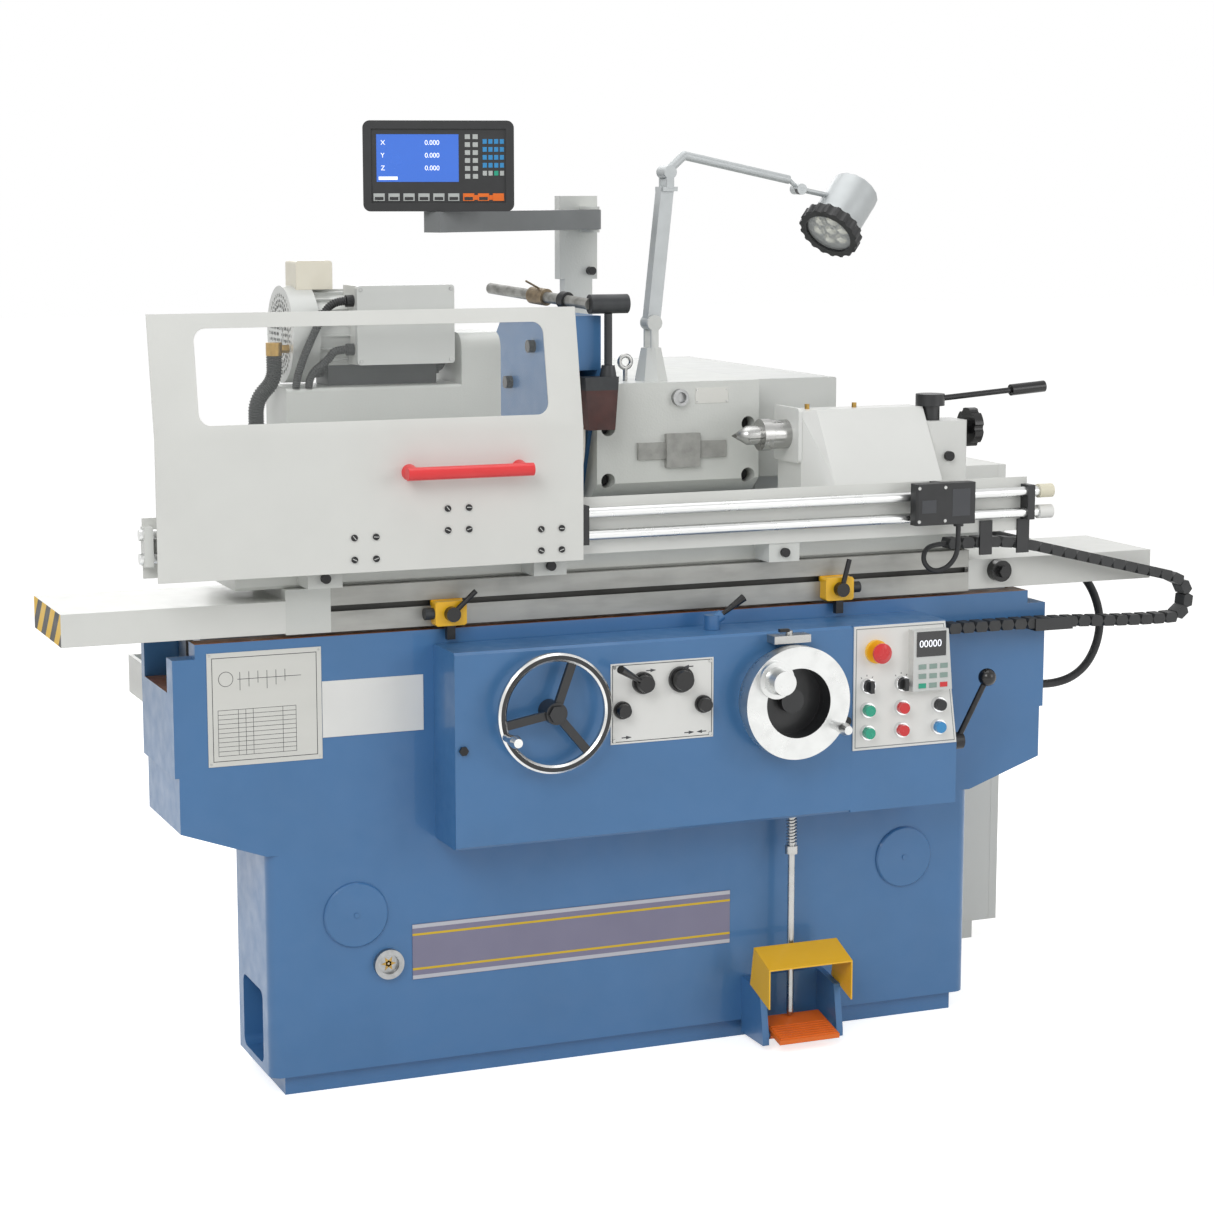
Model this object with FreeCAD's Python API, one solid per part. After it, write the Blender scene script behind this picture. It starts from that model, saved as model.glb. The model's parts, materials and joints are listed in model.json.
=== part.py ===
import FreeCAD, Part
import math
import os

# Universal cylindrical grinding machine, millimetres.
# X runs along the table, Y from the operator to the back, Z up from the floor.
# The origin is on the floor under the middle of the front bed.

Vector = FreeCAD.Vector
ALONG_X = Vector(1, 0, 0)
ALONG_Y = Vector(0, 1, 0)
ALONG_Z = Vector(0, 0, 1)
CUT_PAST = 2.0
FULL_TURN = 360.0
SEAT_GAP = 0.3
RUNNING_CLEARANCE = 0.05
SMALL_SHARE = 1e-6

# Front bed: a column that widens into the upper body
BED_FRONT_Y = -195.0
BED_DEPTH = 250.0
COLUMN_HALF = 745.0
UPPER_HALF = 915.0
UPPER_STEP = 8.0
UPPER_STEP_Z = 630.0
UPPER_UNDERSIDE_Z = 525.0
COLUMN_TOP_Z = 468.0
BED_TOP_Z = 875.0
BED_SHOULDER_Z = 848.0
BED_SHOULDER_WIDTH = 42.0
TOE_HEIGHT = 38.0
TOE_INSET = 30.0
TOE_FRONT_INSET = 15.0
COLUMN_FILLET = 25.0
BED_WALL = 28.0
TROUGH_FRONT_WALL = 45.0
TROUGH_BACK_WALL = 24.0
TROUGH_BOTTOM_Z = 782.0
TROUGH_END_WALL = 60.0
POCKET_WIDTH = 140.0
POCKET_HEIGHT = 142.0
POCKET_FLOOR_Z = 52.0
POCKET_INSET = 54.0
POCKET_RADIUS = 18.0
GUTTER_WIDTH = 150.0
GUTTER_BOTTOM_Z = 722.0
GUTTER_HEIGHT = 74.0
GUTTER_WALL = 8.0

# Cross bed behind the front bed, which carries the wheelhead
CROSS_LEFT_X = -200.0
CROSS_RIGHT_X = 470.0
CROSS_DEPTH = 850.0
CROSS_TOP_Z = 940.0
CROSS_WAY_Z = 962.0
CROSS_WAY_WIDTH = 90.0
CROSS_WAY_INSET = 90.0
CROSS_NECK_Z = 860.0
CROSS_NECK_INSET = 30.0

# Guideways in the trough
WAY_END_GAP = 5.0
WAY_LENGTH = 2 * (UPPER_HALF - TROUGH_END_WALL - WAY_END_GAP)
FLAT_WAY_WIDTH = 50.0
VEE_WAY_WIDTH = 54.0
VEE_RISE = 16.0
WAY_SIDE_GAP = 8.0

# Front fittings
PLUG_RADIUS = 63.0
PLUG_THICKNESS = 6.0
PLUG_LEFT_X = -576.0
PLUG_RIGHT_X = 592.0
PLUG_Z = 340.0
PLUG_SCREW_RADIUS = 5.0
SIGHT_X = -514.0
SIGHT_Z = 239.0
SIGHT_RADIUS = 29.0
SIGHT_HEIGHT = 12.0
SIGHT_BORE = 19.0

# Plates on the bed and the apron
PLATE_THICKNESS = 1.5
DIAGRAM_LEFT_X = -852.0
DIAGRAM_WIDTH = 216.0
DIAGRAM_HEIGHT = 211.0
DIAGRAM_BOTTOM_Z = 646.0
SIGN_GAP = 1.0
SIGN_WIDTH = 197.0
SIGN_HEIGHT = 106.0
SIGN_BOTTOM_Z = 685.0
BANNER_LEFT_X = -465.0
BANNER_WIDTH = 666.0
BANNER_HEIGHT = 108.0
BANNER_BOTTOM_Z = 201.0
KNOB_PLATE_WIDTH = 213.0
KNOB_PLATE_HEIGHT = 155.0
KNOB_PLATE_BOTTOM_Z = 652.0
PLATE_SCREW_RADIUS = 3.5
PLATE_SCREW_HEAD = 2.0
PLATE_SCREW_INSET = 7.0

# Apron with its gear housing, and the control box beside it
APRON_FRONT_Y = -315.0
APRON_LEFT_X = -417.0
APRON_RIGHT_X = 406.0
APRON_BOTTOM_Z = 475.0
APRON_TOP_Z = 848.0
APRON_WALL = 14.0
APRON_EDGE = 5.0
BOX_RIGHT_X = 643.0
BOX_TOP_RIGHT_X = 612.0
PANEL_BOTTOM_Z = 599.0
PANEL_TOP_MARGIN = 2.0
PANEL_SIDE_MARGIN = 2.0
PANEL_THICKNESS = 3.0
HEX_PLUG_X = -401.0
HEX_PLUG_Z = 664.0
ROUND_PLUG_X = 394.0
ROUND_PLUG_Z = 660.0
PLUG_BODY_RADIUS = 9.0
PLUG_BODY_HEIGHT = 6.0

# Push buttons, selectors and the emergency stop
BEZEL_RADIUS = 14.8
BEZEL_HEIGHT = 11.0
BEZEL_BORE = 11.6
BUTTON_RADIUS = 11.2
BUTTON_PROUD = 8.0
BUTTON_TRAVEL = 3.0
BUTTON_STEM = 8.0
BUTTON_STEM_RADIUS = 5.0
BUTTON_COLUMNS_X = (437.0, 513.0, 596.0)
BUTTON_ROWS_Z = (680.0, 635.0)
BUTTON_NAMES = (
    "start_button",
    "pump_button",
    "wheel_stop_button",
    "pump_stop_button",
    "wheel_start_button",
    "feed_button",
)
SELECTOR_NAMES = ("coolant_selector", "work_selector")
SELECTOR_Z = 728.0
SELECTOR_RADIUS = 11.2
SELECTOR_BODY = 4.0
SELECTOR_GRIP_HEIGHT = 15.0
SELECTOR_GRIP_WIDTH = 8.0
SELECTOR_GRIP_LENGTH = 24.0
STOP_X = 455.0
STOP_Z = 795.0
STOP_COLLAR_RADIUS = 23.0
STOP_COLLAR_HEIGHT = 9.0
STOP_STEM_RADIUS = 9.0
STOP_STEM_LENGTH = 22.0
STOP_HEAD_RADIUS = 20.0
STOP_HEAD_HEIGHT = 13.0

# Drive keypad
KEYPAD_LEFT_X = 529.0
KEYPAD_WIDTH = 88.0
KEYPAD_TOP_INSET = 10.0
KEYPAD_BOTTOM_Z = 712.0
KEYPAD_HEIGHT = 122.0
KEYPAD_DEPTH = 20.0
KEYPAD_DISPLAY_HEIGHT = 50.0
KEYPAD_MARGIN = 6.0
KEYPAD_DISPLAY_RISE = 1.5
KEY_WIDTH = 17.0
KEY_HEIGHT = 10.0
KEY_PITCH_X = 24.0
KEY_PITCH_Z = 19.0
KEY_RISE = 1.5
KEY_ROWS = 3
KEY_COLUMNS = 3

# Knobs on the knob plate
RAPID_KNOB_X = -42.0
RAPID_KNOB_Z = 768.0
RAPID_KNOB_RADIUS = 21.0
RAPID_KNOB_HEIGHT = 26.0
RAPID_GRIP_LENGTH = 76.0
RAPID_GRIP_RADIUS = 8.0
RAPID_GRIP_RISE = 38.0
RAPID_GRIP_ANGLE = 150.0
FEED_KNOB_X = 37.0
FEED_KNOB_Z = 769.0
FEED_KNOB_RADIUS = 25.0
FEED_KNOB_HEIGHT = 24.0
STOP_KNOB_X = 84.0
STOP_KNOB_Z = 718.0
STOP_KNOB_RADIUS = 17.0
STOP_KNOB_HEIGHT = 20.0
NOSE_SHARE = 0.34
KNOB_TURN_SHARE = 0.86
KNOB_STEM_RADIUS = 6.0
KNOB_STEM_PAST = 10.0

# Table handwheel, three spokes
TABLE_WHEEL_X = -232.0
TABLE_WHEEL_Z = 729.0
TABLE_WHEEL_Y = -350.0
TABLE_WHEEL_RADIUS = 114.0
RIM_WIDTH = 16.0
RIM_DEPTH = 17.0
WHEEL_HUB_RADIUS = 21.0
WHEEL_HUB_LENGTH = 44.0
WHEEL_HUB_NUT_RADIUS = 17.0
WHEEL_HUB_NUT_HEIGHT = 6.0
SPOKE_WIDTH = 16.0
SPOKE_THICKNESS = 9.0
SPOKE_COUNT = 3
SPOKE_FIRST_ANGLE = 70.0
TABLE_SHAFT_RADIUS = 12.0
TABLE_SHAFT_LENGTH = 210.0
CRANK_ANGLE = 200.0
CRANK_LENGTH = 62.0
CRANK_FOOT_RADIUS = 8.5
CRANK_TIP_RADIUS = 12.5

# Infeed handwheel: a graduated drum with a fine-feed knob
INFEED_X = 259.0
INFEED_Z = 716.0
INFEED_FRONT_Y = -378.0
INFEED_RIM_RADIUS = 110.0
INFEED_RIM_DEPTH = 30.0
INFEED_DRUM_RADIUS = 98.0
INFEED_BORE_RADIUS = 68.0
INFEED_BORE_DEPTH = 46.0
INFEED_HUB_RADIUS = 24.0
INFEED_HUB_LENGTH = 20.0
FINE_KNOB_RADIUS = 27.0
FINE_KNOB_LENGTH = 34.0
FINE_KNOB_COLLAR_RADIUS = 36.0
FINE_KNOB_COLLAR_LENGTH = 12.0
FINE_KNOB_OFFSET_X = -52.0
FINE_KNOB_OFFSET_Z = 50.0
INFEED_CRANK_ANGLE = -32.0
INFEED_SHAFT_RADIUS = 14.0
INFEED_SHAFT_LENGTH = 95.0
CLAMP_WIDTH = 78.0
CLAMP_HEIGHT = 15.0
CLAMP_DEPTH = 34.0
CLAMP_Z = 836.0
CLAMP_SCREW_RADIUS = 7.0

# Reversing lever on the apron and the start lever beside the control box
REVERSE_X = 135.0
REVERSE_Y = -246.0
REVERSE_BOSS_RADIUS = 15.0
REVERSE_BOSS_HEIGHT = 28.0
REVERSE_ROD_RADIUS = 4.0
REVERSE_GRIP_RADIUS = 8.0
REVERSE_REACH_X = 68.0
REVERSE_REACH_Z = 44.0
REVERSE_SLEEVE_RADIUS = 11.0
REVERSE_SLEEVE_SHARE = 0.3
START_Y = -298.0
START_Z = 597.0
START_HUB_RADIUS = 17.0
START_HUB_LENGTH = 20.0
START_ROD_RADIUS = 6.0
START_BALL_RADIUS = 18.0
START_REACH_X = 54.0
START_REACH_Y = -22.0
START_REACH_Z = 129.0

# Foot pedal
PEDAL_CENTRE_X = 318.0
PEDAL_ROD_OFFSET = 3.0
PEDAL_ROD_Y = -240.0
PEDAL_ROD_RADIUS = 7.0
PEDAL_ROD_INSIDE = 60.0
PEDAL_ROD_TIP = 8.0
COLLAR_RADIUS = 13.0
COLLAR_HEIGHT = 16.0
COLLAR_Z = 384.0
SPRING_RADIUS = 9.8
SPRING_WIRE = 2.4
SPRING_CURLS = 11
SPRING_QUARTERS = 4
PEDAL_WIDTH = 132.0
PEDAL_BACK_Y = -230.0
PEDAL_FRONT_Y = -325.0
PEDAL_BACK_Z = 46.0
PEDAL_FRONT_Z = 24.0
PEDAL_PIVOT_Y = -275.0
PEDAL_PIVOT_DROP = 8.0
PEDAL_THICKNESS = 9.0
PEDAL_RIB_COUNT = 7
PEDAL_RIB_HEIGHT = 1.6
PEDAL_RIB_WIDTH = 4.0
PEDAL_PIN_RADIUS = 6.0
PEDAL_SLEEVE_WALL = 3.5
PEDAL_BRACKET_WIDTH = 178.0
PEDAL_BRACKET_HEIGHT = 128.0
PEDAL_BRACKET_CHEEK = 14.0
PEDAL_BRACKET_REACH = 100.0
PEDAL_BRACKET_BACK = 8.0
PEDAL_CHEEK_TOP_REACH = 84.0
PEDAL_CHEEK_TOP_Z = 116.0
PEDAL_BRACKET_FOOT_Z = 12.0
PEDAL_GUARD_BACK_Y = -256.0
PEDAL_GUARD_FRONT_Y = -327.0
PEDAL_GUARD_BACK_Z = 204.0
PEDAL_GUARD_FRONT_Z = 176.0
PEDAL_GUARD_LOW_Z = 96.0
PEDAL_GUARD_HEEL_Y = -240.0
PEDAL_GUARD_HEEL_Z = 124.0
PEDAL_GUARD_LIP = 12.0
PEDAL_GUARD_SHEET = 3.0

# Electrical cabinet behind the right end
CABINET_LEFT_X = CROSS_RIGHT_X
CABINET_OVERHANG = 154.5
CABINET_RIGHT_X = UPPER_HALF + CABINET_OVERHANG
CABINET_FRONT_Y = 265.0
CABINET_DEPTH = 420.0
CABINET_HEIGHT = 1083.0
CABINET_FOOT = 40.0
CABINET_WALL = 3.0
CABINET_BOARD = 4.0
CABINET_DOOR = 20.0
CABINET_HINGE_RADIUS = 6.0
CABINET_HINGE_LENGTH = 60.0
CABINET_PIN_RADIUS = 3.0
HINGE_SHARES = (0.15, 0.5, 0.85)
CABINET_LATCH_RADIUS = 14.0

# Table with its T-slot and end covers
TABLE_FRONT_Y = -190.0
TABLE_BACK_Y = 50.0
TABLE_LEFT_X = -700.0
TABLE_RIGHT_X = 735.0
TABLE_BOTTOM_Z = 881.0
TABLE_TOP_Z = 965.0
SLOT_Z = 925.0
SLOT_MOUTH = 11.0
SLOT_LIP = 6.0
SLOT_INNER = 19.0
SLOT_DEPTH = 15.0
SLOT_LEFT_X = -614.0
RACK_HEIGHT = 10.0
RACK_END = 60.0
RACK_WIDTH = 24.0
COVER_LEFT_END_X = -1113.0
COVER_RIGHT_END_X = 1171.0
COVER_BOTTOM_Z = 884.0
COVER_TOP_Z = 944.0
COVER_BACK_Y = 58.0
COVER_SHEET = 2.5
SWIVEL_KNOB_X = 800.0
SWIVEL_KNOB_Z = 921.0
SWIVEL_KNOB_RADIUS = 22.0
SWIVEL_KNOB_LENGTH = 24.0
SWIVEL_HEX_RADIUS = 13.0

# Table dogs
LEFT_DOG_X = -388.0
RIGHT_DOG_X = 428.0
DOG_WIDTH = 62.0
DOG_HEIGHT = 46.0
DOG_DEPTH = 26.0
DOG_EDGE = 4.0
DOG_Z = 906.0
DOG_KNOB_RADIUS = 14.0
DOG_KNOB_LENGTH = 16.0
DOG_LEVER_RADIUS = 5.0
DOG_LEVER_LENGTH = 62.0
DOG_PAWL_WIDTH = 16.0
DOG_PAWL_DROP = 26.0
DOG_BUMPER_RADIUS = 11.0
DOG_BUMPER_LENGTH = 18.0
LEFT_DOG_LEVER_ANGLE = 42.0
RIGHT_DOG_LEVER_ANGLE = 75.0

# Swivelling upper table
UPPER_TABLE_LEFT_X = -790.0
UPPER_TABLE_RIGHT_X = 760.0
UPPER_TABLE_FRONT_Y = -178.0
UPPER_TABLE_BACK_Y = 30.0
UPPER_TABLE_TOP_Z = 1066.0
UPPER_TABLE_EDGE = 6.0
SWIVEL_X = -15.0
SWIVEL_PIN_RADIUS = 20.0
SWIVEL_PIN_DEPTH = 22.0

# Splash guard: backing sheet, two rails and the sliding door
SHEET_LEFT_X = -975.0
SHEET_RIGHT_X = 832.0
SHEET_FRONT_Y = -248.0
SHEET_THICKNESS = 3.0
SHEET_BOTTOM_Z = 1009.0
SHEET_TOP_Z = 1117.0
BRACKET_XS = (-640.0, -200.0, 290.0)
BRACKET_WIDTH = 66.0
BRACKET_FOOT_Z = 972.0
BRACKET_BOLT_RADIUS = 9.0
BRACKET_BOLT_HEAD = 9.0
RAIL_Y = -264.0
RAIL_RADIUS = 10.0
RAIL_ZS = (1047.0, 1089.0)
RAIL_LEFT_X = -985.0
RAIL_RIGHT_X = 848.0
RAIL_SUPPORT_XS = (-970.0, 826.0)
RAIL_SUPPORT_WIDTH = 16.0
CAP_RADIUS = 14.0
CAP_LENGTH = 32.0
HANGER_XS = (752.0, 838.0)
HANGER_WIDTH = 28.0
HANGER_DROP = 46.0
HANGER_THICKNESS = 4.0
DOOR_LEFT_X = -958.0
DOOR_RIGHT_X = -150.0
DOOR_Y = -288.0
DOOR_SHEET = 2.5
DOOR_BOTTOM_Z = 1004.0
DOOR_BEND_Z = 1255.0
DOOR_TOP_Z = 1475.0
DOOR_LEAN = 42.0
WINDOW_LEFT_INSET = 82.0
WINDOW_RIGHT_INSET = 66.0
WINDOW_BOTTOM_SHARE = 0.11
WINDOW_TOP_SHARE = 0.88
WINDOW_RADIUS = 22.0
WINDOW_LAP = 14.0
PANE_THICKNESS = 4.0
CARRIAGE_XS = (-900.0, -160.0)
CARRIAGE_WIDTH = 46.0
CARRIAGE_HEIGHT = 74.0
CARRIAGE_BACK_Y = -256.0
HANDLE_LEFT_X = -506.0
HANDLE_LENGTH = 243.0
HANDLE_Z = 1183.0
HANDLE_RADIUS = 12.0
HANDLE_OFFSET = 34.0
HANDLE_FOOT_RADIUS = 15.0
HANDLE_NECK_SHARE = 0.85
SCREW_GROUP_XS = (-597.0, -418.0, -235.0)
SCREW_GROUP_ZS = (1048.0, 1093.5, 1046.5)
SCREW_PITCH_X = 41.0
SCREW_PITCH_Z = 40.0
SCREW_RADIUS = 6.0
SCREW_HEAD = 3.0
SWITCH_LEFT_X = 548.0
SWITCH_WIDTH = 134.0
SWITCH_BOTTOM_Z = 1036.0
SWITCH_HEIGHT = 82.0
SWITCH_FRONT_Y = -306.0
SWITCH_BACK_Y = -277.0
SWITCH_ARM = 14.0

# Cable chain between the bed and the guard
CHAIN_Y = -230.7
CHAIN_WIDTH = 34.0
CHAIN_HEIGHT = 21.0
CHAIN_PITCH = 30.0
CHAIN_JOINT = 0.6
CHAIN_TAPER = 4.4
CHAIN_START_X = 655.0
CHAIN_SAG_X = 800.0
CHAIN_FAR_X = 1232.0
CHAIN_FAR_Z = 884.0
CHAIN_RETURN_X = 1100.0
CHAIN_RETURN_Z = 806.0
CHAIN_LEVEL_X = 900.0
CHAIN_END_X = 660.0
CHAIN_TOP_Z = 988.0
CHAIN_LOW_Z = 815.0
TRAY_LEFT_X = 860.0
TRAY_WIDTH = 88.0
TRAY_DROP = 2.7
TRAY_HEIGHT = 22.0
TRAY_SHEET = 3.0

# Workhead on the upper table
WORK_AXIS_Y = -70.0
WORK_AXIS_Z = 1204.0
WORKHEAD_LEFT_X = -690.0
WORKHEAD_RIGHT_X = -262.0
WORKHEAD_FRONT_Y = -160.0
WORKHEAD_BACK_Y = 0.0
WORKHEAD_BASE_HEIGHT = 26.0
WORKHEAD_INSET = 10.0
WORKHEAD_NOSE_ROUND = 30.0
WORKHEAD_DISC_RADIUS = 82.0
WORKHEAD_DISC_HEIGHT = 20.0
WORKHEAD_CASE_LEFT_X = -680.0
WORKHEAD_CASE_RIGHT_X = -340.0
WORKHEAD_CASE_TOP_Z = 1330.0
WORKHEAD_NOSE_TOP_Z = 1425.0
WORKHEAD_EDGE = 6.0
MOTOR_LEFT_X = -660.0
MOTOR_RIGHT_X = -352.0
MOTOR_Y = -45.0
MOTOR_Z = 1424.0
MOTOR_RADIUS = 82.0
MOTOR_COWL_RADIUS = 90.0
MOTOR_COWL_LENGTH = 52.0
COWL_SHEET = 2.0
COWL_SLOT_COUNT = 9
MOTOR_FOOT_WIDTH = 22.0
MOTOR_FOOT_HEIGHT = 58.0
FIN_COUNT = 20
FIN_HEIGHT = 6.0
FIN_WIDTH = 3.0
COWL_SLOT_ROWS = 5
COWL_SLOT_RADIUS = 4.0
TERMINAL_LEFT_X = -549.6
TERMINAL_WIDTH = 188.5
TERMINAL_BOTTOM_Z = 1371.0
TERMINAL_HEIGHT = 145.0
TERMINAL_FRONT_Y = -172.0
TERMINAL_LID = 14.0
FAN_BOX_WIDTH = 70.0
FAN_BOX_HEIGHT = 46.0
FAN_BOX_INSET = 22.0
CONDUIT_NUT_LENGTH = 14.0
CONDUIT_NUT_RADIUS = 11.0
CONDUIT_RADIUS = 8.0
CONDUIT_Y = -146.0
CONDUIT_DROP = 28.0
CONDUIT_FOOT_X = -660.0
CONDUIT_RISE_SHARE = 0.3
CONDUIT_END_RUN = 24.0
SPINDLE_RADIUS = 27.0
SPINDLE_END_X = -600.0
DRIVE_PLATE_RADIUS = 55.0
DRIVE_PLATE_THICKNESS = 14.0
DRIVE_PIN_RADIUS = 6.0
DRIVE_PIN_LENGTH = 20.0
CENTRE_RADIUS = 15.0
CENTRE_LENGTH = 48.0
HOSE_RIB_PITCH = 4.6
HOSE_RIB_HEIGHT = 1.6
HOSE_WALL = 2.0
HOSE_RADIUS = 15.0
HOSE_Y = -100.0
HOSE_REACH = 44.0
HOSE_BEND_SHARE = 0.55
HOSE_LOW_Z = 1225.0
HOSE_TOP_X = -688.0
HOSE_TOP_Z = 1388.0
HOSE_FITTING = 24.0

# Tailstock
TAIL_LEFT_X = 386.0
TAIL_BODY_X = 441.0
TAIL_RIGHT_X = 683.0
TAIL_BLOCK_X = 775.0
TAIL_TOP_Z = 1251.0
TAIL_TOP_FRONT_Y = -80.0
TAIL_TOP_BACK_Y = -22.0
TAIL_FOOT_FRONT_Y = -186.0
TAIL_BACK_Y = 18.0
TAIL_NOSE_HALF = 52.0
TAIL_BLOCK_TOP_Z = 1222.0
TAIL_BLOCK_FRONT_Y = -108.0
TAIL_BLOCK_BACK_Y = -30.0
TAIL_SLOPE_SHARE = 0.27
TAIL_LEDGE_SHARE = 0.78
TAIL_SCREW_Z = 1150.0
TAIL_FLANGE = 8.0
TAIL_FLANGE_HALF = 55.0
QUILL_RADIUS = 29.0
QUILL_LEFT_X = 338.0
QUILL_END_X = 640.0
QUILL_COLLAR_RADIUS = 32.0
QUILL_COLLAR_LENGTH = 20.0
QUILL_TRAVEL = 30.0
LIVE_BODY_RADIUS = 19.0
LIVE_BODY_LENGTH = 28.0
LIVE_CONE_LENGTH = 34.0
TAIL_LEVER_X = 706.0
TAIL_HUB_RADIUS = 30.0
TAIL_HUB_HEIGHT = 24.0
TAIL_HUB_NECK_RADIUS = 20.0
TAIL_HUB_NECK_HEIGHT = 29.0
TAIL_ROD_RADIUS = 6.0
TAIL_ROD_LENGTH = 190.0
TAIL_ROD_RISE = 14.0
TAIL_GRIP_RADIUS = 12.0
TAIL_GRIP_LENGTH = 80.0
TAIL_KNOB_RADIUS = 40.0
TAIL_KNOB_LENGTH = 20.0
TAIL_KNOB_NECK_RADIUS = 14.0
TAIL_KNOB_NECK_LENGTH = 16.0
KNOB_LOBES = 6
KNOB_NOTCH = 9.0
OILER_RADIUS = 5.0
OILER_HEIGHT = 10.0
OILER_SHARES = (0.16, 0.52)

# Wheelhead with its slide, swivel base, guard and belt cover
SLIDE_LEFT_X = -20.0
SLIDE_RIGHT_X = 392.0
SLIDE_FRONT_Y = 128.0
SLIDE_LENGTH = 640.0
SLIDE_TOP_Z = 1016.0
TURN_X = 186.0
TURN_Y = 330.0
TURN_RADIUS = 150.0
HEAD_LEFT_X = 8.0
HEAD_RIGHT_X = 365.0
HEAD_FRONT_Y = 30.0
HEAD_BACK_Y = 760.0
HEAD_BOTTOM_Z = 1078.0
HEAD_TOP_Z = 1307.0
HEAD_CHAMFER_Z = 1107.0
HEAD_CHAMFER_Y = 32.0
HEAD_BOLT_RADIUS = 15.0
HEAD_BOLT_DEPTH = 12.0
HEAD_BOLT_INSET_X = 24.0
HEAD_BOLT_TOP_Z = 1218.0
HEAD_BOLT_LOW_Z = 1098.0
HEAD_EDGE = 4.0
CROSS_RELIEF_X = 192.0
CROSS_RELIEF_Z = 1170.0
CROSS_BAR_WIDTH = 194.0
CROSS_BAR_HEIGHT = 34.0
CROSS_BLOCK_WIDTH = 74.0
CROSS_BLOCK_HEIGHT = 68.0
CROSS_RELIEF_RISE = 6.0
HEAD_SIGHT_X = 186.0
HEAD_SIGHT_Z = 1276.0
HEAD_SIGHT_RADIUS = 17.0
BELT_COVER_RIGHT_X = 580.0
BELT_COVER_FRONT_Y = 105.0
BELT_COVER_DOOR = 20.0
BELT_COVER_BOTTOM_Z = 1100.0
BELT_COVER_TOP_Z = 1302.0
BELT_COVER_OVERHANG = 87.0
BELT_PITCH = 19.0
BELT_WIDTH = 13.0
BELT_THICKNESS = 9.0
BELT_COUNT = 3
GUARD_LEFT_X = -92.0
GUARD_FRONT_Y = 10.0
GUARD_BACK_Y = 350.0
GUARD_BOTTOM_Z = 1078.0
GUARD_TOP_Z = 1444.0
GUARD_LIP_Z = 1337.0
GUARD_SHEET = 8.0
GUARD_SHOULDER = 60.0
GUARD_KNOB_YS = (120.0, 250.0)
GUARD_KNOB_ZS = (1380.0, 1300.0)
GUARD_KNOB_LENGTH = 14.0
GUARD_KNOB_RADIUS = 13.0
WHEEL_AXIS_Y = 168.0
GRINDING_RADIUS = 150.0
GRINDING_WIDTH = 44.0
GRINDING_LEFT_X = -66.0
FLANGE_RADIUS = 62.0
FLANGE_THICKNESS = 10.0
ARBOR_RADIUS = 32.0
WHEEL_PULLEY_RADIUS = 49.0
PULLEY_LEFT_X = 430.0
PULLEY_AXIS_Y = 700.0
MOTOR_SHAFT_LENGTH = 80.0
SPINDLE_NUT = 6.0
EYE_RADIUS = 17.0
EYE_WIRE = 4.5
EYE_X = 98.0
EYE_Y = 100.0
EYE_SHANK = 26.0

# Coolant nozzle on the wheel guard
NOZZLE_X = -8.0
NOZZLE_Y = -18.0
NOZZLE_HALF_WIDTH = 36.0
NOZZLE_DEPTH = 36.0
NOZZLE_TOP_Z = 1326.0
NOZZLE_BOTTOM_Z = 1222.0
NOZZLE_TAPER = 8.0
NOZZLE_WALL = 4.0
NOZZLE_RISER_OFFSET = 20.0
NOZZLE_CUP_RADIUS = 17.0
NOZZLE_CUP_HEIGHT = 22.0
NOZZLE_PIPE_RADIUS = 8.0
TEE_Z = 1468.0
TEE_RADIUS = 19.0
TEE_LENGTH = 80.0
FEED_PIPE_RADIUS = 11.0
FEED_PIPE_LENGTH = 300.0
FEED_PIPE_DRIFT = -96.0
FEED_PIPE_RISE = 22.0
VALVE_SHARE = 0.42
VALVE_RADIUS = 17.0
VALVE_LENGTH = 46.0

# Digital readout
POST_X = 82.0
POST_Y = 312.0
POST_WIDTH = 84.0
POST_NECK_WIDTH = 62.0
POST_NECK_Z = 1505.0
POST_TOP_Z = 1676.0
POST_THICKNESS = 28.0
READOUT_ARM_ANGLE = 210.0
READOUT_ARM_LENGTH = 500.0
READOUT_ARM_SIZE = 40.0
READOUT_ARM_Z = 1628.0
READOUT_PIVOT_X = 100.0
READOUT_PIVOT_Y = 285.0
READOUT_PIN_RADIUS = 8.0
ARM_KNUCKLE_RADIUS = 17.0
KNUCKLE_PLATE = 6.0
CONSOLE_WIDTH = 289.0
CONSOLE_HEIGHT = 172.0
CONSOLE_DEPTH = 46.0
CONSOLE_RADIUS = 14.0
CONSOLE_RIM = 16.0
CONSOLE_RECESS = 4.0
CONSOLE_LIFT = 12.0
CONSOLE_REACH = 144.0
CONSOLE_TURN = -18.0
CONSOLE_KEYS = 9
CONSOLE_KEY_RISE_SHARE = 1.25
CONSOLE_KEY_SHARE = 0.75

# Work lamp
LAMP_X = 155.0
LAMP_Y = 100.0
LAMP_BASE_RADIUS = 36.0
LAMP_BASE_HEIGHT = 66.0
LAMP_BASE_TOP_RADIUS = 22.0
LAMP_BASE_SIDES = 8
LAMP_PIVOT_RISE = 50.0
LAMP_PIVOT_RADIUS = 16.0
LAMP_EAR_SINK = 8.0
LAMP_KNUCKLE_RADIUS = 11.0
ARM_TOP_X = 188.0
ARM_TOP_Z = 1724.0
ARM_SECTION = 28.0
ARM_END_MARGIN = 24.0
BOOM_ELBOW_X = 226.0
BOOM_ELBOW_Z = 1757.0
BOOM_END_X = 462.0
BOOM_END_Z = 1709.0
BOOM_RADIUS = 9.0
LAMP_KNOB_X = 484.0
LAMP_KNOB_Z = 1690.0
LAMP_HEAD_X = 590.0
LAMP_HEAD_Z = 1650.0
LAMP_HEAD_RADIUS = 52.0
LAMP_HEAD_LENGTH = 104.0
LAMP_HEAD_SIDES = 16
LAMP_RING_RADIUS = 66.0
LAMP_RING_LENGTH = 24.0
LAMP_GLASS_RADIUS = 50.0
LAMP_GLASS_SINK = 6.0
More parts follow.
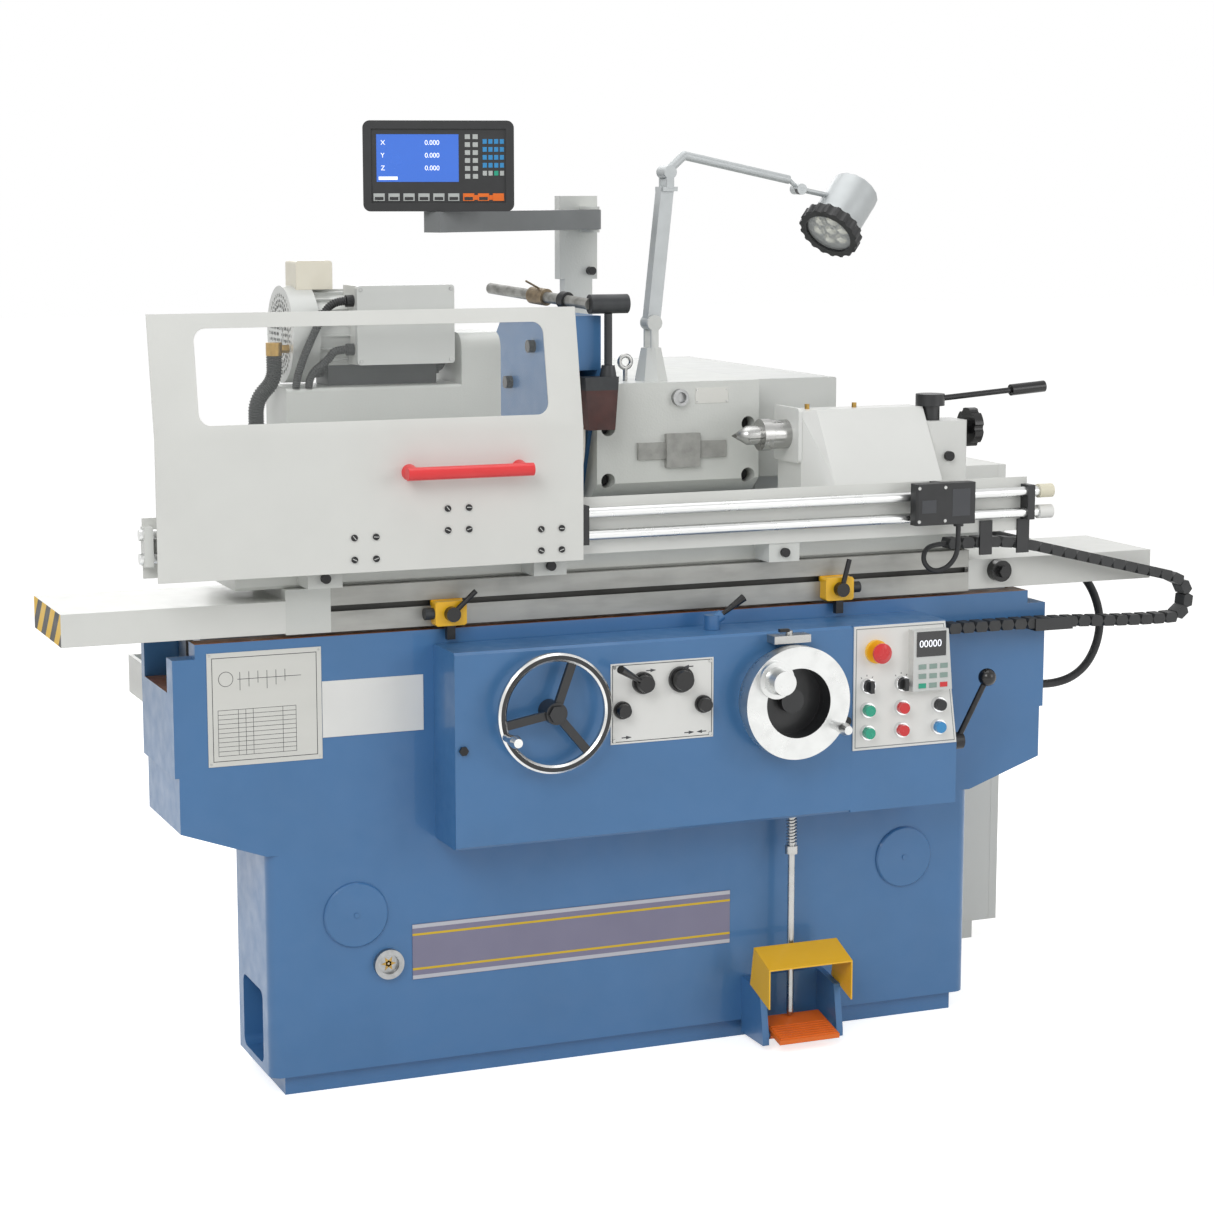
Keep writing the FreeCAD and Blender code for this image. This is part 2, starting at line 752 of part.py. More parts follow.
LAMP_SHELL = 5.0
LAMP_SCALLOPS = 18
LAMP_SCALLOP_OFFSET = 8.0
LAMP_SCALLOP_RADIUS = 12.0
LAMP_HANDLE_WIRE = 5.5
LAMP_HANDLE_REACH = 48.0
LAMP_AIM = Vector(-0.649, -0.340, -0.681)

# Power cable from the bed to the electrical cabinet
CABLE_RADIUS = 9.0
CABLE_GLAND_RADIUS = 16.0
CABLE_BEND_SHARE = 0.45
POWER_STEPS = (
    Vector(22.0, -60.0, 648.0),
    Vector(62.0, -60.0, 648.0),
    Vector(115.0, -58.0, 646.0),
    Vector(166.0, -50.0, 656.0),
    Vector(212.0, -35.0, 682.0),
    Vector(248.0, -15.0, 726.0),
    Vector(269.0, 12.0, 778.0),
    Vector(266.0, 52.0, 840.0),
    Vector(226.0, 88.0, 890.0),
    Vector(173.0, 122.0, 922.0),
    Vector(130.0, 178.0, 932.0),
    Vector(130.0, 243.0, 932.0),
)
POWER_ROUTE = tuple(Vector(UPPER_HALF, 0, 0) + step for step in POWER_STEPS)
SWITCH_CABLE_RADIUS = 5.0
SWITCH_ROUTE = (
    Vector(651.0, -291.0, 1030.0),
    Vector(651.0, -291.0, 1004.0),
    Vector(650.0, -290.0, 972.0),
    Vector(632.0, -284.0, 946.0),
    Vector(604.0, -274.0, 938.0),
    Vector(588.0, -262.0, 958.0),
    Vector(600.0, -250.0, 982.0),
    Vector(628.0, -240.0, 988.0),
    Vector(654.4, -236.0, 988.0),
)


def block(x0, x1, y0, y1, z0, z1):
    """Box between two opposite corners."""
    return Part.makeBox(x1 - x0, y1 - y0, z1 - z0, Vector(x0, y0, z0))


def rod(start, end, radius):
    """Round bar from one point to another."""
    run = end - start
    return Part.makeCylinder(radius, run.Length, start, run)


def taper(start, end, radius_start, radius_end):
    """Cone frustum from one point to another."""
    run = end - start
    return Part.makeCone(radius_start, radius_end, run.Length, start, run)


def tube(start, end, outer, inner):
    """Round bar with a bore right through it."""
    past = (end - start).normalize() * CUT_PAST
    return rod(start, end, outer).cut(rod(start - past, end + past, inner))


def prism(points, run):
    """Straight prism over a closed polygon."""
    return Part.Face(Part.makePolygon(list(points) + [points[0]])).extrude(run)


def front_outline(points, y0, y1):
    """Prism along Y over an outline given as X and Z."""
    return prism([Vector(x, y0, z) for x, z in points], Vector(0, y1 - y0, 0))


def side_outline(points, x0, x1):
    """Prism along X over an outline given as Y and Z."""
    return prism([Vector(x0, y, z) for y, z in points], Vector(x1 - x0, 0, 0))


def turned(profile, start, axis):
    """Solid of revolution: the profile gives distance along the axis, then radius."""
    points = [Vector(radius, 0, along) for along, radius in profile]
    face = Part.Face(Part.makePolygon(points + [points[0]]))
    solid = face.revolve(Vector(), ALONG_Z, FULL_TURN)
    solid.Placement = FreeCAD.Placement(start, FreeCAD.Rotation(ALONG_Z, axis))
    return solid


def turned_about(shape, centre, axis, angle):
    """Copy of a shape turned about an axis through a point."""
    copy = shape.copy()
    copy.rotate(centre, axis, angle)
    return copy


def edges_along(shape, axis):
    """Straight edges of a shape that run along an axis."""
    found = []
    for edge in shape.Edges:
        if edge.Curve.TypeId == "Part::GeomLine" and len(edge.Vertexes) > 1:
            run = edge.Vertexes[1].Point - edge.Vertexes[0].Point
            if run.cross(axis).Length < run.Length * SMALL_SHARE:
                found.append(edge)
    return found


def eased(shape, axis, radius):
    """Fillet on every straight edge that runs along an axis."""
    return shape.makeFillet(radius, edges_along(shape, axis))


def bevelled(shape, axis, size):
    """Chamfer on every straight edge that runs along an axis."""
    return shape.makeChamfer(size, edges_along(shape, axis))


def fused(shapes):
    """One solid from touching or overlapping shapes."""
    whole = shapes[0]
    for shape in shapes[1:]:
        whole = whole.fuse(shape)
    return whole.removeSplitter()


def less(shape, cutters):
    """Shape with every cutter taken away."""
    for cutter in cutters:
        shape = shape.cut(cutter)
    return shape


def around(count):
    """Angles of equally spaced copies round a circle, in degrees."""
    return [FULL_TURN * index / count for index in range(count)]


def polar(radius, angle):
    """Sideways and upward reach of a point on a circle, angle in degrees."""
    return radius * math.cos(math.radians(angle)), radius * math.sin(math.radians(angle))


def export(name, solids):
    """Write one node as a STEP file."""
    shape = solids[0] if len(solids) == 1 else Part.makeCompound(solids)
    shape.exportStep("parts/" + name + ".step")


def wall_screw(x, y, z, radius, head):
    """Round screw head standing on a face that looks to the front."""
    return rod(Vector(x, y, z), Vector(x, y - head, z), radius)


def bed_casting():
    """T-shaped hollow bed: column, widened top with its trough, cross bed and gutter."""
    back = BED_FRONT_Y + BED_DEPTH
    toe_half = COLUMN_HALF - TOE_INSET
    shoulder = UPPER_HALF - BED_SHOULDER_WIDTH
    stepped = UPPER_HALF - UPPER_STEP
    toe = block(-toe_half, toe_half, BED_FRONT_Y + TOE_FRONT_INSET, back, 0, TOE_HEIGHT)
    column = block(-COLUMN_HALF, COLUMN_HALF, BED_FRONT_Y, back, TOE_HEIGHT, COLUMN_TOP_Z)
    column = eased(column, ALONG_Z, COLUMN_FILLET)
    upper = front_outline(
        (
            (-stepped, UPPER_UNDERSIDE_Z),
            (-COLUMN_HALF, COLUMN_TOP_Z),
            (COLUMN_HALF, COLUMN_TOP_Z),
            (stepped, UPPER_UNDERSIDE_Z),
            (stepped, UPPER_STEP_Z),
            (UPPER_HALF, UPPER_STEP_Z),
            (UPPER_HALF, BED_SHOULDER_Z),
            (shoulder, BED_SHOULDER_Z),
            (shoulder, BED_TOP_Z),
            (-shoulder, BED_TOP_Z),
            (-shoulder, BED_SHOULDER_Z),
            (-UPPER_HALF, BED_SHOULDER_Z),
            (-UPPER_HALF, UPPER_STEP_Z),
            (-stepped, UPPER_STEP_Z),
        ),
        BED_FRONT_Y,
        back,
    )
    neck = block(CROSS_LEFT_X, CROSS_RIGHT_X, back, back + CROSS_NECK_INSET, 0, CROSS_NECK_Z)
    cross = block(CROSS_LEFT_X, CROSS_RIGHT_X, neck.BoundBox.YMax, back + CROSS_DEPTH, 0, CROSS_TOP_Z)
    casting = fused([toe, column, upper, neck, cross] + cross_ways(cross.BoundBox))
    trough_front = BED_FRONT_Y + TROUGH_FRONT_WALL
    trough_back = back - TROUGH_BACK_WALL
    trough = block(
        -UPPER_HALF - CUT_PAST,
        UPPER_HALF - TROUGH_END_WALL,
        trough_front,
        trough_back,
        TROUGH_BOTTOM_Z,
        BED_TOP_Z + CUT_PAST,
    )
    pocket = block(
        -COLUMN_HALF - CUT_PAST,
        -COLUMN_HALF + POCKET_INSET,
        BED_FRONT_Y + (BED_DEPTH - POCKET_WIDTH) / 2,
        BED_FRONT_Y + (BED_DEPTH + POCKET_WIDTH) / 2,
        POCKET_FLOOR_Z,
        POCKET_FLOOR_Z + POCKET_HEIGHT,
    )
    inside = block(
        -COLUMN_HALF + POCKET_INSET + BED_WALL,
        COLUMN_HALF - BED_WALL,
        BED_FRONT_Y + BED_WALL,
        back - BED_WALL,
        TOE_HEIGHT,
        TROUGH_BOTTOM_Z - BED_WALL,
    )
    cross_inside = block(
        CROSS_LEFT_X + BED_WALL,
        CROSS_RIGHT_X - BED_WALL,
        back + BED_WALL,
        back + CROSS_DEPTH - BED_WALL,
        TOE_HEIGHT,
        CROSS_NECK_Z - BED_WALL,
    )
    shaft_start = Vector(TABLE_WHEEL_X, BED_FRONT_Y - CUT_PAST, TABLE_WHEEL_Z)
    shaft_end = Vector(TABLE_WHEEL_X, BED_FRONT_Y + BED_WALL + CUT_PAST, TABLE_WHEEL_Z)
    shaft_space = rod(shaft_start, shaft_end, TABLE_SHAFT_RADIUS + RUNNING_CLEARANCE)
    cutters = [trough, eased(pocket, ALONG_X, POCKET_RADIUS), inside, cross_inside, shaft_space]
    return [less(casting, cutters), gutter(back)]


def cross_ways(top):
    """Two raised ways on the cross bed, under the wheelhead slide."""
    left = top.XMin + CROSS_WAY_INSET
    right = top.XMax - CROSS_WAY_INSET
    return [
        block(left, left + CROSS_WAY_WIDTH, top.YMin, top.YMax, top.ZMax, CROSS_WAY_Z),
        block(right - CROSS_WAY_WIDTH, right, top.YMin, top.YMax, top.ZMax, CROSS_WAY_Z),
    ]


def gutter(back):
    """Open coolant gutter along the back of the left half."""
    end = -UPPER_HALF + GUTTER_WALL
    top = GUTTER_BOTTOM_Z + GUTTER_HEIGHT
    outer = block(end, CROSS_LEFT_X, back, back + GUTTER_WIDTH, GUTTER_BOTTOM_Z, top)
    inner = block(
        end + GUTTER_WALL,
        CROSS_LEFT_X - GUTTER_WALL,
        back + GUTTER_WALL,
        back + GUTTER_WIDTH - GUTTER_WALL,
        GUTTER_BOTTOM_Z + GUTTER_WALL,
        top + CUT_PAST,
    )
    return outer.cut(inner)


def flat_way_place():
    """Front and back of the flat guideway."""
    front = BED_FRONT_Y + TROUGH_FRONT_WALL + WAY_SIDE_GAP
    return front, front + FLAT_WAY_WIDTH


def vee_way_place():
    """Front and back of the V guideway."""
    back = BED_FRONT_Y + BED_DEPTH - TROUGH_BACK_WALL - WAY_SIDE_GAP
    return back - VEE_WAY_WIDTH, back


def vee_points(base_z):
    """Outline of the V ridge, as Y and Z, standing on a given height."""
    front, back = vee_way_place()
    return (front, base_z), (back, base_z), ((front + back) / 2, base_z + VEE_RISE)


def guideways():
    """Flat way and V way, standing in the trough."""
    half = WAY_LENGTH / 2
    land = TABLE_BOTTOM_Z - SEAT_GAP
    flat_front, flat_back = flat_way_place()
    vee_front, vee_back = vee_way_place()
    flat = block(-half, half, flat_front, flat_back, TROUGH_BOTTOM_Z, land)
    stem = block(-half, half, vee_front, vee_back, TROUGH_BOTTOM_Z, land)
    return [flat, fused([stem, side_outline(vee_points(land), -half, half)])]


def apron_shell():
    """Apron housing: a deep cover over the gearing, open towards the bed."""
    shell = block(APRON_LEFT_X, APRON_RIGHT_X, APRON_FRONT_Y, BED_FRONT_Y, APRON_BOTTOM_Z, APRON_TOP_Z)
    inside = block(
        APRON_LEFT_X + APRON_WALL,
        APRON_RIGHT_X - APRON_WALL,
        APRON_FRONT_Y + APRON_WALL,
        BED_FRONT_Y + CUT_PAST,
        APRON_BOTTOM_Z + APRON_WALL,
        APRON_TOP_Z - APRON_WALL,
    )
    shell = bevelled(shell, ALONG_X, APRON_EDGE).cut(inside)
    return less(shell, apron_bores())


def apron_bores():
    """Holes in the front wall for the shafts of the wheels and knobs, and for the pedal rod."""
    bores = [
        front_bore(TABLE_WHEEL_X, TABLE_WHEEL_Z, TABLE_SHAFT_RADIUS),
        front_bore(INFEED_X, INFEED_Z, INFEED_SHAFT_RADIUS),
        drilled_up(PEDAL_CENTRE_X - PEDAL_ROD_OFFSET, PEDAL_ROD_Y, APRON_BOTTOM_Z, PEDAL_ROD_RADIUS),
    ]
    for x, z, _, _ in knob_places():
        bores.append(front_bore(x, z, KNOB_STEM_RADIUS))
    return bores


def front_bore(x, z, radius):
    """Running bore through the apron's front wall."""
    start = Vector(x, APRON_FRONT_Y - CUT_PAST, z)
    return rod(start, Vector(x, APRON_FRONT_Y + APRON_WALL + CUT_PAST, z), radius + RUNNING_CLEARANCE)


def drilled_up(x, y, z, radius):
    """Running bore up through a wall of the apron's thickness."""
    start = Vector(x, y, z - CUT_PAST)
    return rod(start, Vector(x, y, z + APRON_WALL + CUT_PAST), radius + RUNNING_CLEARANCE)


def control_box():
    """Control box beside the apron, with its slanting right side and open front."""
    box = front_outline(
        (
            (APRON_RIGHT_X, APRON_BOTTOM_Z),
            (BOX_RIGHT_X, APRON_BOTTOM_Z),
            (BOX_RIGHT_X, PANEL_BOTTOM_Z),
            (BOX_TOP_RIGHT_X, APRON_TOP_Z),
            (APRON_RIGHT_X, APRON_TOP_Z),
        ),
        APRON_FRONT_Y,
        BED_FRONT_Y,
    )
    low = PANEL_BOTTOM_Z + APRON_WALL
    high = APRON_TOP_Z - APRON_WALL
    inside = front_outline(
        (
            (APRON_RIGHT_X + APRON_WALL, low),
            (BOX_RIGHT_X - APRON_WALL, low),
            (BOX_TOP_RIGHT_X - APRON_WALL, high),
            (APRON_RIGHT_X + APRON_WALL, high),
        ),
        APRON_FRONT_Y - CUT_PAST,
        BED_FRONT_Y - APRON_WALL,
    )
    return box.cut(inside)


def index_clamp():
    """Clamp over the infeed drum, with its screw."""
    left = INFEED_X - CLAMP_WIDTH / 2
    front = APRON_FRONT_Y - CLAMP_DEPTH
    body = block(
        left, left + CLAMP_WIDTH, front, APRON_FRONT_Y, CLAMP_Z - CLAMP_HEIGHT / 2, CLAMP_Z + CLAMP_HEIGHT / 2
    )
    screw = rod(
        Vector(INFEED_X, front + CLAMP_DEPTH / 2, CLAMP_Z),
        Vector(INFEED_X, front + CLAMP_DEPTH / 2, CLAMP_Z + CLAMP_HEIGHT),
        CLAMP_SCREW_RADIUS,
    )
    return fused([body, screw])


def apron_housing():
    """Apron, control box, index clamp and the two wall plugs."""
    hex_plug = front_outline(
        [(HEX_PLUG_X + x, HEX_PLUG_Z + z) for x, z in hexagon(PLUG_BODY_RADIUS)],
        APRON_FRONT_Y - PLUG_BODY_HEIGHT,
        APRON_FRONT_Y,
    )
    round_plug = wall_screw(ROUND_PLUG_X, APRON_FRONT_Y, ROUND_PLUG_Z, PLUG_BODY_RADIUS, PLUG_BODY_HEIGHT)
    return [apron_shell(), control_box(), index_clamp(), hex_plug, round_plug]


def hexagon(radius):
    """Corners of a regular hexagon about the origin."""
    return [polar(radius, angle) for angle in around(6)]


def round_plug(x):
    """Round cover plug with a centre screw on the column."""
    plug = turned(
        (
            (0, 0),
            (0, PLUG_RADIUS),
            (PLUG_THICKNESS / 2, PLUG_RADIUS),
            (PLUG_THICKNESS, PLUG_RADIUS - PLUG_THICKNESS / 2),
            (PLUG_THICKNESS, 0),
        ),
        Vector(x, BED_FRONT_Y, PLUG_Z),
        -ALONG_Y,
    )
    screw = wall_screw(x, BED_FRONT_Y - PLUG_THICKNESS, PLUG_Z, PLUG_SCREW_RADIUS, PLATE_SCREW_HEAD)
    return fused([plug, screw])


def sight_glass(x, z, radius, face_y):
    """Oil sight glass: a ring with its pane set back inside."""
    start = Vector(x, face_y, z)
    ring = tube(start, start - ALONG_Y * SIGHT_HEIGHT, radius, radius * SIGHT_BORE / SIGHT_RADIUS)
    pane = rod(start, start - ALONG_Y * SIGHT_HEIGHT / 3, radius * SIGHT_BORE / SIGHT_RADIUS)
    return [ring, pane]


def plate(left, bottom, width, height, face_y, thickness=PLATE_THICKNESS):
    """Flat plate on a front face."""
    return block(left, left + width, face_y - thickness, face_y, bottom, bottom + height)


def corner_screws(left, bottom, width, height, face_y):
    """Four screws in the corners of a plate."""
    inset = PLATE_SCREW_INSET
    screws = []
    for x in (left + inset, left + width - inset):
        for z in (bottom + inset, bottom + height - inset):
            screws.append(wall_screw(x, face_y, z, PLATE_SCREW_RADIUS, PLATE_SCREW_HEAD))
    return screws


def front_fittings():
    """Plugs, sight glass, bare plates and the control panel on the front faces."""
    solids = [round_plug(PLUG_LEFT_X), round_plug(PLUG_RIGHT_X)]
    solids += sight_glass(SIGHT_X, SIGHT_Z, SIGHT_RADIUS, BED_FRONT_Y)
    sign_left = DIAGRAM_LEFT_X + DIAGRAM_WIDTH + SIGN_GAP
    solids.append(plate(DIAGRAM_LEFT_X, DIAGRAM_BOTTOM_Z, DIAGRAM_WIDTH, DIAGRAM_HEIGHT, BED_FRONT_Y))
    solids.append(plate(sign_left, SIGN_BOTTOM_Z, SIGN_WIDTH, SIGN_HEIGHT, BED_FRONT_Y))
    solids.append(plate(BANNER_LEFT_X, BANNER_BOTTOM_Z, BANNER_WIDTH, BANNER_HEIGHT, BED_FRONT_Y))
    solids.append(knob_plate())
    solids += corner_screws(
        -KNOB_PLATE_WIDTH / 2,
        KNOB_PLATE_BOTTOM_Z,
        KNOB_PLATE_WIDTH,
        KNOB_PLATE_HEIGHT,
        APRON_FRONT_Y - PLATE_THICKNESS,
    )
    solids.append(control_panel())
    return solids


def knob_plate():
    """Plate behind the knobs, drilled for their stems."""
    left = -KNOB_PLATE_WIDTH / 2
    sheet = plate(left, KNOB_PLATE_BOTTOM_Z, KNOB_PLATE_WIDTH, KNOB_PLATE_HEIGHT, APRON_FRONT_Y)
    return less(sheet, [front_bore(x, z, KNOB_STEM_RADIUS) for x, z, _, _ in knob_places()])


def panel_bore(x, z, radius):
    """Hole through the control panel."""
    start = Vector(x, APRON_FRONT_Y - PANEL_THICKNESS - CUT_PAST, z)
    return rod(start, Vector(x, APRON_FRONT_Y + CUT_PAST, z), radius)


def control_panel():
    """Front plate of the control box, drilled for the buttons."""
    sheet = front_outline(
        (
            (APRON_RIGHT_X + PANEL_SIDE_MARGIN, PANEL_BOTTOM_Z),
            (BOX_RIGHT_X - PANEL_SIDE_MARGIN, PANEL_BOTTOM_Z),
            (BOX_TOP_RIGHT_X - PANEL_SIDE_MARGIN, APRON_TOP_Z - PANEL_TOP_MARGIN),
            (APRON_RIGHT_X + PANEL_SIDE_MARGIN, APRON_TOP_Z - PANEL_TOP_MARGIN),
        ),
        APRON_FRONT_Y - PANEL_THICKNESS,
        APRON_FRONT_Y,
    )
    bores = [panel_bore(x, z, BUTTON_STEM_RADIUS + SEAT_GAP) for x, z in button_places() + selector_places()]
    bores.append(panel_bore(STOP_X, STOP_Z, STOP_STEM_RADIUS + SEAT_GAP))
    return less(sheet, bores)


def button_places():
    """Centres of the six push buttons, left column first."""
    return [(x, z) for x in BUTTON_COLUMNS_X for z in BUTTON_ROWS_Z]


def selector_places():
    """Centres of the two selector switches."""
    return [(x, SELECTOR_Z) for x in BUTTON_COLUMNS_X[:2]]


def panel_face():
    """Front face of the control panel."""
    return APRON_FRONT_Y - PANEL_THICKNESS


def panel_hardware():
    """Bezels of buttons and selectors, the stop button's collar and the drive keypad."""
    solids = []
    for x, z in button_places() + selector_places():
        start = Vector(x, panel_face(), z)
        solids.append(tube(start, start - ALONG_Y * BEZEL_HEIGHT, BEZEL_RADIUS, BEZEL_BORE))
    start = Vector(STOP_X, panel_face(), STOP_Z)
    solids.append(
        tube(start, start - ALONG_Y * STOP_COLLAR_HEIGHT, STOP_COLLAR_RADIUS, STOP_STEM_RADIUS + SEAT_GAP)
    )
    return solids + [keypad()]


def keypad():
    """Keypad of the drive: a shallow box with a display and rows of keys."""
    face = panel_face()
    front = face - KEYPAD_DEPTH
    top = KEYPAD_BOTTOM_Z + KEYPAD_HEIGHT
    right = KEYPAD_LEFT_X + KEYPAD_WIDTH
    body = front_outline(
        (
            (KEYPAD_LEFT_X, KEYPAD_BOTTOM_Z),
            (right, KEYPAD_BOTTOM_Z),
            (right - KEYPAD_TOP_INSET, top),
            (KEYPAD_LEFT_X, top),
        ),
        front,
        face,
    )
    display = plate(
        KEYPAD_LEFT_X + KEYPAD_MARGIN,
        top - KEYPAD_MARGIN / 2 - KEYPAD_DISPLAY_HEIGHT,
        KEYPAD_WIDTH - KEYPAD_TOP_INSET - 2 * KEYPAD_MARGIN,
        KEYPAD_DISPLAY_HEIGHT,
        front,
        KEYPAD_DISPLAY_RISE,
    )
    pieces = [body, display]
    first_x = KEYPAD_LEFT_X + (KEYPAD_WIDTH - KEY_WIDTH - (KEY_COLUMNS - 1) * KEY_PITCH_X) / 2
    for row in range(KEY_ROWS):
        for column in range(KEY_COLUMNS):
            left = first_x + column * KEY_PITCH_X
            bottom = KEYPAD_BOTTOM_Z + KEYPAD_MARGIN + row * KEY_PITCH_Z
            pieces.append(plate(left, bottom, KEY_WIDTH, KEY_HEIGHT, front, KEY_RISE))
    return fused(pieces)


def push_button(x, z):
    """Push button: the cap, and a stem through the panel."""
    face = panel_face()
    cap_front = face - BEZEL_HEIGHT - BUTTON_PROUD
    cap_back = face - BUTTON_TRAVEL - SEAT_GAP
    cap = rod(Vector(x, cap_front, z), Vector(x, cap_back, z), BUTTON_RADIUS)
    stem = rod(Vector(x, cap_back, z), Vector(x, APRON_FRONT_Y + BUTTON_STEM, z), BUTTON_STEM_RADIUS)
    return fused([cap, stem])


def selector(x, z):
    """Selector switch: a round body with a raised grip bar."""
    face = panel_face()
    back = face - SEAT_GAP
    front = face - BEZEL_HEIGHT - SELECTOR_BODY
    body = rod(Vector(x, front, z), Vector(x, back, z), SELECTOR_RADIUS)
    grip = block(
        x - SELECTOR_GRIP_WIDTH / 2,
        x + SELECTOR_GRIP_WIDTH / 2,
        front - SELECTOR_GRIP_HEIGHT + SELECTOR_BODY,
        front,
        z - SELECTOR_GRIP_LENGTH / 2,
        z + SELECTOR_GRIP_LENGTH / 2,
    )
    stem = rod(Vector(x, back, z), Vector(x, APRON_FRONT_Y + BUTTON_STEM, z), BUTTON_STEM_RADIUS)
    return fused([body, grip, stem])


def stop_button():
    """Mushroom head of the emergency stop, on its stem."""
    face = panel_face()
    rim = STOP_HEAD_HEIGHT / 3
    head_back = -STOP_STEM_LENGTH
    head = turned(
        (
            (head_back, 0),
            (head_back, STOP_HEAD_RADIUS - rim),
            (head_back - rim, STOP_HEAD_RADIUS),
            (head_back - 2 * rim, STOP_HEAD_RADIUS),
            (head_back - STOP_HEAD_HEIGHT, STOP_HEAD_RADIUS - 2 * rim),
            (head_back - STOP_HEAD_HEIGHT, 0),
        ),
        Vector(STOP_X, face, STOP_Z),
        ALONG_Y,
    )
    stem_end = Vector(STOP_X, APRON_FRONT_Y + BUTTON_STEM, STOP_Z)
    stem = rod(Vector(STOP_X, face - STOP_STEM_LENGTH, STOP_Z), stem_end, STOP_STEM_RADIUS)
    return fused([head, stem])


def knob_places():
    """Centre, radius and height of the four knobs on the knob plate."""
    return (
        (RAPID_KNOB_X, RAPID_KNOB_Z, RAPID_KNOB_RADIUS, RAPID_KNOB_HEIGHT),
        (FEED_KNOB_X, FEED_KNOB_Z, FEED_KNOB_RADIUS, FEED_KNOB_HEIGHT),
        (-STOP_KNOB_X, STOP_KNOB_Z, STOP_KNOB_RADIUS, STOP_KNOB_HEIGHT),
        (STOP_KNOB_X, STOP_KNOB_Z, STOP_KNOB_RADIUS, STOP_KNOB_HEIGHT),
    )


def knob(x, z, radius, height):
    """Turned knob with a narrower nose, on a stem through the apron wall."""
    seat = APRON_FRONT_Y - PLATE_THICKNESS - SEAT_GAP
    body = turned(
        (
            (0, 0),
            (0, radius),
            (height * NOSE_SHARE, radius),
            (height * NOSE_SHARE, radius * KNOB_TURN_SHARE),
            (height, radius * KNOB_TURN_SHARE * KNOB_TURN_SHARE),
            (height, 0),
        ),
        Vector(x, seat, z),
        -ALONG_Y,
    )
    end = APRON_FRONT_Y + APRON_WALL + KNOB_STEM_PAST
    stem = rod(Vector(x, seat, z), Vector(x, end, z), KNOB_STEM_RADIUS)
    return [body, stem]


def rapid_knob():
    """Knob with a lever grip that points up to the left."""
    x, z, radius, height = knob_places()[0]
    middle = Vector(x, APRON_FRONT_Y - PLATE_THICKNESS - height / 2, z)
    side, rise = polar(RAPID_GRIP_LENGTH, RAPID_GRIP_ANGLE)
    tip = middle + Vector(side, -RAPID_GRIP_RISE, rise)
    grip = taper(middle, tip, RAPID_GRIP_RADIUS / 2, RAPID_GRIP_RADIUS)
    return [fused(knob(x, z, radius, height) + [grip])]


def crank_grip(centre, angle, radius, foot_y):
    """Turning grip on a wheel rim: a bolt and a tapered handle towards the operator."""
    side, rise = polar(radius, angle)
    foot = Vector(centre.x + side, foot_y, centre.z + rise)
    waist = CRANK_LENGTH / 4
    grip = turned(
        (
            (0, 0),
            (0, CRANK_FOOT_RADIUS),
            (waist, CRANK_FOOT_RADIUS),
            (CRANK_LENGTH - waist, CRANK_TIP_RADIUS),
            (CRANK_LENGTH, CRANK_FOOT_RADIUS),
            (CRANK_LENGTH, 0),
        ),
        foot,
        -ALONG_Y,
    )
    return grip


def table_handwheel():
    """Three-spoke handwheel: rim, hub with spokes, shaft and crank grip."""
    centre = Vector(TABLE_WHEEL_X, TABLE_WHEEL_Y, TABLE_WHEEL_Z)
    ring_radius = TABLE_WHEEL_RADIUS - RIM_WIDTH / 2
    half = RIM_DEPTH / 2
    inner = TABLE_WHEEL_RADIUS - RIM_WIDTH
    edge = RIM_WIDTH / 4
    rim = turned(
        (
            (-half, inner + edge),
            (-half, TABLE_WHEEL_RADIUS - edge),
            (-half + edge, TABLE_WHEEL_RADIUS),
            (half - edge, TABLE_WHEEL_RADIUS),
            (half, TABLE_WHEEL_RADIUS - edge),
            (half, inner + edge),
            (half - edge, inner),
            (-half + edge, inner),
        ),
        centre,
        ALONG_Y,
    )
    hub_back = APRON_FRONT_Y - SEAT_GAP
    hub_tip = hub_back - WHEEL_HUB_LENGTH
    hub = rod(Vector(centre.x, hub_back, centre.z), Vector(centre.x, hub_tip, centre.z), WHEEL_HUB_RADIUS)
    nut = front_outline(
        [(centre.x + x, centre.z + z) for x, z in hexagon(WHEEL_HUB_NUT_RADIUS)],
        hub_tip - WHEEL_HUB_NUT_HEIGHT,
        hub_tip,
    )
    spokes = []
    for angle in around(SPOKE_COUNT):
        bar = block(
            centre.x,
            centre.x + ring_radius,
            centre.y - SPOKE_THICKNESS / 2,
            centre.y + SPOKE_THICKNESS / 2,
            centre.z - SPOKE_WIDTH / 2,
            centre.z + SPOKE_WIDTH / 2,
        )
        spokes.append(turned_about(bar, centre, ALONG_Y, -SPOKE_FIRST_ANGLE - angle))
    spider = fused([hub] + spokes).cut(rim)
    shaft_end = Vector(centre.x, hub_back + TABLE_SHAFT_LENGTH, centre.z)
    shaft = rod(Vector(centre.x, hub_back, centre.z), shaft_end, TABLE_SHAFT_RADIUS)
    grip = crank_grip(centre, CRANK_ANGLE, ring_radius, centre.y - half)
    return [rim, spider, nut, shaft, grip]


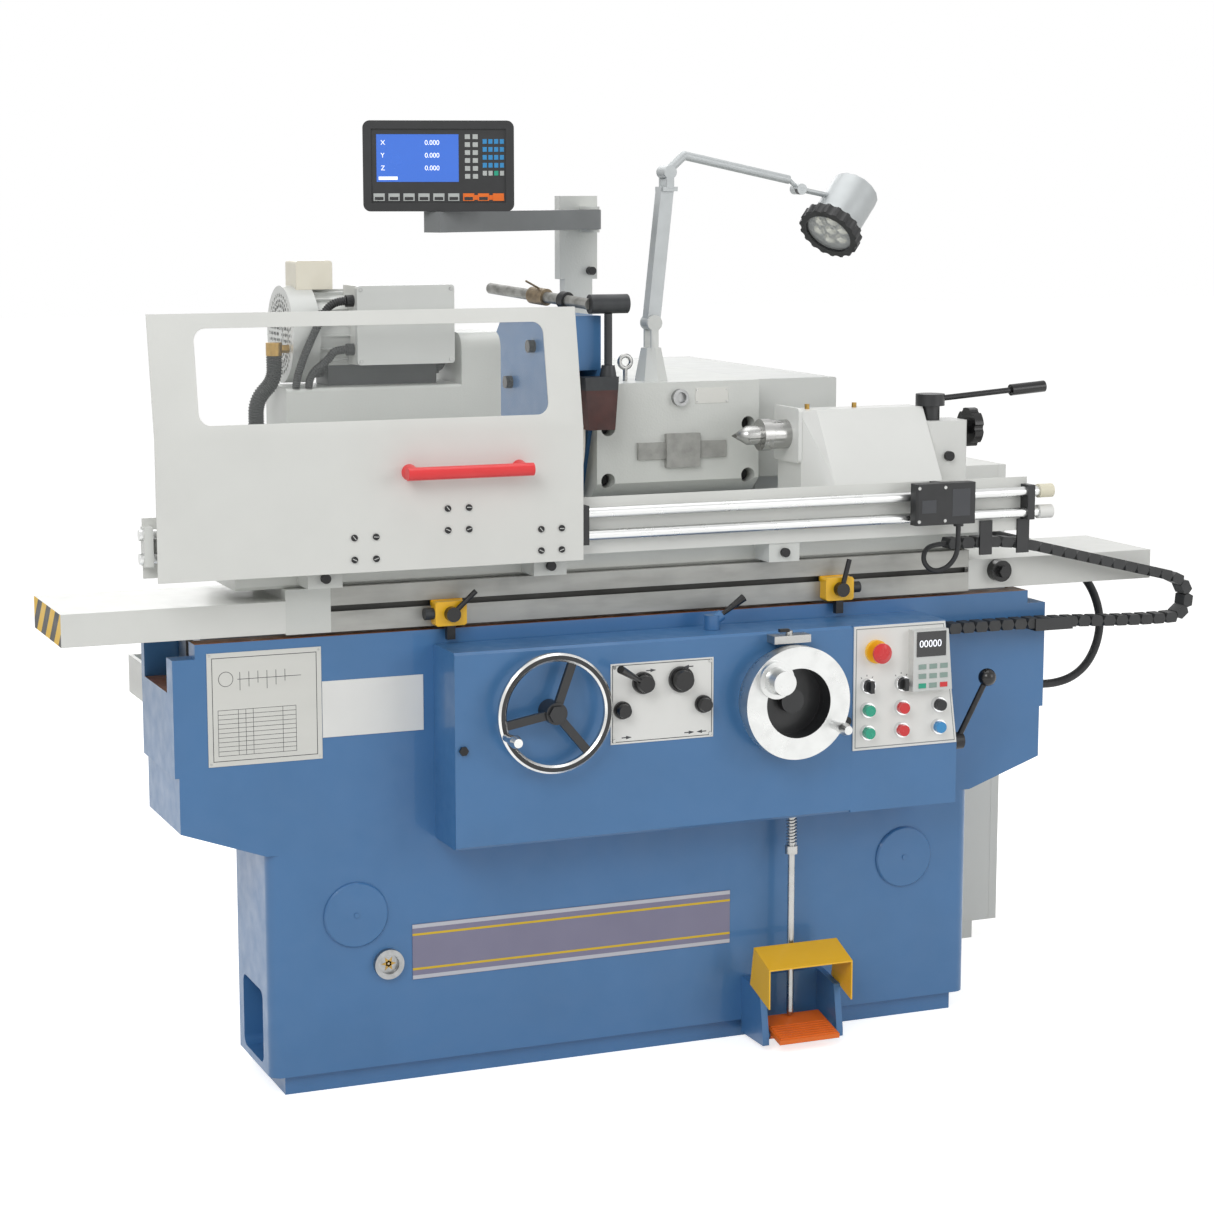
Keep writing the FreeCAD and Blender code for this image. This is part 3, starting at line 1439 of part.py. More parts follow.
def infeed_handwheel():
    """Infeed handwheel: deep rim, graduated drum, fine-feed knob, shaft and grip."""
    def axis(y):
        """Point on the wheel's axis."""
        return Vector(INFEED_X, y, INFEED_Z)

    hub_back = APRON_FRONT_Y - SEAT_GAP
    drum_front = INFEED_FRONT_Y + INFEED_RIM_DEPTH
    recess_back = INFEED_FRONT_Y + INFEED_BORE_DEPTH
    rim = tube(axis(INFEED_FRONT_Y), axis(drum_front), INFEED_RIM_RADIUS, INFEED_BORE_RADIUS)
    drum = rod(axis(drum_front), axis(hub_back), INFEED_DRUM_RADIUS)
    drum = drum.cut(rod(axis(drum_front - CUT_PAST), axis(recess_back), INFEED_BORE_RADIUS))
    hub = rod(axis(recess_back), axis(recess_back - INFEED_HUB_LENGTH), INFEED_HUB_RADIUS)
    knob_foot = axis(INFEED_FRONT_Y) + Vector(FINE_KNOB_OFFSET_X, 0, FINE_KNOB_OFFSET_Z)
    collar_front = knob_foot - ALONG_Y * FINE_KNOB_COLLAR_LENGTH
    collar = rod(knob_foot, collar_front, FINE_KNOB_COLLAR_RADIUS)
    fine = taper(
        collar_front,
        collar_front - ALONG_Y * FINE_KNOB_LENGTH,
        FINE_KNOB_RADIUS,
        FINE_KNOB_RADIUS * KNOB_TURN_SHARE,
    )
    shaft = rod(axis(hub_back), axis(hub_back + INFEED_SHAFT_LENGTH), INFEED_SHAFT_RADIUS)
    grip_radius = (INFEED_RIM_RADIUS + INFEED_BORE_RADIUS) / 2
    grip = crank_grip(axis(INFEED_FRONT_Y), INFEED_CRANK_ANGLE, grip_radius, INFEED_FRONT_Y)
    return [rim, drum, hub, collar, fine, shaft, grip]


def reversing_lever():
    """Reversing lever on the apron: boss with its slanting sleeve, and the tapered grip."""
    foot = Vector(REVERSE_X, REVERSE_Y, APRON_TOP_Z + SEAT_GAP)
    top = foot + ALONG_Z * REVERSE_BOSS_HEIGHT
    boss = rod(foot, top, REVERSE_BOSS_RADIUS)
    start = foot + ALONG_Z * REVERSE_BOSS_HEIGHT / 2
    reach = Vector(REVERSE_REACH_X, 0, REVERSE_REACH_Z)
    sleeve_end = start + reach * REVERSE_SLEEVE_SHARE
    sleeve = rod(start, sleeve_end, REVERSE_SLEEVE_RADIUS)
    grip = taper(sleeve_end, start + reach, REVERSE_ROD_RADIUS, REVERSE_GRIP_RADIUS)
    return [fused([boss, sleeve]), grip]


def start_lever():
    """Ball lever on the control box's right side."""
    face = BOX_RIGHT_X + SEAT_GAP
    start = Vector(face, START_Y, START_Z)
    end = Vector(face + START_HUB_LENGTH, START_Y, START_Z)
    hub = rod(start, end, START_HUB_RADIUS)
    root = (start + end) / 2
    tip = root + Vector(START_REACH_X, START_REACH_Y, START_REACH_Z)
    bar = rod(root, tip, START_ROD_RADIUS).cut(hub)
    ball = Part.makeSphere(START_BALL_RADIUS, tip)
    return [hub, bar.cut(ball), ball]


def rod_centre_x():
    """Sideways place of the pedal's push rod."""
    return PEDAL_CENTRE_X - PEDAL_ROD_OFFSET


def tread_z(y):
    """Height of the tread's middle at a place from front to back."""
    share = (y - PEDAL_FRONT_Y) / (PEDAL_BACK_Y - PEDAL_FRONT_Y)
    return PEDAL_FRONT_Z + (PEDAL_BACK_Z - PEDAL_FRONT_Z) * share


def pedal_pivot():
    """Centre of the pedal's hinge pin, under the tread and in front of the rod."""
    return Vector(PEDAL_CENTRE_X, PEDAL_PIVOT_Y, tread_z(PEDAL_PIVOT_Y) - PEDAL_PIVOT_DROP)


def pedal_bracket():
    """U-shaped bracket at the foot of the column, with the pedal's hinge pin."""
    left = PEDAL_CENTRE_X - PEDAL_BRACKET_WIDTH / 2
    right = PEDAL_CENTRE_X + PEDAL_BRACKET_WIDTH / 2
    cheek_outline = (
        (BED_FRONT_Y, PEDAL_BRACKET_FOOT_Z),
        (BED_FRONT_Y - PEDAL_BRACKET_REACH, PEDAL_BRACKET_FOOT_Z),
        (BED_FRONT_Y - PEDAL_BRACKET_REACH, PEDAL_BRACKET_FOOT_Z + PEDAL_BRACKET_CHEEK),
        (BED_FRONT_Y - PEDAL_CHEEK_TOP_REACH, PEDAL_CHEEK_TOP_Z),
        (BED_FRONT_Y - PEDAL_BRACKET_CHEEK, PEDAL_BRACKET_HEIGHT),
        (BED_FRONT_Y, PEDAL_BRACKET_HEIGHT),
    )
    back = block(
        left,
        right,
        BED_FRONT_Y - PEDAL_BRACKET_BACK,
        BED_FRONT_Y,
        TOE_HEIGHT,
        PEDAL_BRACKET_HEIGHT,
    )
    cheeks = [
        side_outline(cheek_outline, left, left + PEDAL_BRACKET_CHEEK),
        side_outline(cheek_outline, right - PEDAL_BRACKET_CHEEK, right),
    ]
    pivot = pedal_pivot()
    pin = rod(Vector(left, pivot.y, pivot.z), Vector(right, pivot.y, pivot.z), PEDAL_PIN_RADIUS)
    return [fused([back] + cheeks + [pin])]


def foot_pedal():
    """Ribbed tread plate on a hinge tube, with a heel under the push rod."""
    pivot = pedal_pivot()
    left = PEDAL_CENTRE_X - PEDAL_WIDTH / 2
    right = PEDAL_CENTRE_X + PEDAL_WIDTH / 2
    half = PEDAL_THICKNESS / 2
    tread = side_outline(
        (
            (PEDAL_BACK_Y, PEDAL_BACK_Z - half),
            (PEDAL_FRONT_Y, PEDAL_FRONT_Z - half),
            (PEDAL_FRONT_Y, PEDAL_FRONT_Z + half),
            (PEDAL_BACK_Y, PEDAL_BACK_Z + half),
        ),
        left,
        right,
    )
    pieces = [tread]
    for index in range(PEDAL_RIB_COUNT):
        near = PEDAL_FRONT_Y + PEDAL_RIB_WIDTH + index * 2 * PEDAL_RIB_WIDTH
        far = near + PEDAL_RIB_WIDTH
        rib = (
            (near, tread_z(near)),
            (far, tread_z(far)),
            (far, tread_z(far) + half + PEDAL_RIB_HEIGHT),
            (near, tread_z(near) + half + PEDAL_RIB_HEIGHT),
        )
        pieces.append(side_outline(rib, left + PEDAL_RIB_WIDTH, right - PEDAL_RIB_WIDTH))
    sleeve_radius = PEDAL_PIN_RADIUS + PEDAL_SLEEVE_WALL
    hinge = rod(Vector(left, pivot.y, pivot.z), Vector(right, pivot.y, pivot.z), sleeve_radius)
    bore = rod(
        Vector(left - CUT_PAST, pivot.y, pivot.z),
        Vector(right + CUT_PAST, pivot.y, pivot.z),
        PEDAL_PIN_RADIUS + RUNNING_CLEARANCE,
    )
    return [fused(pieces + [hinge]).cut(bore)]


def pedal_rod():
    """Push rod from the pedal up into the apron, with the collar under its spring."""
    x = rod_centre_x()
    foot = Vector(x, PEDAL_ROD_Y, tread_z(PEDAL_ROD_Y + PEDAL_ROD_RADIUS) + PEDAL_THICKNESS / 2 + SEAT_GAP)
    tip_top = foot + ALONG_Z * PEDAL_ROD_TIP
    top = Vector(x, PEDAL_ROD_Y, APRON_BOTTOM_Z + PEDAL_ROD_INSIDE)
    tip = taper(foot, tip_top, PEDAL_ROD_RADIUS / 2, PEDAL_ROD_RADIUS)
    bar = rod(tip_top, top, PEDAL_ROD_RADIUS)
    collar_foot = Vector(x, PEDAL_ROD_Y, COLLAR_Z)
    collar = rod(collar_foot, collar_foot + ALONG_Z * COLLAR_HEIGHT, COLLAR_RADIUS)
    return [fused([tip, bar, collar])]


def helix_points(radius, pitch, turns, centre, steps):
    """Points along a helix that climbs from a centre."""
    points = []
    for index in range(turns * steps + 1):
        side, depth = polar(radius, FULL_TURN * index / steps)
        points.append(centre + Vector(side, depth, pitch * index / steps))
    return points


def pedal_spring():
    """Open coil spring round the push rod, one unbroken wire."""
    low = COLLAR_Z + COLLAR_HEIGHT + SEAT_GAP + SPRING_WIRE / 2
    high = APRON_BOTTOM_Z - SEAT_GAP - SPRING_WIRE / 2
    pitch = (high - low) / SPRING_CURLS
    centre = Vector(rod_centre_x(), PEDAL_ROD_Y, low)
    points = helix_points(SPRING_RADIUS, pitch, SPRING_CURLS, centre, SPRING_QUARTERS * 2)
    arcs = []
    for index in range(0, len(points) - 2, 2):
        arcs.append(Part.Arc(points[index], points[index + 1], points[index + 2]).toShape())
    path = Part.Wire(arcs)
    print("spring gap", pitch - SPRING_WIRE)
    return [along(path, SPRING_WIRE / 2)]


def pedal_guard():
    """Bent sheet hood over the pedal, seated outside the bracket's cheeks."""
    left = PEDAL_CENTRE_X - PEDAL_BRACKET_WIDTH / 2 - PEDAL_GUARD_SHEET
    right = PEDAL_CENTRE_X + PEDAL_BRACKET_WIDTH / 2 + PEDAL_GUARD_SHEET
    sheet = PEDAL_GUARD_SHEET
    outline = (
        (PEDAL_GUARD_BACK_Y, PEDAL_GUARD_BACK_Z - PEDAL_GUARD_LIP),
        (PEDAL_GUARD_BACK_Y - sheet, PEDAL_GUARD_BACK_Z - PEDAL_GUARD_LIP),
        (PEDAL_GUARD_BACK_Y - sheet, PEDAL_GUARD_BACK_Z - sheet),
        (PEDAL_GUARD_FRONT_Y, PEDAL_GUARD_FRONT_Z - sheet),
        (PEDAL_GUARD_FRONT_Y, PEDAL_GUARD_FRONT_Z),
        (PEDAL_GUARD_BACK_Y, PEDAL_GUARD_BACK_Z),
    )
    cheek = (
        (PEDAL_GUARD_BACK_Y, PEDAL_GUARD_BACK_Z),
        (PEDAL_GUARD_HEEL_Y, PEDAL_GUARD_HEEL_Z),
        (PEDAL_GUARD_FRONT_Y, PEDAL_GUARD_LOW_Z),
        (PEDAL_GUARD_FRONT_Y, PEDAL_GUARD_FRONT_Z),
    )
    cheeks = [side_outline(cheek, left, left + sheet), side_outline(cheek, right - sheet, right)]
    return [fused([side_outline(outline, left, right)] + cheeks)]


def electrical_cabinet():
    """Cabinet of sheet panels, open to the right behind its side door, with board and cable gland."""
    back = CABINET_FRONT_Y + CABINET_DEPTH
    side = CABINET_LEFT_X + CABINET_WALL
    front_inside = CABINET_FRONT_Y + CABINET_WALL
    back_inside = back - CABINET_WALL
    left_panel = block(CABINET_LEFT_X, side, CABINET_FRONT_Y, back, CABINET_FOOT, CABINET_HEIGHT)
    front_panel = block(side, CABINET_RIGHT_X, CABINET_FRONT_Y, front_inside, CABINET_FOOT, CABINET_HEIGHT)
    back_panel = block(side, CABINET_RIGHT_X, back_inside, back, CABINET_FOOT, CABINET_HEIGHT)
    roof_low = CABINET_HEIGHT - CABINET_WALL
    roof = block(side, CABINET_RIGHT_X, front_inside, back_inside, roof_low, CABINET_HEIGHT)
    floor_top = CABINET_FOOT + CABINET_WALL
    base = block(side, CABINET_RIGHT_X, front_inside, back_inside, CABINET_FOOT, floor_top)
    plinth = block(
        CABINET_LEFT_X + CABINET_FOOT,
        CABINET_RIGHT_X - CABINET_FOOT,
        CABINET_FRONT_Y + CABINET_WALL,
        back - CABINET_FOOT,
        0,
        CABINET_FOOT,
    )
    board_left = CABINET_LEFT_X + CABINET_WALL
    board = block(
        board_left,
        board_left + CABINET_BOARD,
        CABINET_FRONT_Y + CABINET_FOOT,
        back - CABINET_FOOT,
        2 * CABINET_FOOT,
        CABINET_HEIGHT - CABINET_FOOT,
    )
    back_panel = fused([back_panel] + [cabinet_pin(z) for z in hinge_heights()])
    panels = [left_panel, front_panel, back_panel, roof, fused([base, plinth])]
    end = POWER_ROUTE[-1]
    gland = rod(end, Vector(end.x, CABINET_FRONT_Y, end.z), CABLE_GLAND_RADIUS)
    return panels + [board, gland]


def hinge_heights():
    """Heights of the cabinet's hinges."""
    return [CABINET_HEIGHT * share for share in HINGE_SHARES]


def hinge_axis():
    """Foot of the cabinet door's vertical hinge line."""
    return Vector(CABINET_RIGHT_X, CABINET_FRONT_Y + CABINET_DEPTH + CABINET_HINGE_RADIUS, 0)


def cabinet_pin(z):
    """Hinge pin standing on its ear behind the cabinet's back edge."""
    axis = hinge_axis()
    half = CABINET_HINGE_LENGTH / 2
    pin = rod(Vector(axis.x, axis.y, z - half), Vector(axis.x, axis.y, z + half), CABINET_PIN_RADIUS)
    ear = block(
        axis.x - CABINET_DOOR,
        axis.x,
        axis.y - CABINET_HINGE_RADIUS,
        axis.y + CABINET_PIN_RADIUS,
        z - half,
        z,
    )
    boss_foot = Vector(axis.x, axis.y, z - half)
    boss = rod(boss_foot, Vector(axis.x, axis.y, z), CABINET_HINGE_RADIUS - SEAT_GAP)
    return fused([pin, ear, boss])


def cabinet_door():
    """Side door with hinge ears and a flush turn latch."""
    axis = hinge_axis()
    left = CABINET_RIGHT_X + SEAT_GAP
    right = left + CABINET_DOOR
    back = CABINET_FRONT_Y + CABINET_DEPTH
    sheet = block(left, right, CABINET_FRONT_Y, back, CABINET_FOOT, CABINET_HEIGHT)
    hollow = block(
        left - CUT_PAST,
        right - CABINET_WALL,
        CABINET_FRONT_Y + CABINET_WALL,
        back - CABINET_WALL,
        CABINET_FOOT + CABINET_WALL,
        CABINET_HEIGHT - CABINET_WALL,
    )
    pieces = [sheet.cut(hollow)]
    half = CABINET_HINGE_LENGTH / 2
    for z in hinge_heights():
        ear = block(left, right, back - CABINET_WALL, axis.y + CABINET_PIN_RADIUS, z + SEAT_GAP, z + half)
        barrel_foot = Vector(axis.x, axis.y, z + SEAT_GAP)
        barrel = rod(barrel_foot, Vector(axis.x, axis.y, z + half), CABINET_HINGE_RADIUS - SEAT_GAP)
        pin_space = rod(
            Vector(axis.x, axis.y, z - half),
            Vector(axis.x, axis.y, z + half + CUT_PAST),
            CABINET_PIN_RADIUS + RUNNING_CLEARANCE,
        )
        pieces = [fused(pieces + [ear, barrel]).cut(pin_space)]
    latch_y = CABINET_FRONT_Y + 2 * CABINET_LATCH_RADIUS
    latch_z = (CABINET_FOOT + CABINET_HEIGHT) / 2
    latch_foot = Vector(right, latch_y, latch_z)
    latch = rod(latch_foot, latch_foot + ALONG_X * CABINET_WALL, CABINET_LATCH_RADIUS)
    return pieces + [latch]


def vee_groove():
    """Groove in the table's underside over the V guideway."""
    front, back = vee_way_place()
    ridge = vee_points(TABLE_BOTTOM_Z)[2]
    outline = (
        (front, TABLE_BOTTOM_Z - CUT_PAST),
        (front, TABLE_BOTTOM_Z),
        ridge,
        (back, TABLE_BOTTOM_Z),
        (back, TABLE_BOTTOM_Z - CUT_PAST),
    )
    return side_outline(outline, TABLE_LEFT_X - CUT_PAST, TABLE_RIGHT_X + CUT_PAST)


def tee_slot(start_x, end_x, face_y, z):
    """T-slot cut into a front face, along X."""
    lip = face_y + SLOT_LIP
    mouth = block(start_x, end_x, face_y - CUT_PAST, lip + CUT_PAST, z - SLOT_MOUTH / 2, z + SLOT_MOUTH / 2)
    inner = block(start_x, end_x, lip, face_y + SLOT_DEPTH, z - SLOT_INNER / 2, z + SLOT_INNER / 2)
    return mouth.fuse(inner)


def lower_table():
    """Table on the guideways, with its T-slot, V groove, pivot pin and rack."""
    body = block(TABLE_LEFT_X, TABLE_RIGHT_X, TABLE_FRONT_Y, TABLE_BACK_Y, TABLE_BOTTOM_Z, TABLE_TOP_Z)
    slot = tee_slot(SLOT_LEFT_X, TABLE_RIGHT_X + CUT_PAST, TABLE_FRONT_Y, SLOT_Z)
    body = less(body, [slot, vee_groove()])
    middle_y = (UPPER_TABLE_FRONT_Y + UPPER_TABLE_BACK_Y) / 2
    pin = rod(
        Vector(SWIVEL_X, middle_y, TABLE_TOP_Z),
        Vector(SWIVEL_X, middle_y, TABLE_TOP_Z + SWIVEL_PIN_DEPTH),
        SWIVEL_PIN_RADIUS,
    )
    rack_front = flat_way_place()[1] + WAY_SIDE_GAP
    rack = block(
        TABLE_LEFT_X + RACK_END,
        TABLE_RIGHT_X - RACK_END,
        rack_front,
        rack_front + RACK_WIDTH,
        TABLE_BOTTOM_Z - RACK_HEIGHT,
        TABLE_BOTTOM_Z,
    )
    return [fused([body, pin]), rack]


def table_covers():
    """Long sheet covers over the ways beyond both table ends, with the swivel adjuster."""
    left = cover(COVER_LEFT_END_X, TABLE_LEFT_X)
    right = cover(COVER_RIGHT_END_X, TABLE_RIGHT_X)
    knob_end = TABLE_FRONT_Y - SWIVEL_KNOB_LENGTH
    adjuster = rod(
        Vector(SWIVEL_KNOB_X, TABLE_FRONT_Y, SWIVEL_KNOB_Z),
        Vector(SWIVEL_KNOB_X, knob_end, SWIVEL_KNOB_Z),
        SWIVEL_KNOB_RADIUS,
    )
    hexagonal = front_outline(
        [(SWIVEL_KNOB_X + x, SWIVEL_KNOB_Z + z) for x, z in hexagon(SWIVEL_HEX_RADIUS)],
        knob_end - SWIVEL_HEX_RADIUS,
        knob_end,
    )
    return [left, right, fused([adjuster, hexagonal])]


def cover(outer_end, table_end):
    """Cover of bent sheet, open underneath and where it meets the table's end."""
    side = 1 if table_end > outer_end else -1
    left, right = sorted((outer_end, table_end))
    shell = block(left, right, TABLE_FRONT_Y, COVER_BACK_Y, COVER_BOTTOM_Z, COVER_TOP_Z)
    near, far = sorted((outer_end + side * COVER_SHEET, table_end + side * CUT_PAST))
    inner = block(
        near,
        far,
        TABLE_FRONT_Y + COVER_SHEET,
        COVER_BACK_Y - COVER_SHEET,
        COVER_BOTTOM_Z - CUT_PAST,
        COVER_TOP_Z - COVER_SHEET,
    )
    return shell.cut(inner)


def table_dog(x, lever_angle, bumper_side):
    """Reversing dog: body on the T-slot, clamp knob, lever, pawl and bumper."""
    face = TABLE_FRONT_Y - SEAT_GAP
    front = face - DOG_DEPTH
    left = x - DOG_WIDTH / 2
    right = x + DOG_WIDTH / 2
    low = DOG_Z - DOG_HEIGHT / 2
    high = DOG_Z + DOG_HEIGHT / 2
    body = bevelled(block(left, right, front, face, low, high), ALONG_Y, DOG_EDGE)
    tongue_half = SLOT_MOUTH / 2 - SEAT_GAP
    tongue = block(left, right, face, face + SLOT_LIP, SLOT_Z - tongue_half, SLOT_Z + tongue_half)
    pawl_half = DOG_PAWL_WIDTH / 2
    pawl = block(x - pawl_half, x + pawl_half, front, front + DOG_DEPTH / 2, low - DOG_PAWL_DROP, low)
    knob_start = Vector(x, front, DOG_Z)
    knob_end = Vector(x, front - DOG_KNOB_LENGTH, DOG_Z)
    clamp = rod(knob_start, knob_end, DOG_KNOB_RADIUS)
    side, rise = polar(DOG_LEVER_LENGTH, lever_angle)
    lever_start = knob_start - ALONG_Y * DOG_KNOB_LENGTH / 2
    lever = rod(lever_start, lever_start + Vector(side, 0, rise), DOG_LEVER_RADIUS).cut(clamp)
    bumper_x = left if bumper_side < 0 else right
    bumper_start = Vector(bumper_x, front + DOG_DEPTH / 2, DOG_Z)
    bumper = rod(bumper_start, bumper_start + ALONG_X * DOG_BUMPER_LENGTH * bumper_side, DOG_BUMPER_RADIUS)
    return [fused([body, tongue]), pawl, clamp, lever, bumper]


def upper_table():
    """Swivelling table that carries workhead, tailstock and splash guard."""
    body = block(
        UPPER_TABLE_LEFT_X,
        UPPER_TABLE_RIGHT_X,
        UPPER_TABLE_FRONT_Y,
        UPPER_TABLE_BACK_Y,
        TABLE_TOP_Z + SEAT_GAP,
        UPPER_TABLE_TOP_Z,
    )
    body = bevelled(body, ALONG_X, UPPER_TABLE_EDGE)
    middle_y = (UPPER_TABLE_FRONT_Y + UPPER_TABLE_BACK_Y) / 2
    socket = rod(
        Vector(SWIVEL_X, middle_y, TABLE_TOP_Z),
        Vector(SWIVEL_X, middle_y, TABLE_TOP_Z + SWIVEL_PIN_DEPTH + SEAT_GAP),
        SWIVEL_PIN_RADIUS + RUNNING_CLEARANCE,
    )
    return [body.cut(socket)]


def guard_frame():
    """Backing sheet on its brackets, with bolts, hangers, rail supports, rails and end caps."""
    sheet_back = SHEET_FRONT_Y + SHEET_THICKNESS
    sheet = block(SHEET_LEFT_X, SHEET_RIGHT_X, SHEET_FRONT_Y, sheet_back, SHEET_BOTTOM_Z, SHEET_TOP_Z)
    solids = [sheet]
    for x in BRACKET_XS:
        left = x - BRACKET_WIDTH / 2
        right = left + BRACKET_WIDTH
        arm = block(left, right, sheet_back, UPPER_TABLE_FRONT_Y, BRACKET_FOOT_Z, SHEET_BOTTOM_Z)
        lap = block(left, right, sheet_back, sheet_back + HANGER_THICKNESS, SHEET_BOTTOM_Z, SHEET_TOP_Z)
        solids.append(fused([arm, lap]))
        middle = (BRACKET_FOOT_Z + SHEET_BOTTOM_Z) / 2
        solids.append(wall_screw(x, sheet_back, middle, BRACKET_BOLT_RADIUS, BRACKET_BOLT_HEAD))
    for x in HANGER_XS:
        solids.append(
            block(
                x - HANGER_WIDTH,
                x,
                SHEET_FRONT_Y - HANGER_THICKNESS,
                SHEET_FRONT_Y,
                SHEET_BOTTOM_Z - HANGER_DROP,
                SHEET_BOTTOM_Z + HANGER_DROP / 2,
            )
        )
    for x in RAIL_SUPPORT_XS:
        solids.append(rail_support(x))
    for z in RAIL_ZS:
        solids.append(rod(Vector(RAIL_LEFT_X, RAIL_Y, z), Vector(RAIL_RIGHT_X, RAIL_Y, z), RAIL_RADIUS))
        start = Vector(RAIL_RIGHT_X, RAIL_Y, z)
        solids.append(rod(start, start + ALONG_X * CAP_LENGTH, CAP_RADIUS))
    return solids


def rail_support(x):
    """Block on the backing sheet through which both rails pass."""
    left = x - RAIL_SUPPORT_WIDTH / 2
    reach = RAIL_RADIUS + HANGER_THICKNESS
    holder = block(
        left,
        left + RAIL_SUPPORT_WIDTH,
        RAIL_Y - reach,
        SHEET_FRONT_Y,
        RAIL_ZS[0] - reach,
        RAIL_ZS[1] + reach,
    )
    bores = []
    for z in RAIL_ZS:
        start = Vector(left - CUT_PAST, RAIL_Y, z)
        bores.append(rod(start, start + ALONG_X * (RAIL_SUPPORT_WIDTH + 2 * CUT_PAST), RAIL_RADIUS))
    return less(holder, bores)


def switch_box():
    """Door switch on the backing sheet: box, arm to the sheet and cable gland."""
    box = block(
        SWITCH_LEFT_X,
        SWITCH_LEFT_X + SWITCH_WIDTH,
        SWITCH_FRONT_Y,
        SWITCH_BACK_Y,
        SWITCH_BOTTOM_Z,
        SWITCH_BOTTOM_Z + SWITCH_HEIGHT,
    )
    arm_left = SWITCH_LEFT_X + (SWITCH_WIDTH - SWITCH_ARM) / 2
    arm_foot = RAIL_ZS[1] + RAIL_RADIUS + HANGER_THICKNESS
    arm = block(
        arm_left,
        arm_left + SWITCH_ARM,
        SWITCH_BACK_Y,
        SHEET_FRONT_Y,
        arm_foot,
        SHEET_TOP_Z,
    )
    start = SWITCH_ROUTE[0]
    gland = rod(start, Vector(start.x, start.y, SWITCH_BOTTOM_Z), 2 * SWITCH_CABLE_RADIUS)
    return [bevelled(box, ALONG_Z, HANGER_THICKNESS), arm, gland]


def door_outline(offset):
    """Front line of the door sheet, as Y and Z, moved back by an offset."""
    lean_y = DOOR_Y + DOOR_LEAN
    return (DOOR_Y + offset, DOOR_BOTTOM_Z), (DOOR_Y + offset, DOOR_BEND_Z), (lean_y + offset, DOOR_TOP_Z)


def leaning_panel(left, right, low_share, high_share, near, far):
    """Slab parallel to the door's leaning upper part, between two shares of its height."""
    rise = DOOR_TOP_Z - DOOR_BEND_Z
    corners = []
    for share, offset in ((low_share, near), (high_share, near), (high_share, far), (low_share, far)):
        corners.append((DOOR_Y + DOOR_LEAN * share + offset, DOOR_BEND_Z + rise * share))
    return side_outline(corners, left, right)


def guard_door():
    """Sliding door: bent sheet with its window pane, carriages on the rails and screws."""
    front = list(door_outline(0))
    back = list(door_outline(DOOR_SHEET))
    sheet = side_outline(front + back[::-1], DOOR_LEFT_X, DOOR_RIGHT_X)
    window_left = DOOR_LEFT_X + WINDOW_LEFT_INSET
    window_right = DOOR_RIGHT_X - WINDOW_RIGHT_INSET
    hole = leaning_panel(
        window_left,
        window_right,
        WINDOW_BOTTOM_SHARE,
        WINDOW_TOP_SHARE,
        -DOOR_SHEET - CUT_PAST,
        DOOR_SHEET + CUT_PAST,
    )
    lap_share = WINDOW_LAP / (DOOR_TOP_Z - DOOR_BEND_Z)
    pane = leaning_panel(
        window_left - WINDOW_LAP,
        window_right + WINDOW_LAP,
        WINDOW_BOTTOM_SHARE - lap_share,
        WINDOW_TOP_SHARE + lap_share,
        DOOR_SHEET,
        DOOR_SHEET + PANE_THICKNESS,
    )
    hole = eased(hole, ALONG_Y, WINDOW_RADIUS)
    solids = [sheet.cut(hole), pane]
    for x in CARRIAGE_XS:
        solids.append(carriage(x))
    for x, z in zip(SCREW_GROUP_XS, SCREW_GROUP_ZS):
        for column in range(2):
            for row in range(2):
                screw_x = x + column * SCREW_PITCH_X
                screw_z = z - row * SCREW_PITCH_Z + SCREW_PITCH_Z / 2
                solids.append(wall_screw(screw_x, DOOR_Y, screw_z, SCREW_RADIUS, SCREW_HEAD))
    return solids


def carriage(x):
    """Carriage block behind the door, bored for both rails."""
    middle = (RAIL_ZS[0] + RAIL_ZS[1]) / 2
    body = block(
        x - CARRIAGE_WIDTH / 2,
        x + CARRIAGE_WIDTH / 2,
        DOOR_Y + DOOR_SHEET,
        CARRIAGE_BACK_Y,
        middle - CARRIAGE_HEIGHT / 2,
        middle + CARRIAGE_HEIGHT / 2,
    )
    bores = []
    for z in RAIL_ZS:
        start = Vector(x - CARRIAGE_WIDTH, RAIL_Y, z)
        bores.append(rod(start, start + ALONG_X * 2 * CARRIAGE_WIDTH, RAIL_RADIUS + RUNNING_CLEARANCE))
    return less(body, bores)


def door_handle():
    """Bar handle on two feet on the door's front."""
    right = HANDLE_LEFT_X + HANDLE_LENGTH
    bar_y = DOOR_Y - HANDLE_OFFSET
    bar = rod(Vector(HANDLE_LEFT_X, bar_y, HANDLE_Z), Vector(right, bar_y, HANDLE_Z), HANDLE_RADIUS)
    feet = []
    for x in (HANDLE_LEFT_X + HANDLE_FOOT_RADIUS, right - HANDLE_FOOT_RADIUS):
        foot = Vector(x, DOOR_Y, HANDLE_Z)
        feet.append(taper(foot, Vector(x, bar_y, HANDLE_Z), HANDLE_FOOT_RADIUS, HANDLE_RADIUS * HANDLE_NECK_SHARE))
    return [fused([bar] + feet)]


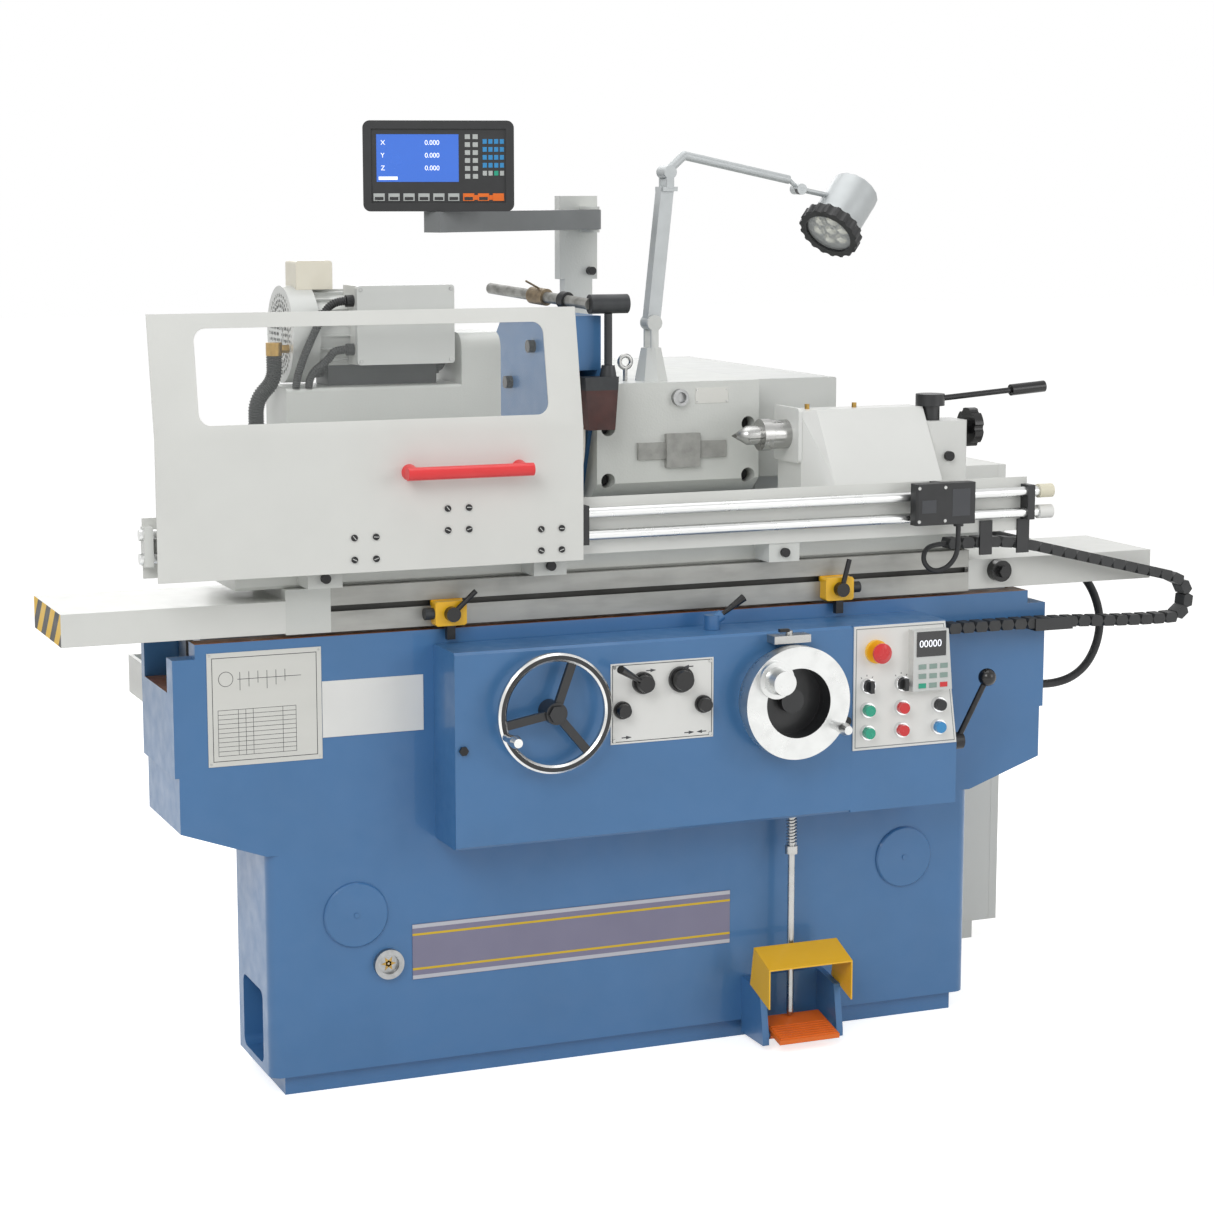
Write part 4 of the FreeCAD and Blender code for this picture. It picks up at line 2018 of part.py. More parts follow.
def smooth_path(points):
    """Straight runs joined by tangent arcs, each as large as its two runs allow."""
    edges = []
    cursor = points[0]
    least = None
    for before, corner, after in zip(points, points[1:], points[2:]):
        back = (before - corner).normalize()
        ahead = (after - corner).normalize()
        turn = math.pi - back.getAngle(ahead)
        reach = min((before - corner).Length, (after - corner).Length) * CABLE_BEND_SHARE
        radius = reach / math.tan(turn / 2)
        least = radius if least is None else min(least, radius)
        start = corner + back * reach
        end = corner + ahead * reach
        inward = (back + ahead).normalize()
        middle = corner + inward * (math.hypot(radius, reach) - radius)
        edges.append(Part.LineSegment(cursor, start).toShape())
        edges.append(Part.Arc(start, middle, end).toShape())
        cursor = end
    edges.append(Part.LineSegment(cursor, points[-1]).toShape())
    print("least bend radius", least)
    return Part.Wire(edges)


def along(path, radius):
    """Round tube that follows a path."""
    first = path.Edges[0]
    tangent = first.tangentAt(first.FirstParameter)
    section = Part.Wire(Part.makeCircle(radius, first.valueAt(first.FirstParameter), tangent))
    solid = path.makePipeShell([section], True, False)
    print("tube volume share", solid.Volume / (math.pi * radius * radius * path.Length))
    return solid


def chain_route():
    """Centre line of the cable chain: out along the guard, round its bend and back along the bed."""
    places = (
        (CHAIN_START_X, CHAIN_TOP_Z),
        (CHAIN_SAG_X, CHAIN_TOP_Z),
        (CHAIN_FAR_X, CHAIN_FAR_Z),
        (CHAIN_FAR_X, CHAIN_RETURN_Z),
        (CHAIN_RETURN_X, CHAIN_RETURN_Z),
        (CHAIN_LEVEL_X, CHAIN_LOW_Z),
        (CHAIN_END_X, CHAIN_LOW_Z),
    )
    return [Vector(x, CHAIN_Y, z) for x, z in places]


def chain_link(near, far):
    """One link between two joints, its ends drawn in so that the chain can bend."""
    run = far - near
    end = (run.Length - CHAIN_JOINT) / 2
    shoulder = end - CHAIN_TAPER
    high = CHAIN_HEIGHT / 2
    link = side_outline(
        ((0, -end), (high, -shoulder), (high, shoulder), (0, end), (-high, shoulder), (-high, -shoulder)),
        -CHAIN_WIDTH / 2,
        CHAIN_WIDTH / 2,
    )
    link.Placement = FreeCAD.Placement((near + far) / 2, FreeCAD.Rotation(ALONG_Y, Vector(), run, "ZXY"))
    return link


def cable_chain():
    """Cable chain of hinged links, with the tray that carries its lower run."""
    path = smooth_path(chain_route())
    count = int(path.Length / CHAIN_PITCH)
    points = path.discretize(Number=count + 1)
    links = [chain_link(near, far) for near, far in zip(points, points[1:])]
    top = CHAIN_LOW_Z - CHAIN_HEIGHT / 2 - TRAY_DROP
    right = TRAY_LEFT_X + TRAY_WIDTH
    side = CHAIN_Y - CHAIN_WIDTH / 2
    floor = block(TRAY_LEFT_X, right, side - TRAY_SHEET, BED_FRONT_Y, top - TRAY_SHEET, top)
    lip = block(TRAY_LEFT_X, right, side - TRAY_SHEET, side - SEAT_GAP, top, top + TRAY_HEIGHT)
    return links + [fused([floor, lip])]


def power_cable():
    """Cable between the bed and the electrical cabinet, with its gland on the bed."""
    start = POWER_ROUTE[0]
    bed_end = Vector(UPPER_HALF, start.y, start.z)
    return [along(smooth_path(POWER_ROUTE), CABLE_RADIUS)], [rod(bed_end, start, CABLE_GLAND_RADIUS)]


def switch_cable():
    """Cable from the door switch down to the cable chain."""
    return [along(smooth_path(SWITCH_ROUTE), SWITCH_CABLE_RADIUS)]


def axis_point(x):
    """Point on the work axis."""
    return Vector(x, WORK_AXIS_Y, WORK_AXIS_Z)


def workhead_body():
    """Workhead: base, swivel disc, case and the taller nose block."""
    base_top = UPPER_TABLE_TOP_Z + WORKHEAD_BASE_HEIGHT
    disc_top = base_top + WORKHEAD_DISC_HEIGHT
    base = block(
        WORKHEAD_LEFT_X,
        WORKHEAD_RIGHT_X,
        WORKHEAD_FRONT_Y,
        WORKHEAD_BACK_Y,
        UPPER_TABLE_TOP_Z,
        base_top,
    )
    disc_x = (WORKHEAD_LEFT_X + WORKHEAD_RIGHT_X) / 2
    disc_y = (WORKHEAD_FRONT_Y + WORKHEAD_BACK_Y) / 2
    disc = rod(Vector(disc_x, disc_y, base_top), Vector(disc_x, disc_y, disc_top), WORKHEAD_DISC_RADIUS)
    case = block(
        WORKHEAD_CASE_LEFT_X,
        WORKHEAD_CASE_RIGHT_X,
        WORKHEAD_FRONT_Y + WORKHEAD_INSET,
        WORKHEAD_BACK_Y - WORKHEAD_INSET,
        disc_top,
        WORKHEAD_CASE_TOP_Z,
    )
    case = eased(case, ALONG_X, WORKHEAD_EDGE)
    nose = block(
        WORKHEAD_CASE_RIGHT_X,
        WORKHEAD_RIGHT_X,
        WORKHEAD_FRONT_Y + WORKHEAD_INSET,
        WORKHEAD_BACK_Y,
        disc_top,
        WORKHEAD_NOSE_TOP_Z,
    )
    nose = eased(nose, ALONG_X, WORKHEAD_NOSE_ROUND)
    bore_end = axis_point(WORKHEAD_RIGHT_X + CUT_PAST)
    bore = rod(axis_point(SPINDLE_END_X - CUT_PAST), bore_end, SPINDLE_RADIUS + RUNNING_CLEARANCE)
    return [fused([base, disc]), case.cut(bore), nose.cut(bore)]


def workhead_motor():
    """Motor on the workhead: finned body, perforated cowl, cap, foot and terminal box."""
    centre = Vector(0, MOTOR_Y, MOTOR_Z)
    cowl_end = MOTOR_LEFT_X + MOTOR_COWL_LENGTH
    body = rod(centre + ALONG_X * cowl_end, centre + ALONG_X * MOTOR_RIGHT_X, MOTOR_RADIUS - FIN_HEIGHT)
    fins = []
    for angle in around(FIN_COUNT):
        fin = block(
            cowl_end,
            MOTOR_RIGHT_X - FIN_HEIGHT,
            MOTOR_Y - FIN_WIDTH / 2,
            MOTOR_Y + FIN_WIDTH / 2,
            MOTOR_Z,
            MOTOR_Z + MOTOR_RADIUS,
        )
        fins.append(turned_about(fin, centre, ALONG_X, angle))
    foot = block(
        cowl_end + MOTOR_FOOT_WIDTH,
        MOTOR_RIGHT_X - MOTOR_FOOT_WIDTH,
        MOTOR_Y - MOTOR_FOOT_HEIGHT,
        MOTOR_Y + MOTOR_FOOT_WIDTH,
        WORKHEAD_CASE_TOP_Z,
        MOTOR_Z - MOTOR_RADIUS / 2,
    )
    return [fused([body, foot] + fins), motor_cowl(), fan_cap()] + terminal_box()


def motor_cowl():
    """Fan cowl at the motor's left end, with rings of round holes."""
    start = Vector(MOTOR_LEFT_X, MOTOR_Y, MOTOR_Z)
    end = start + ALONG_X * MOTOR_COWL_LENGTH
    shell = rod(start, end, MOTOR_COWL_RADIUS).cut(
        rod(start + ALONG_X * COWL_SHEET, end + ALONG_X * CUT_PAST, MOTOR_COWL_RADIUS - COWL_SHEET)
    )
    holes = []
    for row in range(1, COWL_SLOT_ROWS):
        radius = MOTOR_COWL_RADIUS * row / COWL_SLOT_ROWS
        for angle in around(COWL_SLOT_COUNT * row):
            side, rise = polar(radius, angle)
            place = start + Vector(-CUT_PAST, side, rise)
            holes.append(rod(place, place + ALONG_X * (COWL_SHEET + 2 * CUT_PAST), COWL_SLOT_RADIUS))
    return shell.cut(Part.makeCompound(holes))


def fan_cap():
    """Box on top of the motor's left end."""
    left = MOTOR_LEFT_X + FAN_BOX_INSET
    top = MOTOR_Z + MOTOR_COWL_RADIUS + FAN_BOX_HEIGHT
    box = block(
        left,
        left + FAN_BOX_WIDTH,
        MOTOR_Y - FAN_BOX_WIDTH / 2,
        MOTOR_Y + FAN_BOX_WIDTH / 2,
        MOTOR_Z,
        top,
    )
    keep_out = rod(
        Vector(left - CUT_PAST, MOTOR_Y, MOTOR_Z),
        Vector(left + FAN_BOX_WIDTH + CUT_PAST, MOTOR_Y, MOTOR_Z),
        MOTOR_COWL_RADIUS,
    )
    return eased(box.cut(keep_out), ALONG_Y, WORKHEAD_EDGE)


def terminal_box():
    """Terminal box on the motor's front: body, lid with screws and two conduit fittings."""
    right = TERMINAL_LEFT_X + TERMINAL_WIDTH
    top = TERMINAL_BOTTOM_Z + TERMINAL_HEIGHT
    lid_back = TERMINAL_FRONT_Y + TERMINAL_LID
    body = block(
        TERMINAL_LEFT_X + SEAT_GAP,
        right - SEAT_GAP,
        lid_back,
        MOTOR_Y - MOTOR_RADIUS / 2,
        TERMINAL_BOTTOM_Z + SEAT_GAP,
        top - SEAT_GAP,
    )
    keep_out = rod(
        Vector(TERMINAL_LEFT_X - CUT_PAST, MOTOR_Y, MOTOR_Z),
        Vector(right + CUT_PAST, MOTOR_Y, MOTOR_Z),
        MOTOR_RADIUS + SEAT_GAP,
    )
    body = body.cut(keep_out)
    lid = block(TERMINAL_LEFT_X, right, TERMINAL_FRONT_Y, lid_back, TERMINAL_BOTTOM_Z, top)
    solids = [body, eased(lid, ALONG_Y, WORKHEAD_EDGE)]
    width = TERMINAL_WIDTH
    solids += corner_screws(TERMINAL_LEFT_X, TERMINAL_BOTTOM_Z, width, TERMINAL_HEIGHT, TERMINAL_FRONT_Y)
    for start in conduit_starts():
        solids.append(rod(start, start + ALONG_X * CONDUIT_NUT_LENGTH, CONDUIT_NUT_RADIUS))
    return solids


def conduit_starts():
    """Ends of the two conduits, beside the terminal box."""
    x = TERMINAL_LEFT_X + SEAT_GAP - CONDUIT_NUT_LENGTH
    return (
        Vector(x, CONDUIT_Y, TERMINAL_BOTTOM_Z + TERMINAL_HEIGHT - CONDUIT_DROP),
        Vector(x, CONDUIT_Y, TERMINAL_BOTTOM_Z + CONDUIT_DROP),
    )


def workhead_spindle():
    """Work spindle with its drive plate, drive pin and centre."""
    plate_left = WORKHEAD_RIGHT_X + SEAT_GAP
    plate_right = plate_left + DRIVE_PLATE_THICKNESS
    shaft = rod(axis_point(SPINDLE_END_X), axis_point(plate_left), SPINDLE_RADIUS)
    drive = rod(axis_point(plate_left), axis_point(plate_right), DRIVE_PLATE_RADIUS)
    pin_y = WORK_AXIS_Y - DRIVE_PLATE_RADIUS + 2 * DRIVE_PIN_RADIUS
    pin = rod(
        Vector(plate_right, pin_y, WORK_AXIS_Z),
        Vector(plate_right + DRIVE_PIN_LENGTH, pin_y, WORK_AXIS_Z),
        DRIVE_PIN_RADIUS,
    )
    cone_start = plate_right + CENTRE_LENGTH - CENTRE_RADIUS * 2
    point = fused(
        [
            rod(axis_point(plate_right), axis_point(cone_start), CENTRE_RADIUS),
            taper(axis_point(cone_start), axis_point(plate_right + CENTRE_LENGTH), CENTRE_RADIUS, 0),
        ]
    )
    return [fused([shaft, drive]), pin, point]


def ribbed_hose(points, radius):
    """Hose with its bore and round ribs, lofted through circles along a path."""
    path = smooth_path(points)
    count = int(path.Length / HOSE_RIB_PITCH)
    stations = path.discretize(Number=count * 4 + 1)
    steady = ALONG_Y
    rings = []
    for index, place in enumerate(stations):
        nearest = max(index, 1)
        tangent = stations[nearest] - stations[nearest - 1]
        size = radius if index % 4 in (1, 2) else radius - HOSE_RIB_HEIGHT
        ring = Part.Wire(Part.makeCircle(size))
        ring.Placement = FreeCAD.Placement(place, FreeCAD.Rotation(steady, Vector(), tangent, "ZXY"))
        rings.append(ring)
    skin = Part.makeLoft(rings, True, True)
    return skin.cut(along(path, radius - HOSE_RIB_HEIGHT - HOSE_WALL))


def workhead_hoses():
    """Two conduits from the terminal box to the case, and the ribbed hose beside the motor."""
    upper, lower = conduit_starts()
    case_top = WORKHEAD_CASE_TOP_Z
    solids = []
    for start, foot_x in ((upper, CONDUIT_FOOT_X), (lower, CONDUIT_FOOT_X + 3 * CONDUIT_RADIUS)):
        foot = Vector(foot_x, CONDUIT_Y, case_top)
        out = start - ALONG_X * CONDUIT_END_RUN
        rise = start.z - foot.z - CONDUIT_END_RUN
        shoulder = Vector((out.x + 2 * foot.x) / 3, CONDUIT_Y, start.z - rise * CONDUIT_RISE_SHARE)
        low = foot + ALONG_Z * CONDUIT_END_RUN
        solids.append(along(smooth_path((start, out, shoulder, low, foot)), CONDUIT_RADIUS))
    low = Vector(WORKHEAD_CASE_LEFT_X, HOSE_Y, HOSE_LOW_Z)
    bend = HOSE_REACH * HOSE_BEND_SHARE
    hose = [
        low,
        low - ALONG_X * bend,
        low - ALONG_X * HOSE_REACH + ALONG_Z * bend,
        Vector(WORKHEAD_CASE_LEFT_X - HOSE_REACH, HOSE_Y, (HOSE_LOW_Z + HOSE_TOP_Z) / 2),
        Vector(HOSE_TOP_X, HOSE_Y, HOSE_TOP_Z - HOSE_REACH),
        Vector(HOSE_TOP_X, HOSE_Y, HOSE_TOP_Z),
    ]
    solids.append(ribbed_hose(hose, HOSE_RADIUS))
    fitting = rod(hose[-1], hose[-1] + ALONG_Z * HOSE_FITTING, HOSE_RADIUS)
    elbow_z = HOSE_TOP_Z + HOSE_FITTING / 2
    elbow = rod(Vector(HOSE_TOP_X, HOSE_Y, elbow_z), Vector(MOTOR_LEFT_X, HOSE_Y, elbow_z), HOSE_RADIUS / 2)
    solids.append(fused([fitting, elbow]))
    return solids


def tail_outline(x):
    """Outline of the tailstock's sloping main section."""
    slope_z = UPPER_TABLE_TOP_Z + (TAIL_TOP_Z - UPPER_TABLE_TOP_Z) * TAIL_SLOPE_SHARE
    slope_y = TAIL_TOP_FRONT_Y + (TAIL_FOOT_FRONT_Y - TAIL_TOP_FRONT_Y) * TAIL_LEDGE_SHARE
    places = (
        (TAIL_FOOT_FRONT_Y, UPPER_TABLE_TOP_Z),
        (slope_y, slope_z),
        (TAIL_TOP_FRONT_Y, TAIL_TOP_Z),
        (TAIL_TOP_BACK_Y, TAIL_TOP_Z),
        (TAIL_BACK_Y, slope_z),
        (TAIL_BACK_Y, UPPER_TABLE_TOP_Z),
    )
    return Part.makePolygon([Vector(x, y, z) for y, z in places + places[:1]])


def nose_outline(x):
    """Outline of the tailstock's narrower nose."""
    front = WORK_AXIS_Y - TAIL_NOSE_HALF
    back = WORK_AXIS_Y + TAIL_NOSE_HALF
    high = TAIL_TOP_Z - TAIL_FLANGE
    places = (
        (front, UPPER_TABLE_TOP_Z),
        (front, high),
        (front + TAIL_FLANGE, TAIL_TOP_Z),
        (back - TAIL_FLANGE, TAIL_TOP_Z),
        (back, high),
        (back, UPPER_TABLE_TOP_Z),
    )
    return Part.makePolygon([Vector(x, y, z) for y, z in places + places[:1]])


def tailstock_body():
    """Tailstock: cast body with its nose, rear block, flange, oilers and clamp screw."""
    nose = Part.makeLoft([nose_outline(TAIL_LEFT_X), tail_outline(TAIL_BODY_X)], True, True)
    main = Part.Face(tail_outline(TAIL_BODY_X)).extrude(ALONG_X * (TAIL_RIGHT_X - TAIL_BODY_X))
    rear = block(
        TAIL_RIGHT_X,
        TAIL_BLOCK_X,
        TAIL_BLOCK_FRONT_Y,
        TAIL_BLOCK_BACK_Y,
        UPPER_TABLE_TOP_Z,
        TAIL_BLOCK_TOP_Z,
    )
    bore_start = axis_point(TAIL_LEFT_X - TAIL_FLANGE - CUT_PAST)
    bore_end = axis_point(QUILL_END_X + QUILL_TRAVEL + CUT_PAST)
    bore = rod(bore_start, bore_end, QUILL_RADIUS + RUNNING_CLEARANCE)
    body = fused([nose, main, eased(rear, ALONG_Z, TAIL_FLANGE)]).cut(bore)
    flange = block(
        TAIL_LEFT_X - TAIL_FLANGE,
        TAIL_LEFT_X,
        WORK_AXIS_Y - TAIL_FLANGE_HALF,
        WORK_AXIS_Y + TAIL_FLANGE_HALF,
        WORK_AXIS_Z - TAIL_FLANGE_HALF,
        WORK_AXIS_Z + TAIL_FLANGE_HALF,
    )
    flange = eased(flange, ALONG_X, TAIL_FLANGE).cut(bore)
    solids = [body, flange]
    oiler_y = (TAIL_TOP_FRONT_Y + TAIL_TOP_BACK_Y) / 2
    for share in OILER_SHARES:
        foot = Vector(TAIL_LEFT_X + (TAIL_RIGHT_X - TAIL_LEFT_X) * share, oiler_y, TAIL_TOP_Z)
        solids.append(rod(foot, foot + ALONG_Z * OILER_HEIGHT, OILER_RADIUS))
    middle_x = (TAIL_RIGHT_X + TAIL_BLOCK_X) / 2
    screw = rod(
        Vector(middle_x, TAIL_BLOCK_FRONT_Y, TAIL_SCREW_Z),
        Vector(middle_x, TAIL_BLOCK_FRONT_Y - OILER_HEIGHT, TAIL_SCREW_Z),
        OILER_HEIGHT,
    )
    return solids + [screw]


def tailstock_quill():
    """Quill with its scraper collar and live centre."""
    collar_left = QUILL_LEFT_X - QUILL_COLLAR_LENGTH
    quill = rod(axis_point(QUILL_LEFT_X), axis_point(QUILL_END_X), QUILL_RADIUS)
    collar = rod(axis_point(collar_left), axis_point(QUILL_LEFT_X), QUILL_COLLAR_RADIUS)
    live_left = collar_left - LIVE_BODY_LENGTH
    live = rod(axis_point(live_left), axis_point(collar_left), LIVE_BODY_RADIUS)
    cone = taper(axis_point(live_left), axis_point(live_left - LIVE_CONE_LENGTH), LIVE_BODY_RADIUS, 0)
    return [fused([quill, collar]), fused([live, cone])]


def tailstock_lever():
    """Quill lever: hub on the rear block, rod and black grip to the right."""
    foot = Vector(TAIL_LEVER_X, WORK_AXIS_Y, TAIL_BLOCK_TOP_Z + SEAT_GAP)
    neck_top = foot + ALONG_Z * TAIL_HUB_NECK_HEIGHT
    hub_top = neck_top + ALONG_Z * TAIL_HUB_HEIGHT
    hub = fused([rod(foot, neck_top, TAIL_HUB_NECK_RADIUS), rod(neck_top, hub_top, TAIL_HUB_RADIUS)])
    start = neck_top + ALONG_Z * (TAIL_HUB_HEIGHT / 2)
    rod_end = start + Vector(TAIL_ROD_LENGTH, 0, TAIL_ROD_RISE)
    bar = rod(start, rod_end, TAIL_ROD_RADIUS).cut(hub)
    tip = rod_end + (rod_end - start).normalize() * TAIL_GRIP_LENGTH
    return [hub, bar, rod(rod_end, tip, TAIL_GRIP_RADIUS)]


def tailstock_knob():
    """Spring-pressure knob behind the tailstock."""
    start = Vector(TAIL_BLOCK_X + SEAT_GAP, WORK_AXIS_Y, WORK_AXIS_Z)
    neck_end = start + ALONG_X * TAIL_KNOB_NECK_LENGTH
    neck = rod(start, neck_end, TAIL_KNOB_NECK_RADIUS)
    grip = rod(neck_end, neck_end + ALONG_X * TAIL_KNOB_LENGTH, TAIL_KNOB_RADIUS)
    notches = []
    for angle in around(KNOB_LOBES):
        side, rise = polar(TAIL_KNOB_RADIUS + KNOB_NOTCH / 2, angle)
        place = neck_end + Vector(-CUT_PAST, side, rise)
        notches.append(rod(place, place + ALONG_X * (TAIL_KNOB_LENGTH + 2 * CUT_PAST), KNOB_NOTCH))
    return [fused([neck, less(grip, notches)])]


def spindle_point(x):
    """Point on the grinding spindle's axis."""
    return Vector(x, WHEEL_AXIS_Y, WORK_AXIS_Z)


def pulley_point(x):
    """Point on the motor pulley's axis, behind the grinding spindle."""
    return Vector(x, PULLEY_AXIS_Y, WORK_AXIS_Z)


def wheelhead_slide():
    """Infeed slide on the cross ways, with the swivel disc on top."""
    slide = block(
        SLIDE_LEFT_X,
        SLIDE_RIGHT_X,
        SLIDE_FRONT_Y,
        SLIDE_FRONT_Y + SLIDE_LENGTH,
        CROSS_WAY_Z + SEAT_GAP,
        SLIDE_TOP_Z,
    )
    slide = bevelled(slide, ALONG_X, HEAD_EDGE)
    disc_top = Vector(TURN_X, TURN_Y, HEAD_BOTTOM_Z - SEAT_GAP)
    disc = rod(Vector(TURN_X, TURN_Y, SLIDE_TOP_Z), disc_top, TURN_RADIUS)
    return [fused([slide, disc])]


def wheelhead_casting():
    """Main casting of the wheelhead, with its bores, counterbored screws and front relief."""
    outline = (
        (HEAD_FRONT_Y, HEAD_CHAMFER_Z),
        (HEAD_FRONT_Y, HEAD_TOP_Z),
        (HEAD_BACK_Y, HEAD_TOP_Z),
        (HEAD_BACK_Y, HEAD_BOTTOM_Z),
        (HEAD_FRONT_Y + HEAD_CHAMFER_Y, HEAD_BOTTOM_Z),
    )
    body = side_outline(outline, HEAD_LEFT_X, HEAD_RIGHT_X)
    bar = block(
        CROSS_RELIEF_X - CROSS_BAR_WIDTH / 2,
        CROSS_RELIEF_X + CROSS_BAR_WIDTH / 2,
        HEAD_FRONT_Y - CROSS_RELIEF_RISE,
        HEAD_FRONT_Y,
        CROSS_RELIEF_Z - CROSS_BAR_HEIGHT / 2,
        CROSS_RELIEF_Z + CROSS_BAR_HEIGHT / 2,
    )
    middle = block(
        CROSS_RELIEF_X - CROSS_BLOCK_WIDTH / 2,
        CROSS_RELIEF_X + CROSS_BLOCK_WIDTH / 2,
        HEAD_FRONT_Y - 2 * CROSS_RELIEF_RISE,
        HEAD_FRONT_Y,
        CROSS_RELIEF_Z - CROSS_BLOCK_HEIGHT / 2,
        CROSS_RELIEF_Z + CROSS_BLOCK_HEIGHT / 2,
    )
    bore = ARBOR_RADIUS + RUNNING_CLEARANCE
    past = HEAD_RIGHT_X + CUT_PAST
    cutters = [
        rod(spindle_point(HEAD_LEFT_X - CUT_PAST), spindle_point(past), bore),
        rod(pulley_point(HEAD_RIGHT_X - MOTOR_SHAFT_LENGTH - CUT_PAST), pulley_point(past), bore),
    ]
    for x, z in head_bolt_places():
        start = Vector(x, HEAD_FRONT_Y - CUT_PAST, z)
        end = Vector(x, HEAD_FRONT_Y + HEAD_CHAMFER_Y + HEAD_BOLT_DEPTH, z)
        cutters.append(rod(start, end, HEAD_BOLT_RADIUS))
    return less(fused([body, bar, middle]), cutters)


def head_bolt_places():
    """Places of the four counterbored screws."""
    places = []
    for x in (HEAD_LEFT_X + HEAD_BOLT_INSET_X, HEAD_RIGHT_X - HEAD_BOLT_INSET_X):
        for z in (HEAD_BOLT_TOP_Z, HEAD_BOLT_LOW_Z + HEAD_BOLT_RADIUS):
            places.append((x, z))
    return places


def belt_cover():
    """Belt cover: hollow box beside the casting, with its end door."""
    seam = BELT_COVER_RIGHT_X - BELT_COVER_DOOR
    back = HEAD_BACK_Y + BELT_COVER_OVERHANG
    box = block(HEAD_RIGHT_X, seam, BELT_COVER_FRONT_Y, back, BELT_COVER_BOTTOM_Z, BELT_COVER_TOP_Z)
    inside = block(
        HEAD_RIGHT_X + CABINET_WALL,
        seam + CUT_PAST,
        BELT_COVER_FRONT_Y + CABINET_WALL,
        back - CABINET_WALL,
        BELT_COVER_BOTTOM_Z + CABINET_WALL,
        BELT_COVER_TOP_Z - CABINET_WALL,
    )
    bores = []
    for place in (spindle_point, pulley_point):
        past = place(HEAD_RIGHT_X + 2 * CABINET_WALL)
        bores.append(rod(place(HEAD_RIGHT_X - CUT_PAST), past, ARBOR_RADIUS + CABINET_WALL))
    door = block(seam, BELT_COVER_RIGHT_X, BELT_COVER_FRONT_Y, back, BELT_COVER_BOTTOM_Z, BELT_COVER_TOP_Z)
    return [less(box, [inside] + bores), bevelled(door, ALONG_Y, CABINET_WALL)]


def drive_belt(index):
    """Endless belt round both pulleys, in one groove."""
    left = PULLEY_LEFT_X + BELT_PITCH * index + BELT_PITCH / 2 - BELT_WIDTH / 2
    inner = WHEEL_PULLEY_RADIUS + SEAT_GAP
    outer = inner + BELT_THICKNESS
    loops = []
    for radius in (outer, inner):
        ends = [rod(place(left), place(left + BELT_WIDTH), radius) for place in (spindle_point, pulley_point)]
        low = WORK_AXIS_Z - radius
        run = block(left, left + BELT_WIDTH, WHEEL_AXIS_Y, PULLEY_AXIS_Y, low, WORK_AXIS_Z + radius)
        loops.append(fused([run] + ends))
    return loops[0].cut(loops[1])


def wheelhead_body():
    """Wheelhead casting with its sight glass, bolts, belt cover and belts."""
    solids = [wheelhead_casting()] + belt_cover()
    solids += sight_glass(HEAD_SIGHT_X, HEAD_SIGHT_Z, HEAD_SIGHT_RADIUS, HEAD_FRONT_Y)
    for x, z in head_bolt_places():
        back = HEAD_FRONT_Y + HEAD_CHAMFER_Y + HEAD_BOLT_DEPTH
        head_radius = HEAD_BOLT_RADIUS - PLATE_SCREW_HEAD
        solids.append(rod(Vector(x, back - HEAD_BOLT_DEPTH, z), Vector(x, back, z), head_radius))
    for index in range(BELT_COUNT):
        solids.append(drive_belt(index))
    return solids


def pulley(place):
    """Belt pulley on an axis."""
    right = PULLEY_LEFT_X + BELT_PITCH * BELT_COUNT
    return rod(place(PULLEY_LEFT_X), place(right), WHEEL_PULLEY_RADIUS)


def grinding_wheel():
    """Grinding wheel between its flanges, on the spindle, with the driven pulley."""
    wheel_right = GRINDING_LEFT_X + GRINDING_WIDTH
    spindle_left = GRINDING_LEFT_X - FLANGE_THICKNESS - SPINDLE_NUT
    spindle = rod(spindle_point(spindle_left), spindle_point(PULLEY_LEFT_X), ARBOR_RADIUS)
    wheel = tube(spindle_point(GRINDING_LEFT_X), spindle_point(wheel_right), GRINDING_RADIUS, ARBOR_RADIUS)
    flanges = []
    for left in (GRINDING_LEFT_X - FLANGE_THICKNESS, wheel_right):
        end = spindle_point(left + FLANGE_THICKNESS)
        flanges.append(tube(spindle_point(left), end, FLANGE_RADIUS, ARBOR_RADIUS))
    return [wheel] + flanges + [fused([spindle, pulley(spindle_point)])]


def motor_pulley():
    """Motor pulley on its shaft."""
    shaft = rod(pulley_point(HEAD_RIGHT_X - MOTOR_SHAFT_LENGTH), pulley_point(PULLEY_LEFT_X), ARBOR_RADIUS)
    return [fused([shaft, pulley(pulley_point)])]


